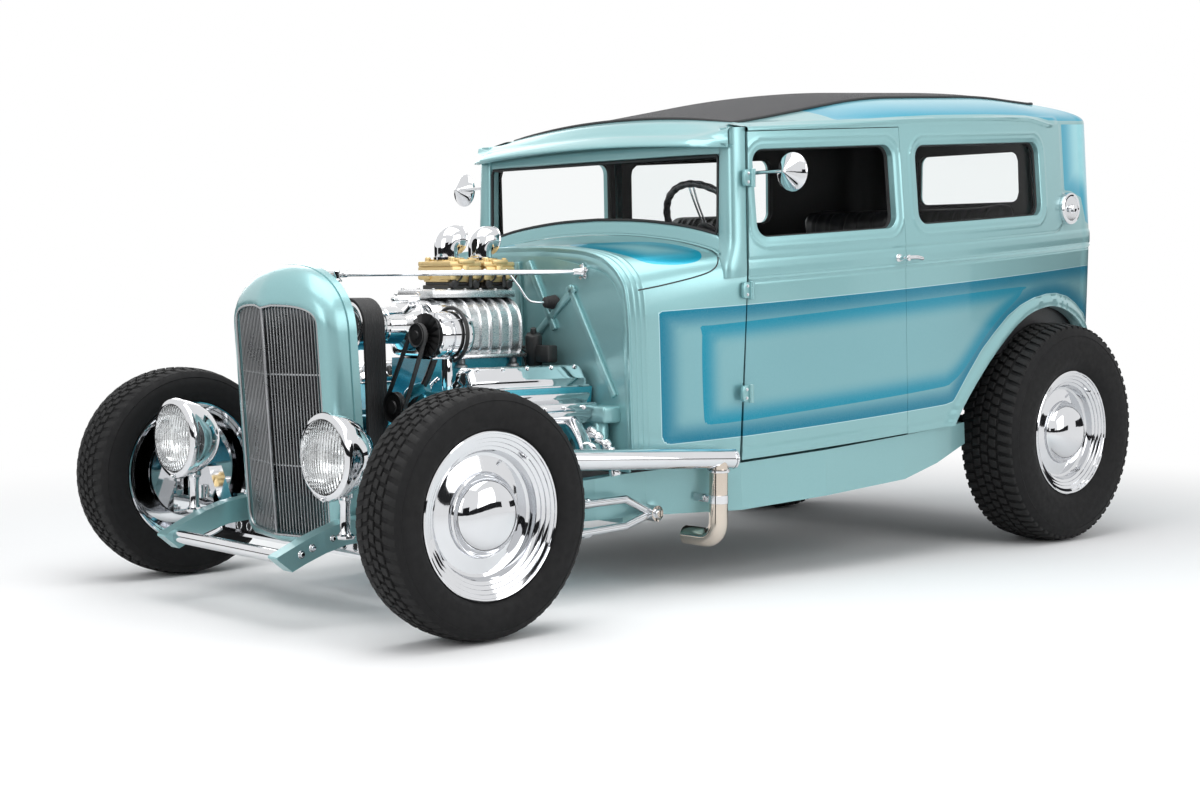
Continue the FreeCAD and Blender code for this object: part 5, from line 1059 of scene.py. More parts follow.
def make_rear_body():
    """Rear quarters, tail, drip rails and the roof's rim in one pressed skin."""
    seam_top = DOOR_FRONT + (DRIP - SILL) * seam_lean
    half = stations((seam_top, 1.285, 0.008), (1.285, 1.86, 0.024), (1.86, 2.02, 0.006), (2.02, 2.66, 0.02),
                    (2.66, 2.8, 0.006), (2.8, 2.9, 0.0045), (2.9, 3.0, 0.012), (3.0, 3.2356, 0.012),
                    (3.2356, 3.41, 0.02), (3.41, 3.5, 0.006), (3.5, TAIL_REACH, 0.02))
    across = half + [2 * TAIL_REACH - s for s in reversed(half[:-1])]
    up = stations((SILL, 0.36, 0.006), (0.36, 0.7, 0.011), (0.7, 0.78, 0.012), (0.78, 0.82, 0.008),
                  (0.82, 0.912, 0.003), (0.912, 1.03, 0.005), (1.03, 1.18, 0.014), (1.18, DRIP, 0.005))
    turns = [0.004, 0.008, 0.014, 0.022, 0.032, 0.045, 0.06, 0.08, 0.105, 0.135, 0.17, 0.21, 0.26, 0.32, 0.39, 0.47,
             0.56, 0.66, 0.77, 0.88, 0.95, 1.0]
    rows = up + [DRIP + q for q in turns]
    mesh = flat_panel(across, rows)

    def one_side(s):
        return min(s, 2 * TAIL_REACH - s)

    def beside_door(face):
        middle = face.calc_center_median()
        return middle.y < DRIP and one_side(middle.x) < DOOR_REAR + 0.0001

    bmesh.ops.delete(mesh, geom=[face for face in mesh.faces if beside_door(face)], context="FACES")
    cut_out(mesh, lambda x, y: quarter_window(one_side(x), y), (0.0015, 0.03), 0.0015)
    cut_out(mesh, back_window, (0.0015, 0.03), 0.0015)
    cut_out(mesh, lambda x, y: arch_distance(one_side(x), y) if y < 0.8 else -1.0, (0.002, 0.03), 0.002)
    trim_edges(mesh, (0.0012, 0.036), lambda e: all(v.co.z == 0 for v in e.verts) and (
        all(v.co.y < SILL + 0.001 for v in e.verts)
        or all(abs(one_side(v.co.x) - DOOR_REAR) < 0.012 and v.co.y <= DRIP + 1e-5 for v in e.verts)
        or all(abs(v.co.y - DRIP) < 1e-5 and one_side(v.co.x) < DOOR_REAR + 0.01 for v in e.verts)))

    def drip_middle(s):
        return between(s, (1.24, 1.6, 1.9, 2.1, 2.4, 2.65, 2.8), (0.004, 0.01, 0.02, 0.024, 0.024, 0.02, 0.0))

    def base(s, w):
        return side_base(s, w) if w <= DRIP else roof_base(s, w - DRIP)

    def place(s, w, depth):
        step = 0.003
        here = base(s, w)
        along = base(s + step, w) - base(s - step, w)
        up_to = base(s, w + step) if w + step <= DRIP + 1 else base(s, w)
        up_way = up_to - base(s, w - step)
        out = along.cross(up_way)
        out = out.normalized() if out.length > 1e-9 else Vector((0, 0, 1))
        return here - out * depth

    def relief(s, w):
        along = one_side(s)
        height = raked_level(base(s, w)) - DRIP
        if w <= DRIP:
            out = side_relief(s, w)
        else:
            out = 0.005 * (1 - rise(height, 0.022, 0.03)) * (1 - rise(along, 2.83, 2.868))
        if along < 2.87:
            out += 0.007 * bead(height - drip_middle(along) + 0.002, 0.009) * (1 - rise(along, 2.76, 2.85))
        return out

    def bright(s, w):
        along = one_side(s)
        if w <= DRIP:
            return corner_fade(along, w) if along > 2.8 else 0.0
        if along > 3.12:
            return 0.0
        height = raked_level(base(s, w)) - DRIP - drip_middle(along) - 0.012
        return min(height, (along - 1.62) * 0.4, 3.12 - along, 0.2 - height)

    finish_panel(mesh, place, relief, (low_fade(outer_distance), low_fade(inner_distance), bright))
    piece(mesh, "rear_body_and_roof_skin", body_paint, "rear_body_shell roof_shell")

    lining = flat_panel(stations((DOOR_REAR + 0.02, 1.95, 0.02), (1.95, 2 * TAIL_REACH - DOOR_REAR - 0.02, 0.03)),
                        stations((0.5, DRIP + 0.02, 0.02)))
    cut_out(lining, lambda x, y: quarter_window(one_side(x), y), (-0.01,))
    cut_out(lining, back_window, (-0.01,))
    for v in lining.verts:
        s, w, depth = v.co
        v.co = side_place(s, w, 0.04 + depth)
    piece(lining, "rear_cabin_lining", leather)
    seals = bmesh.new()
    for depth in (0.0195, 0.0305):
        add(seals, both_sides(window_seal(QUARTER_WINDOW, depth, 0.0045)), window_seal(BACK_WINDOW, depth, 0.0045))
    piece(seals, "rear_window_seals", seal_rubber)


def raked_level(point):
    """w of a place."""
    return point.z * cos(rake) + (point.x - axle_x) * sin(rake)


def raked_back(point):
    """u of a place."""
    return (axle_x - point.x) * cos(rake) + point.z * sin(rake)


def make_roof_cloth():
    """The cloth insert, its bead, and the cabin's headlining."""
    rings = stations((INSERT_FRONT, CORNER_START, 0.03), (CORNER_START, TAIL_REACH, 0.03))
    inner_rows = [1 - 0.06 * k for k in range(17)] + [0.0]

    def cloth(i, j):
        s = rings[i]
        iu, iy = insert_point(s)
        share = inner_rows[j]
        centre_u = max(INSERT_FRONT, min(iu, 2.95))
        u, y = centre_u + (iu - centre_u) * share, iy * share
        by = plan_point(s, DRIP)
        rho = max(0.0, min(0.93, hypot(iu - 2.5, iy) / hypot(by[0] - 2.5, by[1]) if by[0] > 2.5
                           else iy / by[1])) * share
        w = roof_height(u, y, max(rho, 0.0)) + 0.003 * rise(1 - share, 0.0, 0.08)
        return raked(u, y, w)

    half = surface(len(rings) - 1, len(inner_rows) - 1, cloth)
    bmesh.ops.recalc_face_normals(half, faces=half.faces)
    mesh = both_sides(half)
    piece(mesh, "roof_cloth_insert", roof_cloth, "roof_insert", merge=2e-4)
    edge = [roof_base(s, 1.0) + Vector((0, 0, 0.003)) for s in rings]
    front = [raked(INSERT_FRONT, 0.515 * k / 10, roof_height(INSERT_FRONT, 0.515 * k / 10, 0.83 * k / 10) + 0.003)
             for k in range(10)]
    line = front + edge
    line += [Vector((p.x, -p.y, p.z)) for p in reversed(line[1:-1])]
    piece(loop_tube(line, 0.0055, 8), "roof_cloth_bead", seal_rubber)

    def ceiling(i, j):
        u, across = 1.22 + 1.9 * j / 30, i / 12 - 1
        w = roof_crown(u) - 0.045 - 0.026 * (across * 0.62 / 0.52) ** 2 - 0.05 * abs(across) ** 6
        return raked(u, across * (side_half(min(u, 3.0), DRIP) - 0.06), min(w, 1.4))

    piece(surface(24, 30, ceiling), "headlining", leather)


def make_front_roof():
    """The roof's front panel and the sun visor with closed, curved ends."""
    half = 0.6
    columns = 60

    def section(share):
        """Profile at share 0 in the middle and 1 at the end."""
        droop = 1 - share ** 4
        edge = sqrt(max(0.0, 1 - share ** 8))
        crown = roof_height(INSERT_FRONT, half * share, min(0.97, 0.83 * share))
        tip_u = 1.18 - 0.078 * edge
        tip_w = 1.247 + 0.022 * (1 - share ** 2)
        return [(INSERT_FRONT - 0.002, crown), (1.262, crown - 0.006), (1.24, crown - 0.012),
                (1.215, crown - 0.024 * droop - 0.006), (1.185, crown - 0.04 * droop - 0.012),
                (1.15 + 0.03 * (1 - edge), tip_w + (crown - tip_w) * 0.36), (1.12 + 0.06 * (1 - edge), tip_w + 0.016),
                (tip_u, tip_w + 0.003), (tip_u - 0.001, tip_w - 0.004), (tip_u + 0.006, tip_w - 0.005),
                (tip_u + 0.02, tip_w + 0.001), (1.16, tip_w + 0.006), (1.178, tip_w - 0.004)]

    smooth = []
    for i in range(columns + 1):
        profile = [(u, 0, w) for u, w in section(abs(i / columns * 2 - 1))]
        smooth.append([(p.x, p.z) for p in smooth_path(profile, 5)])

    def point(i, j):
        y = half * (i / columns * 2 - 1)
        u, w = smooth[i][j]
        reach = side_half(max(u, 1.12), w) if abs(y) > 0.5 else half
        return raked(u, y * min(1.0, reach / half), w)

    mesh = surface(columns, len(smooth[0]) - 1, point)
    fade_layers(mesh)
    piece(mesh, "roof_front_and_visor", body_paint)


# Cowl and windscreen surround. Outlines are (y, w) pairs from the sill up to the middle.
COWL_FRONT = 0.84
COWL_REAR = 1.2475
cowl_front_outline = mm(467, 303, 474, 513, 480, 700, 479, 775, 472, 838, 457, 869, 434, 896, 405, 917, 366, 934, 289,
                        951, 140, 962, 0, 964)
cowl_rear_outline = mm(614, 303, 620, 513, 626, 720, 628, 800, 628, 850, 624, 884, 608, 908, 580, 928, 540, 944, 400,
                       971, 200, 992, 0, 999)
teardrop_distance = outline_distance(smooth_outline(mm(935, 130, 1000, 210, 1080, 300, 1112, 400, 1122, 480, 1116,
                                                       525, 1090, 542, 1040, 530, 985, 502, 940, 468, 918, 420, 905,
                                                       340, 908, 220), 5))
cowl_lines = [[(p.x, p.y) for p in smooth_path([(y, w, 0) for y, w in outline], 6)]
              for outline in (cowl_front_outline, cowl_rear_outline)]
COWL_ROWS = len(cowl_lines[0]) - 1


def cowl_point(u, j):
    """(y, w) on the cowl at a distance u behind the axle, j rows up from the sill."""
    share = (u - COWL_FRONT) / (COWL_REAR - COWL_FRONT)
    wide = 1.25 * share - 0.25 * share * share
    (y0, w0), (y1, w1) = cowl_lines[0][j], cowl_lines[1][j]
    return y0 + (y1 - y0) * wide, w0 + (w1 - w0) * share


def cowl_height(u, y):
    """w of the cowl's top over a place."""
    for j in range(COWL_ROWS, 0, -1):
        (y0, w0), (y1, w1) = cowl_point(u, j), cowl_point(u, j - 1)
        if y0 <= abs(y) <= y1:
            return w0 + (w1 - w0) * (abs(y) - y0) / max(y1 - y0, 1e-6)
    return cowl_point(u, 0)[1]


def seam_u(w):
    return DOOR_FRONT - SEAM + (w - SILL) * seam_lean


def cowl_seam(j):
    """Where row j meets the door seam or the windscreen's foot."""
    u = 1.2
    for _ in range(4):
        w = cowl_point(u, j)[1]
        u = min(seam_u(w), 1.2 + 0.03 * (1 - rise(w, 0.9, 0.935)))
    return u


def make_cowl():
    steps = stations((0.0, 0.07, 0.0032), (0.07, 0.3, 0.01), (0.3, 0.36, 0.012))

    def ribs(behind):
        out = 0.0045 * rise(0.009 - behind, 0.0, 0.006)
        for place, half, high in ((0.018, 0.006, 0.0035), (0.034, 0.005, 0.0028), (0.05, 0.004, 0.0022)):
            out += high * bead(behind - place, half)
        return out

    def point(i, j):
        end = cowl_seam(j)
        behind = steps[i] * (end - COWL_FRONT) / steps[-1] if i > 22 else steps[i]
        u = COWL_FRONT + min(behind, end - COWL_FRONT)
        y, w = cowl_point(u, j)
        before, after = cowl_point(u, max(j - 1, 0)), cowl_point(u, min(j + 1, COWL_ROWS))
        out = Vector((after[1] - before[1], before[0] - after[0])).normalized()
        lift = ribs(behind)
        return raked(u, y + out.x * lift - 0.002, w + out.y * lift)

    skin = surface(len(steps) - 1, COWL_ROWS, point)
    layers = fade_layers(skin)
    for v in skin.verts:
        u, w = raked_back(v.co), raked_level(v.co)
        if w < 0.79:
            v[layers[0]] = outer_distance(u, w)
            v[layers[1]] = inner_distance(u, w)
        else:
            v[layers[2]] = teardrop_distance(u, abs(v.co.y))
    rim = [e for e in skin.edges if e.is_boundary
           and all(abs(raked_back(v.co) - COWL_FRONT) < 0.002 for v in e.verts)]
    for back, inward in ((0.0, 0.004), (0.005, 0.014), (0.029, 0.018)):
        def move(v):
            y, w = v.co.y, raked_level(v.co)
            toward = Vector((-y, 0.62 - w)).normalized()
            v.co = raked(COWL_FRONT + back, y + toward.x * inward, w + toward.y * inward)

        rim = fold(skin, rim, move)
    piece(both_sides(skin), "cowl_skin", body_paint, "cowl", merge=4e-4)
    line = []
    for p in smooth_path(((0.88, 0.835, 0), (0.96, 0.846, 0), (1.069, 0.866, 0), (1.118, 0.884, 0),
                          (1.15, 0.915, 0))):
        rows = [cowl_point(p.x, k) for k in range(COWL_ROWS + 1)]
        y = between(p.y, [w for _, w in rows], [y for y, _ in rows])
        line.append(raked(p.x, y - 0.0015, p.y))
    piece(both_sides(sweep(line, 0.0022, 6)), "cowl_seam_line", seal_rubber)

    def inner(i, j):
        u = 0.86 + 0.3 * i / 16
        y, w = cowl_point(u, min(3 * j, COWL_ROWS))
        return raked(u, y * 0.955, w * 0.985)

    shell = surface(16, 20, inner)
    piece(both_sides(shell), "cowl_lining", leather, merge=4e-4)


POST_HALF = 0.542


def screen_u(w, back=0.0):
    """The windscreen's front plane, which leans back with the rake."""
    return 1.176 + (w - 1.0) * seam_lean + back


def make_windscreen_surround():
    mesh = bmesh.new()
    foot = 0.852
    post_levels = [foot + (DRIP + 0.012 - foot) * (k / 28) ** 1.3 for k in range(29)]
    profile_steps = 14

    def post(i, j):
        w = post_levels[j]
        seam = seam_u(w)
        outer = side_half(max(seam, 1.11), w) - 0.001
        front = screen_u(w, -0.006 - 0.022 * (1 - rise(w, 0.88, 0.99)) ** 2)
        corners = [(seam, outer), (seam - 0.006, outer), (front + 0.022, outer - 0.002),
                   (front + 0.007, outer - 0.009), (front + 0.001, outer - 0.021), (front, outer - 0.034),
                   (front + 0.001, POST_HALF + 0.012), (front + 0.004, POST_HALF + 0.004), (front + 0.01, POST_HALF),
                   (front + 0.04, POST_HALF - 0.002)]
        k = i / profile_steps * (len(corners) - 1)
        low = min(int(k), len(corners) - 2)
        a, b = corners[low], corners[low + 1]
        return raked(a[0] + (b[0] - a[0]) * (k - low), a[1] + (b[1] - a[1]) * (k - low), w)

    add(mesh, both_sides(surface(profile_steps, 28, post)))
    half_columns = 40

    def rail(i, j):
        y = 0.565 * (i / half_columns * 2 - 1)
        top = cowl_height(1.19, y)
        rows = mm(-20, -2, -18, 3, -14, 4.5, -13.5, 1, -10, 1, -7, 10, -4, 20, -2, 32, 1, 38, 5, 41, 12, 41, 40, 39)
        back, high = rows[j]
        return raked(screen_u(top, back), y, top + high)

    add(mesh, surface(half_columns, 11, rail))

    def header(i, j):
        y = 0.56 * (i / half_columns * 2 - 1)
        rows = mm(1292, 10, 1262, 6, 1236, 4, 1227, 6, 1223, 12, 1222, 45)
        w, back = rows[j]
        return raked(screen_u(w, back), y, w - 0.004 * (abs(y) / 0.56) ** 6)

    add(mesh, surface(half_columns, 5, header))
    fade_layers(mesh)
    piece(mesh, "windscreen_surround", body_paint, "windscreen_frame", merge=2e-5)
    across = [(0.53 * (k / 20 * 2 - 1)) for k in range(21)]
    line = [raked(screen_u(cowl_height(1.19, y) + 0.044, 0.004), y, cowl_height(1.19, y) + 0.0445) for y in across]
    up = [0.02 * k for k in range(1, 14)]
    start_w = cowl_height(1.19, 0.53) + 0.0445
    right = [raked(screen_u(start_w + dw, 0.004), 0.537, start_w + dw) for dw in up if start_w + dw < 1.205]
    top = [raked(screen_u(1.219, 0.004), y, 1.219) for y in reversed(across)]
    left = [Vector((p.x, -p.y, p.z)) for p in reversed(right)]
    seal = loop_tube(line + right + top + left, 0.0052, 8)
    piece(seal, "windscreen_seal", seal_rubber)


# Grille shell.
SHELL_TURNS = 96


def shell_ring(half, bottom, shoulder, top, foot=0.05, power=2.3, dip=0.0):
    """The shell's outline as (y, w) places, round from the middle of its foot."""
    side_count = SHELL_TURNS // 2
    path = [(half * 0.4 * k / 4, bottom) for k in range(5)]
    for k in range(1, 9):
        turn = pi / 2 * k / 8
        path.append((half - foot + foot * sin(turn), bottom + foot * (1 - cos(turn))))
    for k in range(1, 15):
        path.append((half, bottom + foot + (shoulder - bottom - foot) * k / 14))
    rest = side_count - len(path) + 1
    for k in range(1, rest + 1):
        turn = pi / 2 * k / rest
        y = half * max(cos(turn), 0.0) ** (2 / power)
        w = shoulder + (top - shoulder) * sin(turn) ** (2 / power)
        path.append((y, w - dip * bead(y, 0.03)))
    return path + [(-y, w) for y, w in reversed(path[1:-1])]


def make_grille():
    rings = []
    for x, vee, half, bottom, shoulder, top, foot, power in ((0.086, 0.043, 0.2035, 0.218, 0.795, 0.858, 0.045, 3.2),
            (0.104, 0.045, 0.206, 0.215, 0.795, 0.862, 0.048, 3.2), (0.1075, 0.045, 0.209, 0.212, 0.794, 0.865, 0.05,
                                                                     3.1), (0.107, 0.045, 0.213, 0.208, 0.792, 0.87,
                                                                            0.05, 2.9),
            (0.1035, 0.045, 0.22, 0.203, 0.79, 0.882, 0.052, 2.7), (0.0965, 0.042, 0.229, 0.197, 0.788, 0.9, 0.055,
                                                                    2.5), (0.085, 0.037, 0.237, 0.192, 0.786, 0.92,
                                                                           0.058, 2.35),
            (0.07, 0.031, 0.243, 0.19, 0.784, 0.938, 0.06, 2.25), (0.052, 0.023, 0.2475, 0.19, 0.782, 0.952, 0.06,
                                                                   2.2), (0.033, 0.013, 0.25, 0.192, 0.78, 0.962,
                                                                          0.06, 2.2),
            (0.015, 0.005, 0.2512, 0.226, 0.78, 0.966, 0.06, 2.2), (-0.006, 0.0, 0.252, 0.227, 0.78, 0.9665, 0.06,
                                                                    2.2), (-0.0075, 0.0, 0.249, 0.229, 0.78, 0.964,
                                                                           0.06, 2.2),
            (-0.0105, 0.0, 0.249, 0.229, 0.78, 0.964, 0.06, 2.2), (-0.012, 0.0, 0.2535, 0.226, 0.78, 0.9675, 0.06,
                                                                   2.2), (-0.034, 0.0, 0.2555, 0.226, 0.78, 0.9678,
                                                                          0.06, 2.2),
            (-0.0355, 0.0, 0.254, 0.228, 0.78, 0.966, 0.058, 2.2), (-0.0355, 0.0, 0.242, 0.24, 0.775, 0.954, 0.05,
                                                                    2.2), (0.0, 0.0, 0.238, 0.244, 0.775, 0.944, 0.05,
                                                                           2.2),
            (0.05, 0.02, 0.23, 0.25, 0.77, 0.9, 0.05, 2.3)):
        dip = 0.007 if top < 0.885 else 0.0
        outline = shell_ring(half, bottom, shoulder, top, foot, power, dip)
        rings.append([raked(-(x - vee * min(abs(y) / half, 1.0)), y, w) for y, w in outline])
    mesh = surface(SHELL_TURNS, len(rings) - 1, lambda i, j: rings[j][i % len(rings[j])])
    backing = surface(12, 4, lambda i, j: raked(-0.055, 0.195 * (i / 6 - 1), 0.216 + 0.1 * j / 4))
    add(mesh, backing)
    fade_layers(mesh)
    piece(mesh, "grille_shell_skin", body_paint, "grille_shell")

    opening = shell_ring(0.206, 0.215, 0.795, 0.862, 0.048, 3.2, 0.007)

    def opening_end(y, at_top):
        """w where the opening's outline crosses y, at its top or at its foot."""
        found = [w for (a, w), (b, _) in zip(opening, opening[1:])
                 if min(a, b) <= y <= max(a, b) and (w > 0.5) == at_top]
        return min(found, default=0.79) if at_top else max(found, default=0.22)

    bars = bmesh.new()
    pitch = 0.0117
    for k in range(-16, 17):
        y = k * pitch
        low, high = opening_end(y, False) + 0.001, opening_end(y, True) - 0.001
        bar = block((0.014, 0.0032, high - low), (0, 0, 0), 0.0012, 2)
        front = 0.1 - 0.0443 * abs(y) / 0.206
        add(bars, placed(bar, lambda a, b, c: raked(-(front - 0.007 + a), y + b, (low + high) / 2 + c)))
    ridge = block((0.01, 0.006, 0.64), (0, 0, 0), 0.0018, 2)
    add(bars, placed(ridge, lambda a, b, c: raked(-(0.1015 + a), b, 0.535 + c)))
    for w in (0.668, 0.412):
        line = [raked(-(0.095 - 0.0443 * abs(y) / 0.206), y, w) for y in (-0.203, -0.1, 0.0, 0.1, 0.203)]
        add(bars, sweep(line, 0.0028, 8))
    add(bars, loop_tube([raked(-(0.1055 - 0.045 * min(abs(y) / 0.206, 1.0)), y * 0.997, (w - 0.5) * 0.998 + 0.5)
                         for y, w in opening], 0.0036, 8))
    piece(bars, "grille_bars", grille_steel, "grille_insert")


# Wheels and tyres, drawn from the rim plane with Z outward.
FRONT_RADIUS, REAR_RADIUS = 0.325, 0.388
FRONT_RIM, REAR_RIM = 0.152, 0.203
RIM_OUTER = mm(219, -6, 218.5, -1, 215, 1, 211, -0.5, 210, -4, 201, -6, 200, -9, 198.5, -10, 190, -12, 189, -15.5,
               187.5, -16.5, 179, -18.5, 178, -22, 176.5, -23, 169, -26, 167, -31, 165, -38, 160, -46, 152, -49, 140,
               -47, 125, -43, 112, -40, 109.5, -41, 106, -44, 0, -45)
CAP = mm(106, -46, 108, -44, 109, -38, 108.5, -33, 105, -30, 103, -26.5, 99, -18, 93, -10, 85, -2, 74, 5, 60, 10.5,
         42, 14.5, 22, 16.6, 0, 17.2)
TYRE_SHARES = [(0.17, 0.0), (0.22, 0.62), (0.3, 0.84), (0.36, 0.915), (0.385, 0.945), (0.4, 0.945), (0.43, 0.965),
               (0.55, 0.985), (0.66, 0.968), (0.75, 0.945), (0.765, 0.958), (0.78, 0.945), (0.84, 0.9),
               (0.885, 0.85), (0.915, 0.8), (0.93, 0.7), (0.935, 0.58), (0.945, 0.32), (0.95, 0.0)]


def make_wheel(corner, wheel_side, centre_x, radius, rim_plane, barrel, steered):
    rear = [(0.219, -0.01), (0.206, -0.012), (0.204, -0.03), (0.198, -0.055), (0.198, -barrel + 0.03),
            (0.204, -barrel + 0.012), (0.2185, -barrel + 0.006), (0.2185, -barrel), (0.214, -barrel),
            (0.196, -barrel + 0.012), (0.192, -0.07), (0.168, -0.058), (0.15, -0.058)]
    if steered:
        rear += mm(42, -54, 42, -128, 140, -128, 140, -133, 118, -134, 118, -144, 140, -145, 140, -150, 0, -150)
    else:
        rear += [(0.0, -0.056)]
    mesh = turned(RIM_OUTER[::-1] + rear, 96)
    add(mesh, turned(CAP, 96))
    stem = sweep([(0.184, 0, -0.024), (0.183, 0, -0.012), (0.181, 0, 0.004)], lambda s: 0.0042 if s < 0.6 else 0.0048,
                 10)
    add(mesh, stem)
    place = (centre_x, wheel_side * rim_plane, radius)
    aim(mesh, place, (0, wheel_side, 0), 0.9)
    piece(mesh, f"{corner}_wheel_rim_and_cap", wheel_chrome, f"{corner}_wheel", flat_angle=24, body=f"{corner}_wheel")


def make_tyre(corner, wheel_side, centre_x, radius, middle, half, rim):
    bead_radius = 0.2036
    wall = radius - bead_radius
    seat = rim / 2 - 0.0056
    profile = [(bead_radius, seat), (0.2196, seat), (0.2215, seat + 0.003)]
    profile += [(bead_radius + wall * k, seat + 0.003 + (half - seat - 0.003) * m) for k, m in TYRE_SHARES[1:9]]
    profile += [(bead_radius + wall * k, half * m) for k, m in TYRE_SHARES[9:]]
    outline = profile + [(r, -z) for r, z in reversed(profile[:-1])]
    mesh = turned(outline + outline[:1], 96)
    count = 60 if radius < 0.35 else 66
    pitch = 2 * pi * radius / count

    def crown(m):
        return radius - 0.0165 * abs(m) ** 2.6 - 0.0006

    def floor(m):
        return bead_radius + wall * between(abs(m), (0.0, 0.32, 0.6, 0.8, 0.86), (0.94, 0.935, 0.92, 0.895, 0.87))

    for centre, wide, long, shift in ((0.0, 0.2, 0.7, 0.0), (0.275, 0.23, 0.72, 0.5), (-0.275, 0.23, 0.72, 0.5),
                                      (0.65, 0.4, 0.62, 0.1), (-0.65, 0.4, 0.62, 0.1)):
        lump = block((1.0, pitch * long, 1.0), (0.5, 0, 0), 0)
        for v in lump.verts:
            m = centre + v.co.z * wide * (1.0 if v.co.x < 0.5 else 0.94)
            high = crown(m) if v.co.x > 0.5 else floor(m)
            across = v.co.y * (1.0 if v.co.x < 0.5 else 0.93) + (m - centre) * half * 0.25 * (1 if centre >= 0
                                                                                              else -1)
            v.co = Vector((high, across, m * half))
        soften(lump, 0.0011, 1)
        lump.transform(Matrix.Rotation(shift * 2 * pi / count, 4, "Z"))
        add(mesh, ringed(lump, count))
    aim(mesh, (centre_x, wheel_side * middle, radius), (0, wheel_side, 0))
    piece(mesh, f"{corner}_tread_tyre", tyre_rubber, f"{corner}_tyre", flat_angle=40, body=f"{corner}_wheel")


def make_wheels():
    for side, sign in (("left", 1), ("right", -1)):
        make_wheel(f"front_{side}", sign, axle_x, FRONT_RADIUS, 0.815, FRONT_RIM, True)
        make_wheel(f"rear_{side}", sign, rear_axle_x, REAR_RADIUS, 0.76, REAR_RIM, False)
        make_tyre(f"front_{side}", sign, axle_x, FRONT_RADIUS, 0.739, 0.093, FRONT_RIM)
        make_tyre(f"rear_{side}", sign, rear_axle_x, REAR_RADIUS, 0.6585, 0.12, REAR_RIM)


# Engine, drawn level: x forward from the front axle, z up from the ground.
BLOWER_AXIS, CRANK_AXIS, PULLEY_FRONT = 0.79, 0.372, -0.128
ALTERNATOR = (0.262, 0.768)
IDLER = (0.15, 0.56)


def along_x(mesh, x, y, z):
    """Points local Z backward along the car from a place."""
    return aim(mesh, level(x, y, z), (-1, 0, 0))


def bolt(radius=0.006, high=0.005):
    """A hexagon head on a thin washer."""
    mesh = bmesh.new()
    bmesh.ops.create_cone(mesh, cap_ends=True, segments=6, radius1=radius, radius2=radius, depth=high)
    bmesh.ops.translate(mesh, vec=(0, 0, high / 2 + 0.001), verts=mesh.verts)
    soften(mesh, high * 0.18, 1)
    washer = bmesh.new()
    bmesh.ops.create_cone(washer, cap_ends=True, segments=18, radius1=radius * 1.45, radius2=radius * 1.35,
                          depth=0.0012)
    return add(mesh, washer)


def bolts_at(places, direction=(0, 0, 1), radius=0.006, high=0.005):
    mesh = bmesh.new()
    for place in places:
        add(mesh, aim(bolt(radius, high), place, direction, 0.3))
    return mesh


def bolt_circle(count, first, x, z, wide, high, radius, head, way=1):
    """Bolts round a place on the middle line, facing forward or backward."""
    mesh = bmesh.new()
    for k in range(count):
        turn = radians(first + 360 / count * k)
        add(mesh, aim(bolt(radius, head), level(x, wide * cos(turn), z + high * sin(turn)), (way, 0, 0)))
    return mesh


def case_outline(turn, half=0.122, low=0.692, high=0.868):
    """The blower case's section: flat foot, bulging sides, round crown."""
    middle = 0.775
    c, s = cos(turn), sin(turn)
    y = half * (abs(c) ** 0.62) * (1 if c >= 0 else -1)
    if s >= 0:
        return y, middle + (high - middle) * s ** 0.86
    return half * (abs(c) ** 0.25) * (1 if c >= 0 else -1), middle - (middle - low) * (-s) ** 0.5


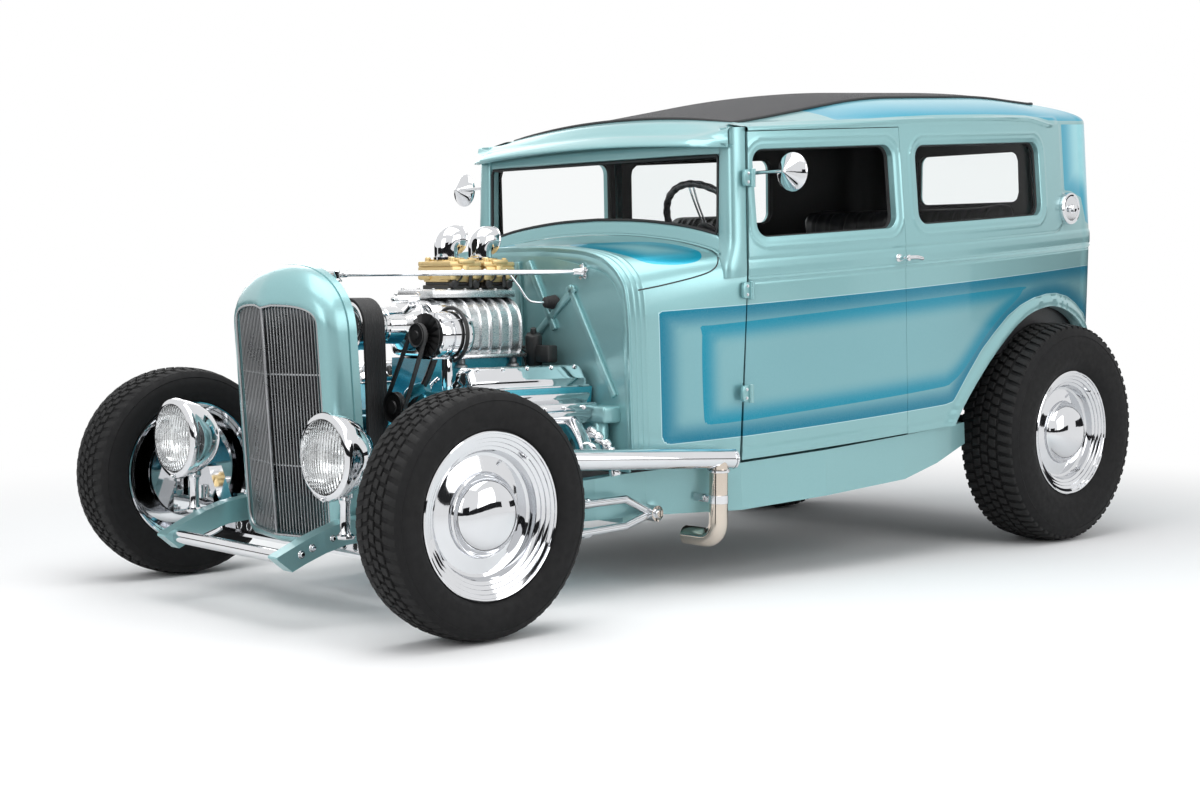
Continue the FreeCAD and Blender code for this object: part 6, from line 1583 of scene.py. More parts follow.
def make_blower():
    around, rows = 72, 96
    front, rear = -0.432, -0.69
    rib_places = [front - 0.012 - (front - rear - 0.024) * k / 6 for k in range(7)]

    def case(i, j):
        x = front + (rear - front) * j / rows
        y, z = case_outline(2 * pi * i / around)
        out = Vector((y, z - 0.775)).normalized()
        lift = sum(0.0075 * bead(x - place, 0.0065) for place in rib_places) if z > 0.7 else 0.0
        sink = 0.004 * rise(0.006 - min(front - x, x - rear), 0.0, 0.006)
        return level(x, y + out.x * (lift - sink), z + out.y * (lift - sink) * (z > 0.7))

    body = close_ends(surface(around, rows, case))
    add(body, block((0.268, 0.262, 0.012), level(-0.561, 0, 0.696), 0.003, 2))
    piece(body, "blower_case", aluminium, "supercharger", flat_angle=30)

    nose = bmesh.new()
    steps = [(-0.356, 0.86), (-0.36, 0.93), (-0.368, 0.97), (-0.392, 0.985), (-0.394, 1.02), (-0.41, 1.03),
             (-0.412, 0.99), (-0.432, 0.99), (-0.434, 1.035), (-0.44, 1.035)]

    def gear_case(i, j):
        x, scale = steps[j]
        y, z = case_outline(2 * pi * i / around)
        return level(x, y * scale, 0.78 + (z - 0.78) * min(scale, 1.005))

    add(nose, close_ends(surface(around, len(steps) - 1, gear_case)))
    spun(nose, mm(0, 0, 30, 0, 46, 4, 48, 10, 48, 100, 51, 103, 51, 112, 54, 116, 56, 170, 64, 178, 72, 186, 76, 206,
                  76, 232), 72, level(PULLEY_FRONT, 0, BLOWER_AXIS), BACK)
    add(nose, bolt_circle(8, 22, -0.3565, 0.785, 0.09, 0.07, 0.0055, 0.005))
    arm = plate(mm(0, -14, 70, -20, 78, -14, 80, 0, 78, 14, 70, 20, 0, 14, -10, 10, -14, 0, -10, -10), 0.016, 0.003,
                2)
    arm.transform(Matrix.Translation(level(-0.262, 0.052, 0.858)) @ Matrix.Rotation(pi - 0.1, 4, "Z")
                  @ Matrix.Rotation(-0.35, 4, "X"))
    add(nose, arm)
    add(nose, bolts_at([level(-0.262, 0.052, 0.878), level(-0.335, 0.06, 0.88)], (0, 0.3, 1), 0.006, 0.006))
    rear_plate = turned(mm(0, 21.5, 30, 21, 55, 18, 78, 12, 92, 3, 94, -4, 94, -12), 64)
    rear_plate.transform(Matrix.Scale(0.93, 4, (1, 0, 0)))
    add(nose, along_x(rear_plate, -0.6785, 0, 0.782))
    add(nose, bolt_circle(10, 18, -0.692, 0.782, 0.083, 0.078, 0.0045, 0.004, -1))
    piece(nose, "blower_drive_housing", bright_aluminium, flat_angle=30)

    feet = bmesh.new()
    for x in (-0.46, -0.66):
        for y in (-0.105, 0.105):
            foot = turned(mm(0, 30, 10, 30, 12, 26, 12, 10, 18, 6, 20, 0, 0, 0), 24)
            add(feet, aim(foot, level(x, y, 0.664)))
    add(feet, block((0.33, 0.19, 0.06), level(-0.53, 0, 0.66), 0.008, 2))
    piece(feet, "blower_manifold", cast_metal)


def belt_path(top, low, steps=36):
    """Places round two pulleys, (y, z, radius) each, for a belt."""
    (ty, tz, tr), (ly, lz, lr) = top, low
    length = hypot(ty - ly, tz - lz)
    base = atan2(tz - lz, ty - ly)
    lean = pi / 2
    tilt = sin((lr - tr) / length) if length else 0.0
    points = []
    for (y, z, r), start, turn in (((ty, tz, tr), base - lean + tilt, pi - 2 * tilt),
                                   ((ly, lz, lr), base + lean - tilt, pi + 2 * tilt)):
        for k in range(steps + 1):
            a = start + turn * k / steps
            points.append((y + r * cos(a), z + r * sin(a), cos(a), sin(a)))
    return points


def make_belts():
    path = belt_path((0, BLOWER_AXIS, 0.0724), (0, CRANK_AXIS, 0.0924))
    count = len(path)
    half = 0.0365
    face = []
    grooves = 9
    for k in range(grooves):
        y0 = -half + 2 * half * k / grooves
        step = 2 * half / grooves
        face += [(y0 + step * 0.12, 0.0083), (y0 + step * 0.3, 0.0092), (y0 + step * 0.7, 0.0092),
                 (y0 + step * 0.88, 0.0083)]
    section = [(-half, 0.0004), (-half, 0.007)] + face + [(half, 0.007), (half, 0.0004)]
    section += section[:1]

    def point(i, j):
        y, z, c, s = path[j % count]
        x, out = section[i]
        return level(-0.165 + x, y + c * out, z + s * out)

    piece(surface(len(section) - 1, count, point), "blower_drive_belt", belt_rubber, "blower_belt", flat_angle=30)

    pulleys = bmesh.new()
    wheel = mm(0, 6, 20, 6, 24, 12, 58, 14, 62, 4, 71.5, 2, 71.5, 74, 60, 74, 58, 66, 0, 66)
    spun(pulleys, wheel, 64, level(PULLEY_FRONT, 0, BLOWER_AXIS), BACK)
    crank = mm(0, 8, 26, 8, 30, 18, 78, 20, 82, 4, 91.2, 2, 91.2, 74, 80, 76, 50, 80, 50, 100, 0, 100)
    spun(pulleys, crank, 64, level(PULLEY_FRONT, 0, CRANK_AXIS), BACK)
    for centre_z, ring, reach in ((BLOWER_AXIS, 0.04, 0.014), (CRANK_AXIS, 0.052, 0.02)):
        add(pulleys, bolt_circle(6, 0, PULLEY_FRONT - reach, centre_z, ring, ring, 0.005, 0.005))
    piece(pulleys, "blower_pulleys", bright_aluminium, flat_angle=30)

    path_two = belt_path((*ALTERNATOR, 0.031), (*IDLER, 0.042), 20)
    count_two = len(path_two)
    trap = mm(-6, 4, -4, -4, 4, -4, 6, 4, -6, 4)

    def fan_belt(i, j):
        y, z, c, s = path_two[j % count_two]
        x, out = trap[i]
        return level(-0.183 + x, y + c * out, z + s * out)

    thin = surface(4, count_two, fan_belt)
    piece(thin, "fan_belt", belt_rubber)
    idler = along_x(turned(mm(0, 0, 18, 0, 20, 4, 36, 6, 44, 2, 44, 6, 38, 12, 44, 18, 44, 22, 30, 22, 16, 24, 16, 66,
                              0, 66), 48), -0.171, *IDLER)
    spun(idler, mm(0, 0, 12, 0, 14, 4, 28, 5, 33, 2, 33, 6, 27, 12, 33, 18, 33, 22, 20, 24, 0, 24), 48,
         level(-0.1705, *ALTERNATOR), BACK)
    hose(idler, [(-0.228, *IDLER), (-0.226, 0.19, 0.585), (-0.232, 0.235, 0.64), (-0.24, 0.262, 0.7)], 0.01, 10)
    add(idler, sweep(smooth_path([level(-0.3, 0.262 + 0.076 * cos(radians(a)), 0.768 + 0.076 * sin(radians(a)))
                                  for a in range(120, -100, -20)], 4), 0.006, 8))
    piece(idler, "idler_and_bracket", black_steel, flat_angle=30)


def make_alternator():
    body = along_x(turned(mm(0, 0, 16, 0, 16, 4, 40, 6, 58, 12, 64, 18, 65.5, 26, 65.5, 44, 62, 46, 62, 52, 67, 54,
                             67, 84, 62, 86, 62, 92, 65.5, 94, 65.5, 112, 60, 124, 50, 132, 30, 135, 0, 135), 64),
                   -0.214, *ALTERNATOR)
    for k in range(3):
        turn = radians(40 + 120 * k)
        add(body, sweep([level(-0.222, 0.262 + 0.066 * cos(turn), 0.768 + 0.066 * sin(turn)),
                         level(-0.34, 0.262 + 0.066 * cos(turn), 0.768 + 0.066 * sin(turn))], 0.0045, 10))
    add(body, block((0.02, 0.028, 0.105), level(-0.285, 0.262, 0.66), 0.004, 2))
    piece(body, "alternator_case", chrome, "alternator", flat_angle=30)
    blade = bmesh.new()
    verts = [blade.verts.new(p) for p in ((0.022, -0.003, 0.0), (0.06, -0.004, 0.0), (0.064, 0.006, 0.012),
                                          (0.024, 0.005, 0.011))]
    blade.faces.new(verts)
    bmesh.ops.solidify(blade, geom=everything(blade), thickness=0.0016)
    fan = ringed(blade, 16)
    add(fan, turned(mm(10, 11, 62, 12, 62, 13.5, 10, 13.5, 10, 11), 48))
    along_x(fan, -0.1985, *ALTERNATOR)
    piece(fan, "alternator_fan", black_steel)


def make_carburettors():
    gold = bmesh.new()
    dark = bmesh.new()
    for x in (-0.5, -0.63):
        for size, centre, edge in (((0.108, 0.12, 0.026), (0, 0, 0.93), 0.004),
                                   ((0.112, 0.172, 0.022), (0, 0, 0.953), 0.005),
                                   ((0.12, 0.16, 0.016), (0, 0, 0.971), 0.004),
                                   ((0.03, 0.058, 0.03), (0.046, 0.052, 0.938), 0.006),
                                   ((0.03, 0.058, 0.03), (0.046, -0.052, 0.938), 0.006),
                                   ((0.034, 0.05, 0.024), (-0.042, 0.056, 0.938), 0.006),
                                   ((0.034, 0.05, 0.024), (-0.042, -0.056, 0.938), 0.006),
                                   ((0.06, 0.04, 0.014), (0, 0.066, 0.979), 0.004),
                                   ((0.06, 0.04, 0.014), (0, -0.066, 0.979), 0.004),
                                   ((0.024, 0.012, 0.034), (0.01, 0.088, 0.95), 0.003)):
            add(gold, block(size, level(x + centre[0], centre[1], centre[2]), edge, 2))
        spun(gold, mm(48, 0, 46, 10, 43, 14, 40, 14, 0, 12), 40, level(x, 0, 0.976))
        for dy in (-0.06, 0.06):
            spun(gold, mm(0, 0, 9, 0, 9, 10, 6, 13, 0, 13), 20, level(x + 0.036, dy, 0.979))
            spun(gold, mm(0, 0, 7, 0, 7, 12, 0, 12), 20, level(x - 0.034, dy, 0.979))
        add(gold, bolts_at([level(x + dx, dy, 0.979) for dx in (-0.052, 0.052) for dy in (-0.034, 0.0, 0.034)],
                           (0, 0, 1), 0.0035, 0.003))
        add(dark, block((0.11, 0.126, 0.014), level(x, 0, 0.901), 0.002, 1))
        add(dark, block((0.1, 0.112, 0.01), level(x, 0, 0.9125), 0.002, 1))
        for dx in (-0.04, 0.04):
            spun(dark, mm(0, 0, 13, 0, 13, 16, 9, 19, 0, 19), 24, level(x + dx, 0.062, 0.91), (0, 1, 0.1))
            hose(dark, [(x + dx, 0.072, 0.912), (x + dx - 0.012, 0.086, 0.925), (x + dx - 0.02, 0.088, 0.94)], 0.0032,
                 8, 5)
        add(dark, block((0.012, 0.006, 0.046), level(x - 0.008, 0.09, 0.925), 0.002, 1))
    piece(gold, "carburettor_bodies", gold_metal, "carburettors", flat_angle=30)
    piece(dark, "carburettor_bases", black_steel, flat_angle=30)

    base = block((0.316, 0.172, 0.022), level(-0.5275, 0, 0.882), 0.003, 2)
    add(base, block((0.29, 0.15, 0.006), level(-0.5275, 0, 0.8925), 0.0015, 1))
    add(base, bolts_at([level(-0.38 - 0.059 * k, dy, 0.893) for k in range(6) for dy in (-0.076, 0.076)], (0, 0, 1),
                       0.005, 0.005))
    piece(base, "carburettor_base_plate", aluminium, "carburettor_plate", flat_angle=30)

    hoods = bmesh.new()
    mouths = bmesh.new()
    for x in (-0.5, -0.63):
        path = smooth_path([level(x + 0.01, 0, 0.983), level(x + 0.012, 0, 1.008), level(x + 0.009, 0, 1.03),
                            level(x - 0.001, 0, 1.043), level(x - 0.018, 0, 1.047), level(x - 0.034, 0, 1.045)], 6)
        add(hoods, sweep(path, lambda s: 0.036 + 0.0065 * rise(s, 0.15, 0.75), 40, ends=False))
        mouth = turned(mm(42.5, -4, 44, 0, 43, 2, 39.5, 2, 38.5, -10, 0, -12), 40)
        add(hoods, aim(mouth, level(x - 0.034, 0, 1.045), (-1, 0, -0.1)))
        spun(hoods, mm(37, 0, 40.5, 0, 40.5, 8, 37, 9), 40, level(x + 0.01, 0, 0.984))
        spun(mouths, [(0.0, 0.0), (0.038, 0.0)], 40, level(x - 0.0335, 0, 1.045), (-1, 0, -0.1))
    piece(hoods, "intake_elbows", chrome, "air_scoops", flat_angle=40)
    piece(mouths, "intake_mesh", core_black)

    rods = sweep([level(-0.47, 0.101, 0.948), level(-0.64, 0.101, 0.95)], 0.0042, 10)
    for x in (-0.47, -0.64, -0.555):
        spun(rods, mm(0, -8, 6, -7, 8.5, -2, 8.5, 2, 6, 7, 0, 8), 16, level(x, 0.101, 0.949), (0, 1, 0))
    hose(rods, [(-0.64, 0.106, 0.948), (-0.668, 0.125, 0.905), (-0.69, 0.14, 0.866), (-0.712, 0.15, 0.857),
                (-0.745, 0.16, 0.856)], 0.0038, 10)
    piece(rods, "throttle_linkage", chrome, flat_angle=40)
    boot = [(0.0, 0.0), (0.006, 0.0)]
    for k in range(6):
        boot += [(0.013 + 0.0016 * k, 0.003 + 0.0085 * k), (0.017 + 0.0016 * k, 0.0065 + 0.0085 * k),
                 (0.012 + 0.0016 * k, 0.01 + 0.0085 * k)]
    piece(aim(turned(boot + [(0.022, 0.058), (0.0, 0.058)], 28), level(-0.738, 0.158, 0.856), (-1, 0.13, 0)),
          "throttle_boot", seal_rubber, flat_angle=40)


def make_top_engine():
    covers = bmesh.new()
    x0, x1 = -0.332, -0.776
    section = mm(217, 607, 217, 626, 232, 642, 238, 663, 243, 671, 288, 671, 297, 667, 313, 640, 319, 632, 319, 607)
    spans = [(x0, 0.62), (x0 - 0.002, 0.8), (x0 - 0.016, 0.97), (x0 - 0.02, 1.0), (x1 + 0.02, 1.0),
             (x1 + 0.016, 0.97), (x1 + 0.002, 0.8), (x1, 0.62)]

    def cover(i, j):
        x, scale = spans[j]
        y, z = section[i % len(section)]
        return level(x, 0.268 + (y - 0.268) * (0.5 + scale / 2), 0.607 + (z - 0.607) * scale)

    add(covers, soften(close_ends(surface(len(section), len(spans) - 1, cover)), 0.0018, 2, 0.4))
    add(covers, block((0.452, 0.108, 0.007), level(-0.554, 0.268, 0.608), 0.002, 1))
    add(covers, bolts_at([level(-0.366 - 0.094 * k, 0.2965, 0.6655) for k in range(5)], (0, 0.6, 1), 0.006, 0.005))
    piece(both_sides(covers), "valve_cover_shells", chrome, "valve_covers", flat_angle=24)

    plates = bmesh.new()
    for front, rear, out, low, high in ((-0.36, -0.752, 0.356, 0.56, 0.59), (-0.356, -0.755, 0.3835, 0.536, 0.562),
                                        (-0.362, -0.748, 0.377, 0.512, 0.538), (-0.372, -0.736, 0.366, 0.5, 0.515)):
        wedge = plate([(front, low + 0.004), (front - 0.006, low), (rear + 0.016, low), (rear, high - 0.006),
                       (rear + 0.004, high), (front, high)], out - 0.316, 0.003, 2)
        add(plates, placed(wedge, lambda a, b, c: level(a, 0.316 + c, b)))
    add(plates, bolts_at([level(-0.4 - 0.075 * k, 0.384, 0.549) for k in range(5)], (0, 1, 0), 0.005, 0.004))
    piece(both_sides(plates), "exhaust_plate_covers", chrome, "exhaust_headers", flat_angle=24)

    cap = turned(mm(0, 0, 30, 0, 34, 4, 34, 60, 38, 64, 38, 92, 36, 104, 26, 116, 14, 120, 0, 120), 48)
    tower = turned(mm(0, 0, 5.2, 0, 5.2, 16, 3.6, 20, 0, 20), 14)
    tower.transform(Matrix.Translation((0.026, 0, 0.108)))
    add(cap, ringed(tower, 8))
    spun(cap, mm(0, 0, 5.5, 0, 5.5, 20, 0, 22), 14, (0, 0, 0.118))
    aim(cap, level(-0.741, 0, 0.545))
    coil = turned(mm(0, 0, 24, 0, 26, 3, 26, 88, 22, 96, 10, 100, 9, 116, 0, 118), 32)
    add(cap, aim(coil, level(-0.742, 0.11, 0.668), (0.25, 0.25, 1)))
    add(cap, block((0.04, 0.06, 0.052), level(-0.735, 0.175, 0.7), 0.005, 2))
    piece(cap, "distributor_cap_and_coil", black_plastic, "distributor", flat_angle=30)
    harness = bmesh.new()
    add(harness, block((0.33, 0.016, 0.016), level(-0.585, 0.196, 0.64), 0.005, 2))
    add(harness, block((0.07, 0.12, 0.016), level(-0.745, 0.15, 0.64), 0.005, 2))
    for k in range(4):
        spun(harness, mm(0, 0, 9, 0, 10, 6, 10, 20, 7, 26, 0, 27), 16, level(-0.43 - 0.1 * k, 0.205, 0.634),
             (0, 0.6, 1))
    piece(both_sides(harness), "lead_looms", black_plastic, flat_angle=30)


def make_block_details():
    """Timing cover, pump bosses, core plugs, mounts and chrome fuel pump on the block."""
    parts = bmesh.new()
    spun(parts, mm(0, -12, 50, -12, 60, -6, 95, -4, 110, 4, 112, 12), 56, level(-0.232, 0, CRANK_AXIS), BACK)
    spun(parts, mm(0, -10, 40, -10, 52, -2, 78, 2, 82, 10), 48, level(-0.232, 0, 0.5), BACK)
    for y in (-0.12, 0.12):
        spun(parts, mm(0, -20, 24, -20, 30, -12, 34, 0, 40, 6), 32, level(-0.232, y, 0.47), BACK)
        hose(parts, [(-0.226, 0.0, 0.5), (-0.214, y * 0.5, 0.5), (-0.22, y, 0.472)], 0.026, 16)
        hose(parts, [(-0.236, y * 1.1, 0.56), (-0.222, y * 1.5, 0.6), (-0.24, y * 1.9, 0.62)], 0.02, 14)
        spun(parts, mm(0, -8, 30, -8, 34, 0, 38, 6), 28, level(-0.232, y * 1.75, 0.575), BACK)
    for side_sign in (-1, 1):
        for k in range(3):
            spun(parts, mm(0, 2, 20, 2, 22, 5, 26, 4, 27, -4), 32, level(-0.33 - 0.17 * k, side_sign * 0.178, 0.415),
                 (0, side_sign, -0.3))
        add(parts, block((0.11, 0.016, 0.04), level(-0.47, side_sign * 0.176, 0.355), 0.004, 2))
    add(parts, bolt_circle(10, 0, -0.236, CRANK_AXIS, 0.102, 0.102, 0.006, 0.006))
    piece(parts, "block_castings", engine_paint, flat_angle=36)
    pump = along_x(turned(mm(0, 0, 30, 0, 34, 4, 36, 20, 30, 30, 30, 50, 0, 50), 32), -0.236, 0.205, 0.5)
    hose(pump, [(-0.25, 0.205, 0.535), (-0.245, 0.21, 0.58), (-0.27, 0.205, 0.62), (-0.3, 0.2, 0.64)], 0.006, 10)
    piece(pump, "fuel_pump", chrome, flat_angle=36)
    joints = bmesh.new()
    line = [level(-0.7, 0.43, 0.47), level(-0.735, 0.452, 0.43), level(-0.742, 0.47, 0.372)]
    add(joints, sweep(line, 0.011, 14))
    for p, way in ((line[0], (1, -0.4, 0.8)), (line[1], (0.4, -0.5, 1)), (line[2], (0.1, -0.3, 1))):
        spun(joints, mm(0, -24, 15, -24, 18, -18, 18, -6, 13, 0, 18, 6, 18, 18, 15, 24, 0, 24), 24, p, way)
    piece(joints, "steering_shaft_joints", chrome, flat_angle=36)


# Lamps.
LAMP_HEIGHT = 0.459
LENS_RADIUS = 0.0985


def make_headlamps():
    shells = bmesh.new()
    insides = bmesh.new()
    lenses = bmesh.new()
    for y in (-0.388, 0.388):
        face = 0.2255
        shell = turned(mm(96.5, 10, 97.5, 2, 101, 0, 109, 1.2, 116, 6, 118.8, 13, 118, 19, 114, 22, 113, 26, 113.5,
                          30, 111, 45, 104, 68, 92, 92, 74, 113, 52, 127, 26, 136, 0, 138.5), 72)
        add(shells, along_x(shell, face, y, LAMP_HEIGHT))
        foot = turned(mm(0, 0, 23, 0, 26, 3, 26, 9, 18, 14, 14.5, 22, 14, 90, 17, 98, 17, 104, 22.5, 110, 22.5, 122,
                         0, 132), 32)
        add(shells, aim(foot, level(0.155, y, 0.238)))
        add(shells, aim(bolt(0.006, 0.006), level(0.2245, y, LAMP_HEIGHT - 0.11), (1, 0, 0)))
        spun(insides, mm(97, 4, 94.5, 12, 86, 34, 68, 56, 42, 70, 16, 76, 12, 60, 0, 56), 56,
             level(face, y, LAMP_HEIGHT), BACK)
        spun(insides, mm(0, 18, 18, 20, 24, 30, 22, 40, 0, 44), 32, level(face, y, LAMP_HEIGHT), BACK)
        rings, around = 30, 120

        def lens(i, j):
            r = LENS_RADIUS * (1 - j / rings)
            a = 2 * pi * i / around
            across, up = r * cos(a), r * sin(a)
            dome = 0.0185 * (1 - (r / LENS_RADIUS) ** 2)
            flute = 0.0011 * cos(across * 2 * pi / 0.0115) * min(1.0, (LENS_RADIUS - r) / 0.006)
            return level(face + 0.0015 + dome + flute, y + across, LAMP_HEIGHT + up)

        add(lenses, surface(around, rings, lens))
        spun(lenses, mm(98.5, -1.5, 97.5, 2, 60, -6, 0, -10), 120, level(face, y, LAMP_HEIGHT), BACK)
    piece(shells, "headlamp_shells", chrome, "headlamps", flat_angle=30)
    piece(insides, "headlamp_reflectors", bright_aluminium, flat_angle=40)
    piece(lenses, "headlamp_fluted_lenses", lamp_glass, "headlamp_lenses", flat_angle=60, merge=2e-4)


def make_tail_lamps():
    back = raked(1, 0, 0) - raked(0, 0, 0)
    bezels = bmesh.new()
    lenses = bmesh.new()
    for y in (-0.47, 0.47):
        base = raked(3.158, y, 0.56)
        spun(bezels, mm(0, 0, 37.5, 0, 37.5, 16, 36.5, 24, 33.5, 29, 30, 30, 29, 26, 29, 6, 0, 6), 48, base, back)
        spun(lenses, mm(0, 8, 28.5, 8, 28.5, 29, 26.5, 34, 22.5, 37, 21.5, 36, 17.5, 40, 16.5, 39, 10.5, 42.5, 9.5,
                        41.5, 0, 43.2), 48, base, back)
    piece(bezels, "tail_lamp_bezels", chrome, flat_angle=30)
    piece(lenses, "tail_lamp_lenses", red_lens, "tail_lamps", flat_angle=30)


# Door hardware and filler.
def make_hinges():
    parts = bmesh.new()
    pins = bmesh.new()
    for z in (0.582, 0.894, 1.231):
        low = z - 0.028
        barrel = [(0.0, 0.0)]
        for k in range(3):
            z0 = 0.0185 * k
            barrel += [(0.0072, z0 + 0.0004), (0.0079, z0 + 0.0014), (0.0079, z0 + 0.0172), (0.0072, z0 + 0.0182)]
        spun(parts, barrel + [(0.0, 0.0556)], 24, level(-1.161, 0.63, low))
        spun(pins, mm(0, 0, 4, 0, 4, 0.6, 0, 0.8), 16, level(-1.161, 0.63, low + 0.0552))
        leaf = plate(mm(0, -24.5, 26, -24.5, 31, -20, 33, -13, 33, 13, 31, 20, 26, 24.5, 0, 24.5), 0.013, 0.0025, 2)
        add(parts, placed(leaf, lambda a, b, c: level(-1.16 + a, 0.6155 + c, z + b)))
        add(pins, bolts_at([level(-1.143, 0.629, z + d) for d in (-0.013, 0.013)], (0, 1, 0), 0.0036, 0.002))
    piece(both_sides(parts), "door_hinge_blocks", body_paint, "door_hinges", flat_angle=30)
    piece(both_sides(pins), "door_hinge_screws", chrome, flat_angle=30)


def make_mirrors():
    for side, sign in (("left", 1), ("right", -1)):
        place = level(-1.1725, sign * 0.776, 1.243)
        head = turned(mm(0, 40.5, 3.5, 40, 8, 37.5, 20, 29, 34, 19, 46, 11, 54.5, 5, 57.8, 1, 57.8, -2.5, 56, -4.5,
                         53, -4.5, 52.5, -3, 0, -3), 64)
        mesh = aim(head, place, (1, 0, 0))
        arm = smooth_path([level(-1.1785, sign * 0.612, 1.246), level(-1.178, sign * 0.64, 1.2468),
                           level(-1.172, sign * 0.668, 1.2468), level(-1.158, sign * 0.705, 1.2455),
                           level(-1.146, sign * 0.745, 1.244), level(-1.1415, sign * 0.774, 1.243)], 6)
        add(mesh, sweep(arm, lambda s: 0.0058 - 0.001 * s, 14))
        spun(mesh, mm(0, 0, 8.5, 0, 9, 3, 8, 6, 6, 9, 0, 10), 24, level(-1.1785, sign * 0.612, 1.246), (0, sign, 0))
        piece(mesh, side + "_mirror_head", chrome, side + "_door_mirror", flat_angle=40, body=side + "_door")


def make_handles():
    for side, sign in (("left", 1), ("right", -1)):
        centre = (-1.787, 0.997)
        rosette = plate(mm(18.5, -10.5, 19, 0, 18.5, 10.5, 12, 13.2, 0, 11.8, -24, 5, -26.8, 0, -24, -5, 0, -11.8, 12,
                           -13.2), 0.007, 0.0022, 2)
        mesh = placed(rosette, lambda a, b, c: level(centre[0] + a, sign * (0.6925 + c), centre[1] + b))
        spun(mesh, mm(0, 0, 10.5, 0, 10, 4, 7.8, 10, 7.8, 26, 10.5, 32, 11.8, 36, 10, 41, 0, 43), 32,
             level(centre[0], sign * 0.693, centre[1]), (0, sign, 0))
        lever = smooth_path([level(-1.78, sign * 0.7285, 0.997), level(-1.8, sign * 0.73, 0.9985),
                             level(-1.835, sign * 0.728, 0.999), level(-1.862, sign * 0.724, 0.996),
                             level(-1.8765, sign * 0.72, 0.9935)], 6)
        add(mesh, sweep(lever, lambda s: 0.0068 + 0.0016 * sin(pi * s) - 0.003 * rise(s, 0.85, 1.0), 16, flat=0.85))
        piece(mesh, side + "_lever_handle", chrome, side + "_door_handle", flat_angle=40, body=side + "_door")


def make_filler():
    mesh = turned(mm(0, 0, 57.5, 0, 57.8, 4, 55.5, 7, 55.5, 12, 57.8, 15, 57.8, 30, 56, 35, 50, 38.5, 45, 38, 43,
                     35.5, 17, 35.5, 14, 38, 12, 43, 13.5, 46.5, 12, 50, 0, 51), 72)
    for k in range(24):
        turn = 2 * pi * k / 24
        spun(mesh, mm(0, 0, 2.2, 0, 2.2, 12, 0, 13), 8, (0.056 * cos(turn), 0.056 * sin(turn), 0.0165))
    out = level(0, 1, 0) - level(0, 0, 0)
    low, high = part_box("fuel_filler")
    centre = [(a + b) / 2 for a, b in zip(low, high)]
    aim(mesh, (centre[0], low[1] + 0.003, centre[2]), out)
    piece(mesh, "fuel_filler_cap", chrome, "fuel_filler", flat_angle=30)


# Pipes, stays and front axle.
def make_pipes():
    front, rear = level(-0.505, 0.54, 0.416), level(-1.092, 0.626, 0.388)
    run = (rear - front).normalized()
    main = sweep([front, front.lerp(rear, 0.5), rear - run * 0.016], 0.0298, 40)
    cap = turned(mm(0, 0, 29.8, 0, 30.2, 3, 26.5, 4, 26.5, 6, 30.6, 7, 30.8, 13, 29, 15.5, 23, 15.5, 21.5, 14, 0, 14),
                 48)
    add(main, aim(cap, rear - run * 0.0165, run))
    for k in range(3):
        turn = radians(90 + 120 * k)
        add(main, aim(bolt(0.0035, 0.002), rear - run * 0.0035 + Vector((0, 0.0185 * cos(turn), 0.0185 * sin(turn))),
                      run))
    spun(main, mm(0, -14, 16, -11, 26, -5, 29.8, 4, 0, 6), 40, front, run)
    feed = smooth_path([front + run * 0.034, level(-0.575, 0.528, 0.424), level(-0.62, 0.47, 0.45),
                        level(-0.655, 0.405, 0.482), level(-0.668, 0.366, 0.503)], 7)
    add(main, sweep(feed, 0.024, 28))
    spun(main, mm(0, 0, 26.5, 0, 28.5, 3, 28.5, 8, 25, 11, 0, 11), 32, level(-0.6, 0.512, 0.432), (-0.5, -1, 0.4))
    piece(both_sides(main), "lake_pipes", chrome, "side_pipes", flat_angle=34)
    top = rear - run * 0.06
    x, y = top.x - axle_x, top.y
    bend = [level(x, y, 0.384), level(x, y, 0.33), level(x, y, 0.26), level(x, y, 0.2)]
    for k in range(1, 8):
        a = pi / 2 * k / 7
        bend.append(level(x, y - 0.05 * (1 - cos(a)), 0.2 - 0.05 * sin(a)))
    bend += [level(x, y - 0.092, 0.15), level(x, y - 0.133, 0.15)]
    drop = sweep(bend, 0.0288, 32, ends=False)
    add(drop, sweep(bend[-2:], 0.0262, 32, ends=False))
    spun(drop, [(0.0262, 0.0), (0.0288, 0.0)], 32, bend[-1], (0, -1, 0))
    piece(both_sides(drop), "down_pipes", hot_chrome, flat_angle=40)
    bands = aim(turned(mm(29, -13, 30.5, -12, 30.5, 12, 29, 13), 40), level(x, y, 0.27))
    spun(bands, mm(29, -6, 34.5, -4, 35, 0, 34.5, 4, 29, 6), 40, level(x, y, 0.3555))
    add(bands, block((0.026, 0.07, 0.024), level(x, y - 0.06, 0.27), 0.003, 2))
    add(bands, aim(bolt(0.007, 0.006), level(x + 0.013, y - 0.05, 0.27), (1, 0, 0)))
    piece(both_sides(bands), "down_pipe_brackets", chrome, flat_angle=34)


def star(points, outer, inner, thick):
    outline = []
    for k in range(points * 2):
        r = outer if k % 2 == 0 else inner
        a = pi * k / points
        outline.append((r * cos(a), r * sin(a)))
    return plate(outline, thick, 0.0012, 2)


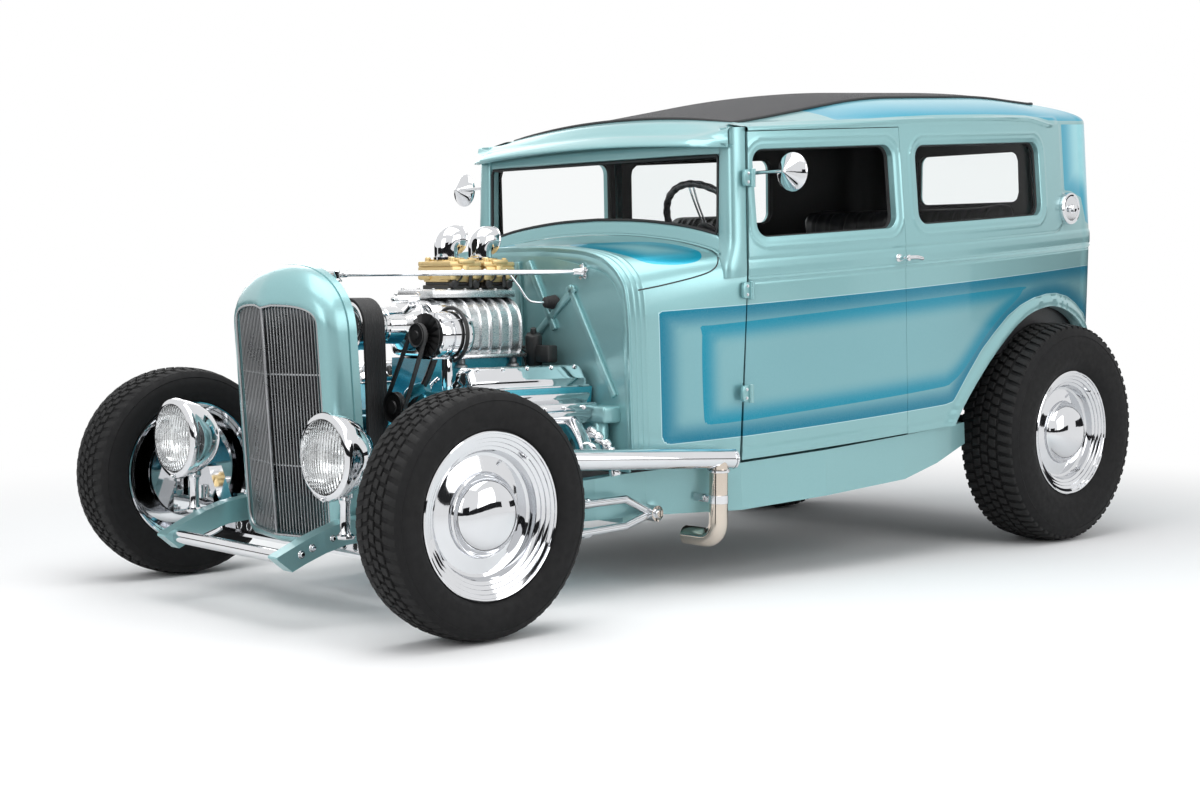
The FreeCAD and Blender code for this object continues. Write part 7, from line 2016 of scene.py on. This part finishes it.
def make_stay_ends():
    ends = bmesh.new()
    tail, head = level(-0.776, 0.3, 0.948), level(0.012, 0.15, 0.94)
    way = (head - tail).normalized()
    add(ends, aim(star(5, 0.027, 0.0145, 0.006), level(-0.7745, 0.3, 0.948), (1, 0, 0), 0.3))
    spun(ends, mm(0, 0, 14, 0, 15, 4, 12, 12, 10.5, 30, 8.5, 34, 0, 34), 28, tail + way * 0.006, way)
    for k in range(5):
        a = 0.3 + 2 * pi * k / 5
        add(ends, aim(bolt(0.003, 0.0025), level(-0.7685, 0.3 - 0.0195 * sin(a), 0.948 + 0.0195 * cos(a)), (1, 0, 0)))
    spun(ends, mm(0, 0, 9.5, 0, 10.5, 3, 10.5, 16, 9, 20, 0, 20), 24, head - way * 0.03, way)
    spun(ends, mm(0, -22, 14, -22, 14, -18, 9.5, -14, 9.5, 6, 6, 10, 0, 11), 24, head)
    piece(both_sides(ends), "stay_rod_ends", chrome, flat_angle=30)


def make_axle_details():
    # Chrome rims round the drilled holes, and dark discs filling the holes as painted shade.
    rims = bmesh.new()
    holes = bmesh.new()
    for k in range(-7, 8):
        for way in (1, -1):
            place = level(way * 0.0052, k * 0.055, 0.186)
            spun(rims, mm(10.5, 0, 11.5, 1.2, 13.5, 1.4, 15, 0), 28, place, (way, 0, 0))
            spun(holes, [(0.0, 0.0004), (0.0108, 0.0004)], 28, place, (way, 0, 0))
    piece(rims, "axle_web_rings", chrome, flat_angle=50, slot="wheel_chrome")
    piece(holes, "axle_web_hole_shade", core_black)
    clamps = bmesh.new()
    for y in (-0.055, 0.055):
        for x in (-0.103, -0.047):
            add(clamps, sweep([level(x, y, 0.2), level(x, y, 0.262)], 0.0048, 12))
            add(clamps, aim(bolt(0.0085, 0.008), level(x, y, 0.199), (0, 0, -1)))
        add(clamps, block((0.074, 0.022, 0.008), level(-0.075, y, 0.2035), 0.002, 1))
    add(clamps, block((0.06, 0.012, 0.04), level(-0.075, 0.24, 0.2215), 0.002, 1))
    add(clamps, block((0.06, 0.012, 0.04), level(-0.075, -0.24, 0.2215), 0.002, 1))
    for y in (-0.4, 0.4):
        for x in (-0.0985, -0.0515):
            spun(clamps, mm(0, -3, 12.5, -3, 13.5, 0, 12.5, 3, 0, 3), 24, level(x, y, 0.177), (1, 0, 0))
    piece(clamps, "spring_clamps", chrome, flat_angle=34)
    nuts = bmesh.new()
    for side_sign in (-1, 1):
        for z in (0.187, 0.274):
            place = level(-0.64, side_sign * 0.46, z)
            spun(nuts, mm(12.2, -12, 15, -10, 15.8, -4, 13.8, 0, 15.8, 4, 15, 10, 12.2, 12), 24, place, (1, 0, 0))
        spun(nuts, mm(0, -34, 11, -34, 13.5, -30, 13.5, -22, 9, -20, 9, 20, 13.5, 22, 13.5, 30, 11, 34, 0, 34), 24,
             level(-0.9, side_sign * 0.469, 0.226), (0, 1, 0))
    piece(nuts, "radius_rod_fittings", chrome, flat_angle=34)
    front = bmesh.new()
    for side_sign in (-1, 1):
        for k, (x, z) in enumerate(((0.25, 0.198), (0.215, 0.212), (0.15, 0.232), (0.06, 0.252))):
            add(front, aim(bolt(0.0078 if k < 2 else 0.0065, 0.006), level(x, side_sign * (0.3238 if k else 0.3242),
                                                                           z), (0, side_sign, 0)))
        spun(front, mm(0, 0, 11.5, 0, 15, 3, 15, 8, 12, 11, 0, 12), 28, level(0.275, side_sign * 0.2705, 0.188),
             (0, side_sign, 0))
    piece(front, "frame_horn_bolts", chrome, flat_angle=34)


# Cabin.
def make_steering_wheel():
    low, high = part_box("steering_wheel")
    centre = Vector([(a + b) / 2 for a, b in zip(low, high)])
    way = Vector((-0.83, 0, 0.558)).normalized()
    rim = bmesh.new()
    around, ring = 144, 16

    def rim_point(i, j):
        a = 2 * pi * j / around
        b = 2 * pi * i / ring
        grip = 0.0114 + 0.001 * cos(a * 28)
        r = 0.178 + grip * cos(b)
        return Vector((r * cos(a), r * sin(a), grip * sin(b)))

    add(rim, aim(surface(ring, around, rim_point), centre, way))
    spun(rim, mm(0, -4, 40, -6, 46, 0, 40, 8, 26, 12, 0, 14), 40, centre - way * 0.018, way)
    piece(rim, "steering_wheel_rim", rim_plastic, "steering_wheel", flat_angle=50)
    spokes = bmesh.new()
    for turn in (90, 210, 330):
        for off in (-0.006, 0.006):
            a = radians(turn)
            c, s = cos(a), sin(a)
            path = [Vector((0.03 * c - off * s, 0.03 * s + off * c, -0.016)),
                    Vector((0.11 * c - off * 1.2 * s, 0.11 * s + off * 1.2 * c, -0.01)),
                    Vector((0.175 * c - off * 1.6 * s, 0.175 * s + off * 1.6 * c, 0.0))]
            add(spokes, aim(sweep(smooth_path(path, 5), 0.0032, 10), centre, way))
    spun(spokes, mm(0, 0, 22, 0, 20, 4, 12, 7, 0, 8), 32, centre - way * 0.005, way)
    piece(spokes, "steering_wheel_spokes", chrome, flat_angle=40)


def make_dashboard():
    low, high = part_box("dashboard")
    x0, x1, z0, z1 = low[0] + 0.004, high[0] - 0.002, low[2] + 0.006, high[2] - 0.004
    half = high[1] - 0.004
    rows = [(-half + 2 * half * k / 44) for k in range(45)]
    section = [(x1, z0 + 0.01), (x1 - 0.01, z0), (x0 + 0.02, z0 + 0.004), (x0 + 0.004, z0 + 0.018),
               (x0 + 0.002, z0 + 0.06), (x0 + 0.008, z1 - 0.05), (x0, z1 - 0.03), (x0 + 0.008, z1 - 0.008),
               (x0 + 0.026, z1), (x1 - 0.01, z1 - 0.002), (x1, z1 - 0.012)]
    mesh = close_ends(surface(len(section), 44, lambda i,
                              j: Vector((section[i % len(section)][0], rows[j], section[i % len(section)][1]))))
    piece(mesh, "dashboard_pad", leather, "dashboard", flat_angle=50)
    bezels = bmesh.new()
    dials = bmesh.new()
    face_x = x0 + 0.0035
    mid = (z0 + z1) / 2 + 0.004
    for y, r in ((0.31, 0.044), (0.205, 0.044), (0.06, 0.027), (0.0, 0.027), (-0.06, 0.027), (-0.12, 0.027)):
        spun(bezels, [(r * 0.86, 0.004), (r * 0.9, 0.0075), (r * 0.97, 0.007), (r, 0.002), (r, -0.002)], 40,
             (face_x, y, mid), (-1, 0, 0))
        spun(dials, [(0.0, 0.003), (r * 0.1, 0.0045), (r * 0.12, 0.003), (r * 0.88, 0.0025)], 40, (face_x, y, mid),
             (-1, 0, 0))
        needle = block((0.0016, r * 0.7, 0.0018), (0, r * 0.3, 0), 0)
        needle.transform(Matrix.Translation((face_x - 0.0045, y, mid)) @ Matrix.Rotation(0.9, 4, "X"))
        add(bezels, needle)
    piece(bezels, "dial_bezels", chrome, flat_angle=40)
    piece(dials, "dial_faces", black_plastic, flat_angle=40)


def swollen(mesh, name, cap, pressure=4.0, voxel=0.011):
    """The block remeshed and blown up by cloth, each point moving no further than the cap."""
    item = object_of(mesh, name)
    remesh = item.modifiers.new("remesh", "REMESH")
    remesh.mode = "VOXEL"
    remesh.voxel_size = voxel
    graph = bpy.context.evaluated_depsgraph_get()
    fine = bpy.data.meshes.new_from_object(item.evaluated_get(graph))
    item.modifiers.clear()
    item.data = fine
    rest = [v.co.copy() for v in fine.vertices]
    cloth = item.modifiers.new("cloth", "CLOTH")
    cloth.settings.use_pressure = True
    cloth.settings.uniform_pressure_force = pressure
    cloth.settings.effector_weights.gravity = 0
    cloth.settings.quality = 5
    cloth.settings.tension_stiffness = 18
    cloth.settings.compression_stiffness = 18
    cloth.settings.bending_stiffness = 2.0
    cloth.point_cache.frame_start = 1
    cloth.point_cache.frame_end = 20
    for frame_number in range(1, 21):
        bpy.context.scene.frame_set(frame_number)
    graph = bpy.context.evaluated_depsgraph_get()
    blown = bpy.data.meshes.new_from_object(item.evaluated_get(graph))
    moved = [v.co.copy() for v in blown.vertices]
    bpy.data.meshes.remove(blown)
    result = bmesh.new()
    result.from_mesh(fine)
    result.verts.ensure_lookup_table()
    for k, v in enumerate(result.verts):
        step = moved[k] - rest[k]
        if step.length > cap:
            step = step.normalized() * cap
        v.co = rest[k] + step
    for _ in range(2):
        bmesh.ops.smooth_vert(result, verts=result.verts, factor=0.5, use_axis_x=True, use_axis_y=True,
                              use_axis_z=True)
    bpy.data.objects.remove(item)
    bpy.context.scene.frame_set(1)
    return result


def pleats(mesh, spacing, depth, face_axis, face_sign, sewn_half):
    """Sinks sewn channels along one side of a pad, up to sewn_half from its middle."""
    bmesh.ops.subdivide_edges(mesh, edges=mesh.edges, cuts=1, use_grid_fill=True, smooth=0.4)
    mesh.normal_update()
    for v in mesh.verts:
        facing = v.normal[face_axis] * face_sign
        if facing > 0.35 and abs(v.co.y) < sewn_half:
            across = v.co.y / spacing
            near = abs(across - round(across)) * spacing
            sink = depth * exp(-(near / 0.0055) ** 2) - depth * 0.35 * cos(2 * pi * across)
            v.co -= v.normal * sink * min(1.0, (facing - 0.35) / 0.3)


def make_seats():
    """Pads: their size, centre, how far they swell, pleats, the way they face and their sides."""
    for name, size, (u, y, w), cap, spacing, face_axis, face_sign, sides, stands_for in (
            ("seat_cushion", (0.466, 0.404, 0.2), (1.812, 0.333, 0.431), 0.016, 0.062, 2, 1, (1, -1), "front_seats"),
            ("seat_back", (0.098, 0.404, 0.52), (2.066, 0.333, 0.773), 0.014, 0.062, 0, -1, (1, -1), "front_seats"),
            ("rear_cushion", (0.462, 0.916, 0.132), (2.54, 0.0, 0.708), 0.016, 0.076, 2, 1, (0,), "rear_seat"),
            ("rear_back", (0.098, 0.916, 0.262), (2.816, 0.0, 0.884), 0.014, 0.076, 0, -1, (0,), "rear_seat")):
        mesh = swollen(block(size, (0, 0, 0), min(size) * 0.34, 4), name + "_form", cap)
        pleats(mesh, spacing, 0.006, face_axis, face_sign, size[1] / 2 - 0.03)
        for side in sides:
            pad = placed(mesh.copy(), lambda a, b, c: raked(u + a, side * y + b, w + c))
            item = piece(pad, name + {1: "_left", -1: "_right", 0: ""}[side], leather, stands_for, 80)
        mesh.free()


# Firewall details.
def make_firewall_details():
    def wall(y, w, out=0.0):
        return raked(0.84 - out, y, w)

    strips = bmesh.new()

    def strip(y0, w0, y1, w1, half=0.011):
        length = hypot(y1 - y0, w1 - w0)
        c, s = (y1 - y0) / length, (w1 - w0) / length
        bar = block((length, half * 2, 0.013), (length / 2, 0, 0.005), 0.004, 3)
        return placed(bar, lambda a, b, h: wall(y0 + a * c - b * s, w0 + a * s + b * c, h))

    add(strips, strip(0.0, 0.6, 0.0, 0.925))
    for sign in (-1, 1):
        add(strips, strip(sign * 0.052, 0.925, sign * 0.16, 0.715))
        add(strips, strip(sign * 0.06, 0.69, sign * 0.262, 0.845))
        add(strips, strip(sign * 0.235, 0.85, sign * 0.412, 0.52))
    piece(strips, "firewall_strips", body_paint, flat_angle=34)
    shelf = bmesh.new()
    add(shelf, block((0.072, 0.13, 0.05), wall(0.365, 0.47, 0.03), 0.008, 3))
    spun(shelf, mm(0, -100, 26, -100, 26, 45, 22, 50, 0, 51), 32, wall(0.372, 0.41, 0.034))
    piece(both_sides(shelf), "firewall_shelf", body_paint, flat_angle=40)
    rows = COWL_ROWS

    def rim(i, j):
        """A rolled flange that closes the way from the cowl's edge to the firewall."""
        y, w = cowl_point(0.846, min(j, 2 * rows - j) if j <= rows else 2 * rows - j)
        y = y if j <= rows else -y
        inward = Vector((-y, 0.6 - w)).normalized() if abs(y) > 0.01 else Vector((0, -1))
        turn = pi / 2 * i / 5
        step = 0.0035 + 0.046 * (i / 5)
        return raked(0.8465 - 0.0065 * sin(turn * 2) - 0.003 * (i == 5), y + inward.x * step, w + inward.y * step)

    piece(surface(5, 2 * rows, rim), "firewall_flange", body_paint, flat_angle=60)


# The camera and the cords come first.
for make in (make_studio, make_leads, make_doors, make_rear_body, make_roof_cloth, make_front_roof, make_cowl,
             make_windscreen_surround, make_grille, make_wheels, make_blower, make_belts, make_alternator,
             make_carburettors, make_top_engine, make_block_details, make_headlamps, make_tail_lamps, make_hinges,
             make_mirrors, make_handles, make_filler, make_pipes, make_stay_ends, make_axle_details,
             make_steering_wheel, make_dashboard, make_seats, make_firewall_details):
    make()
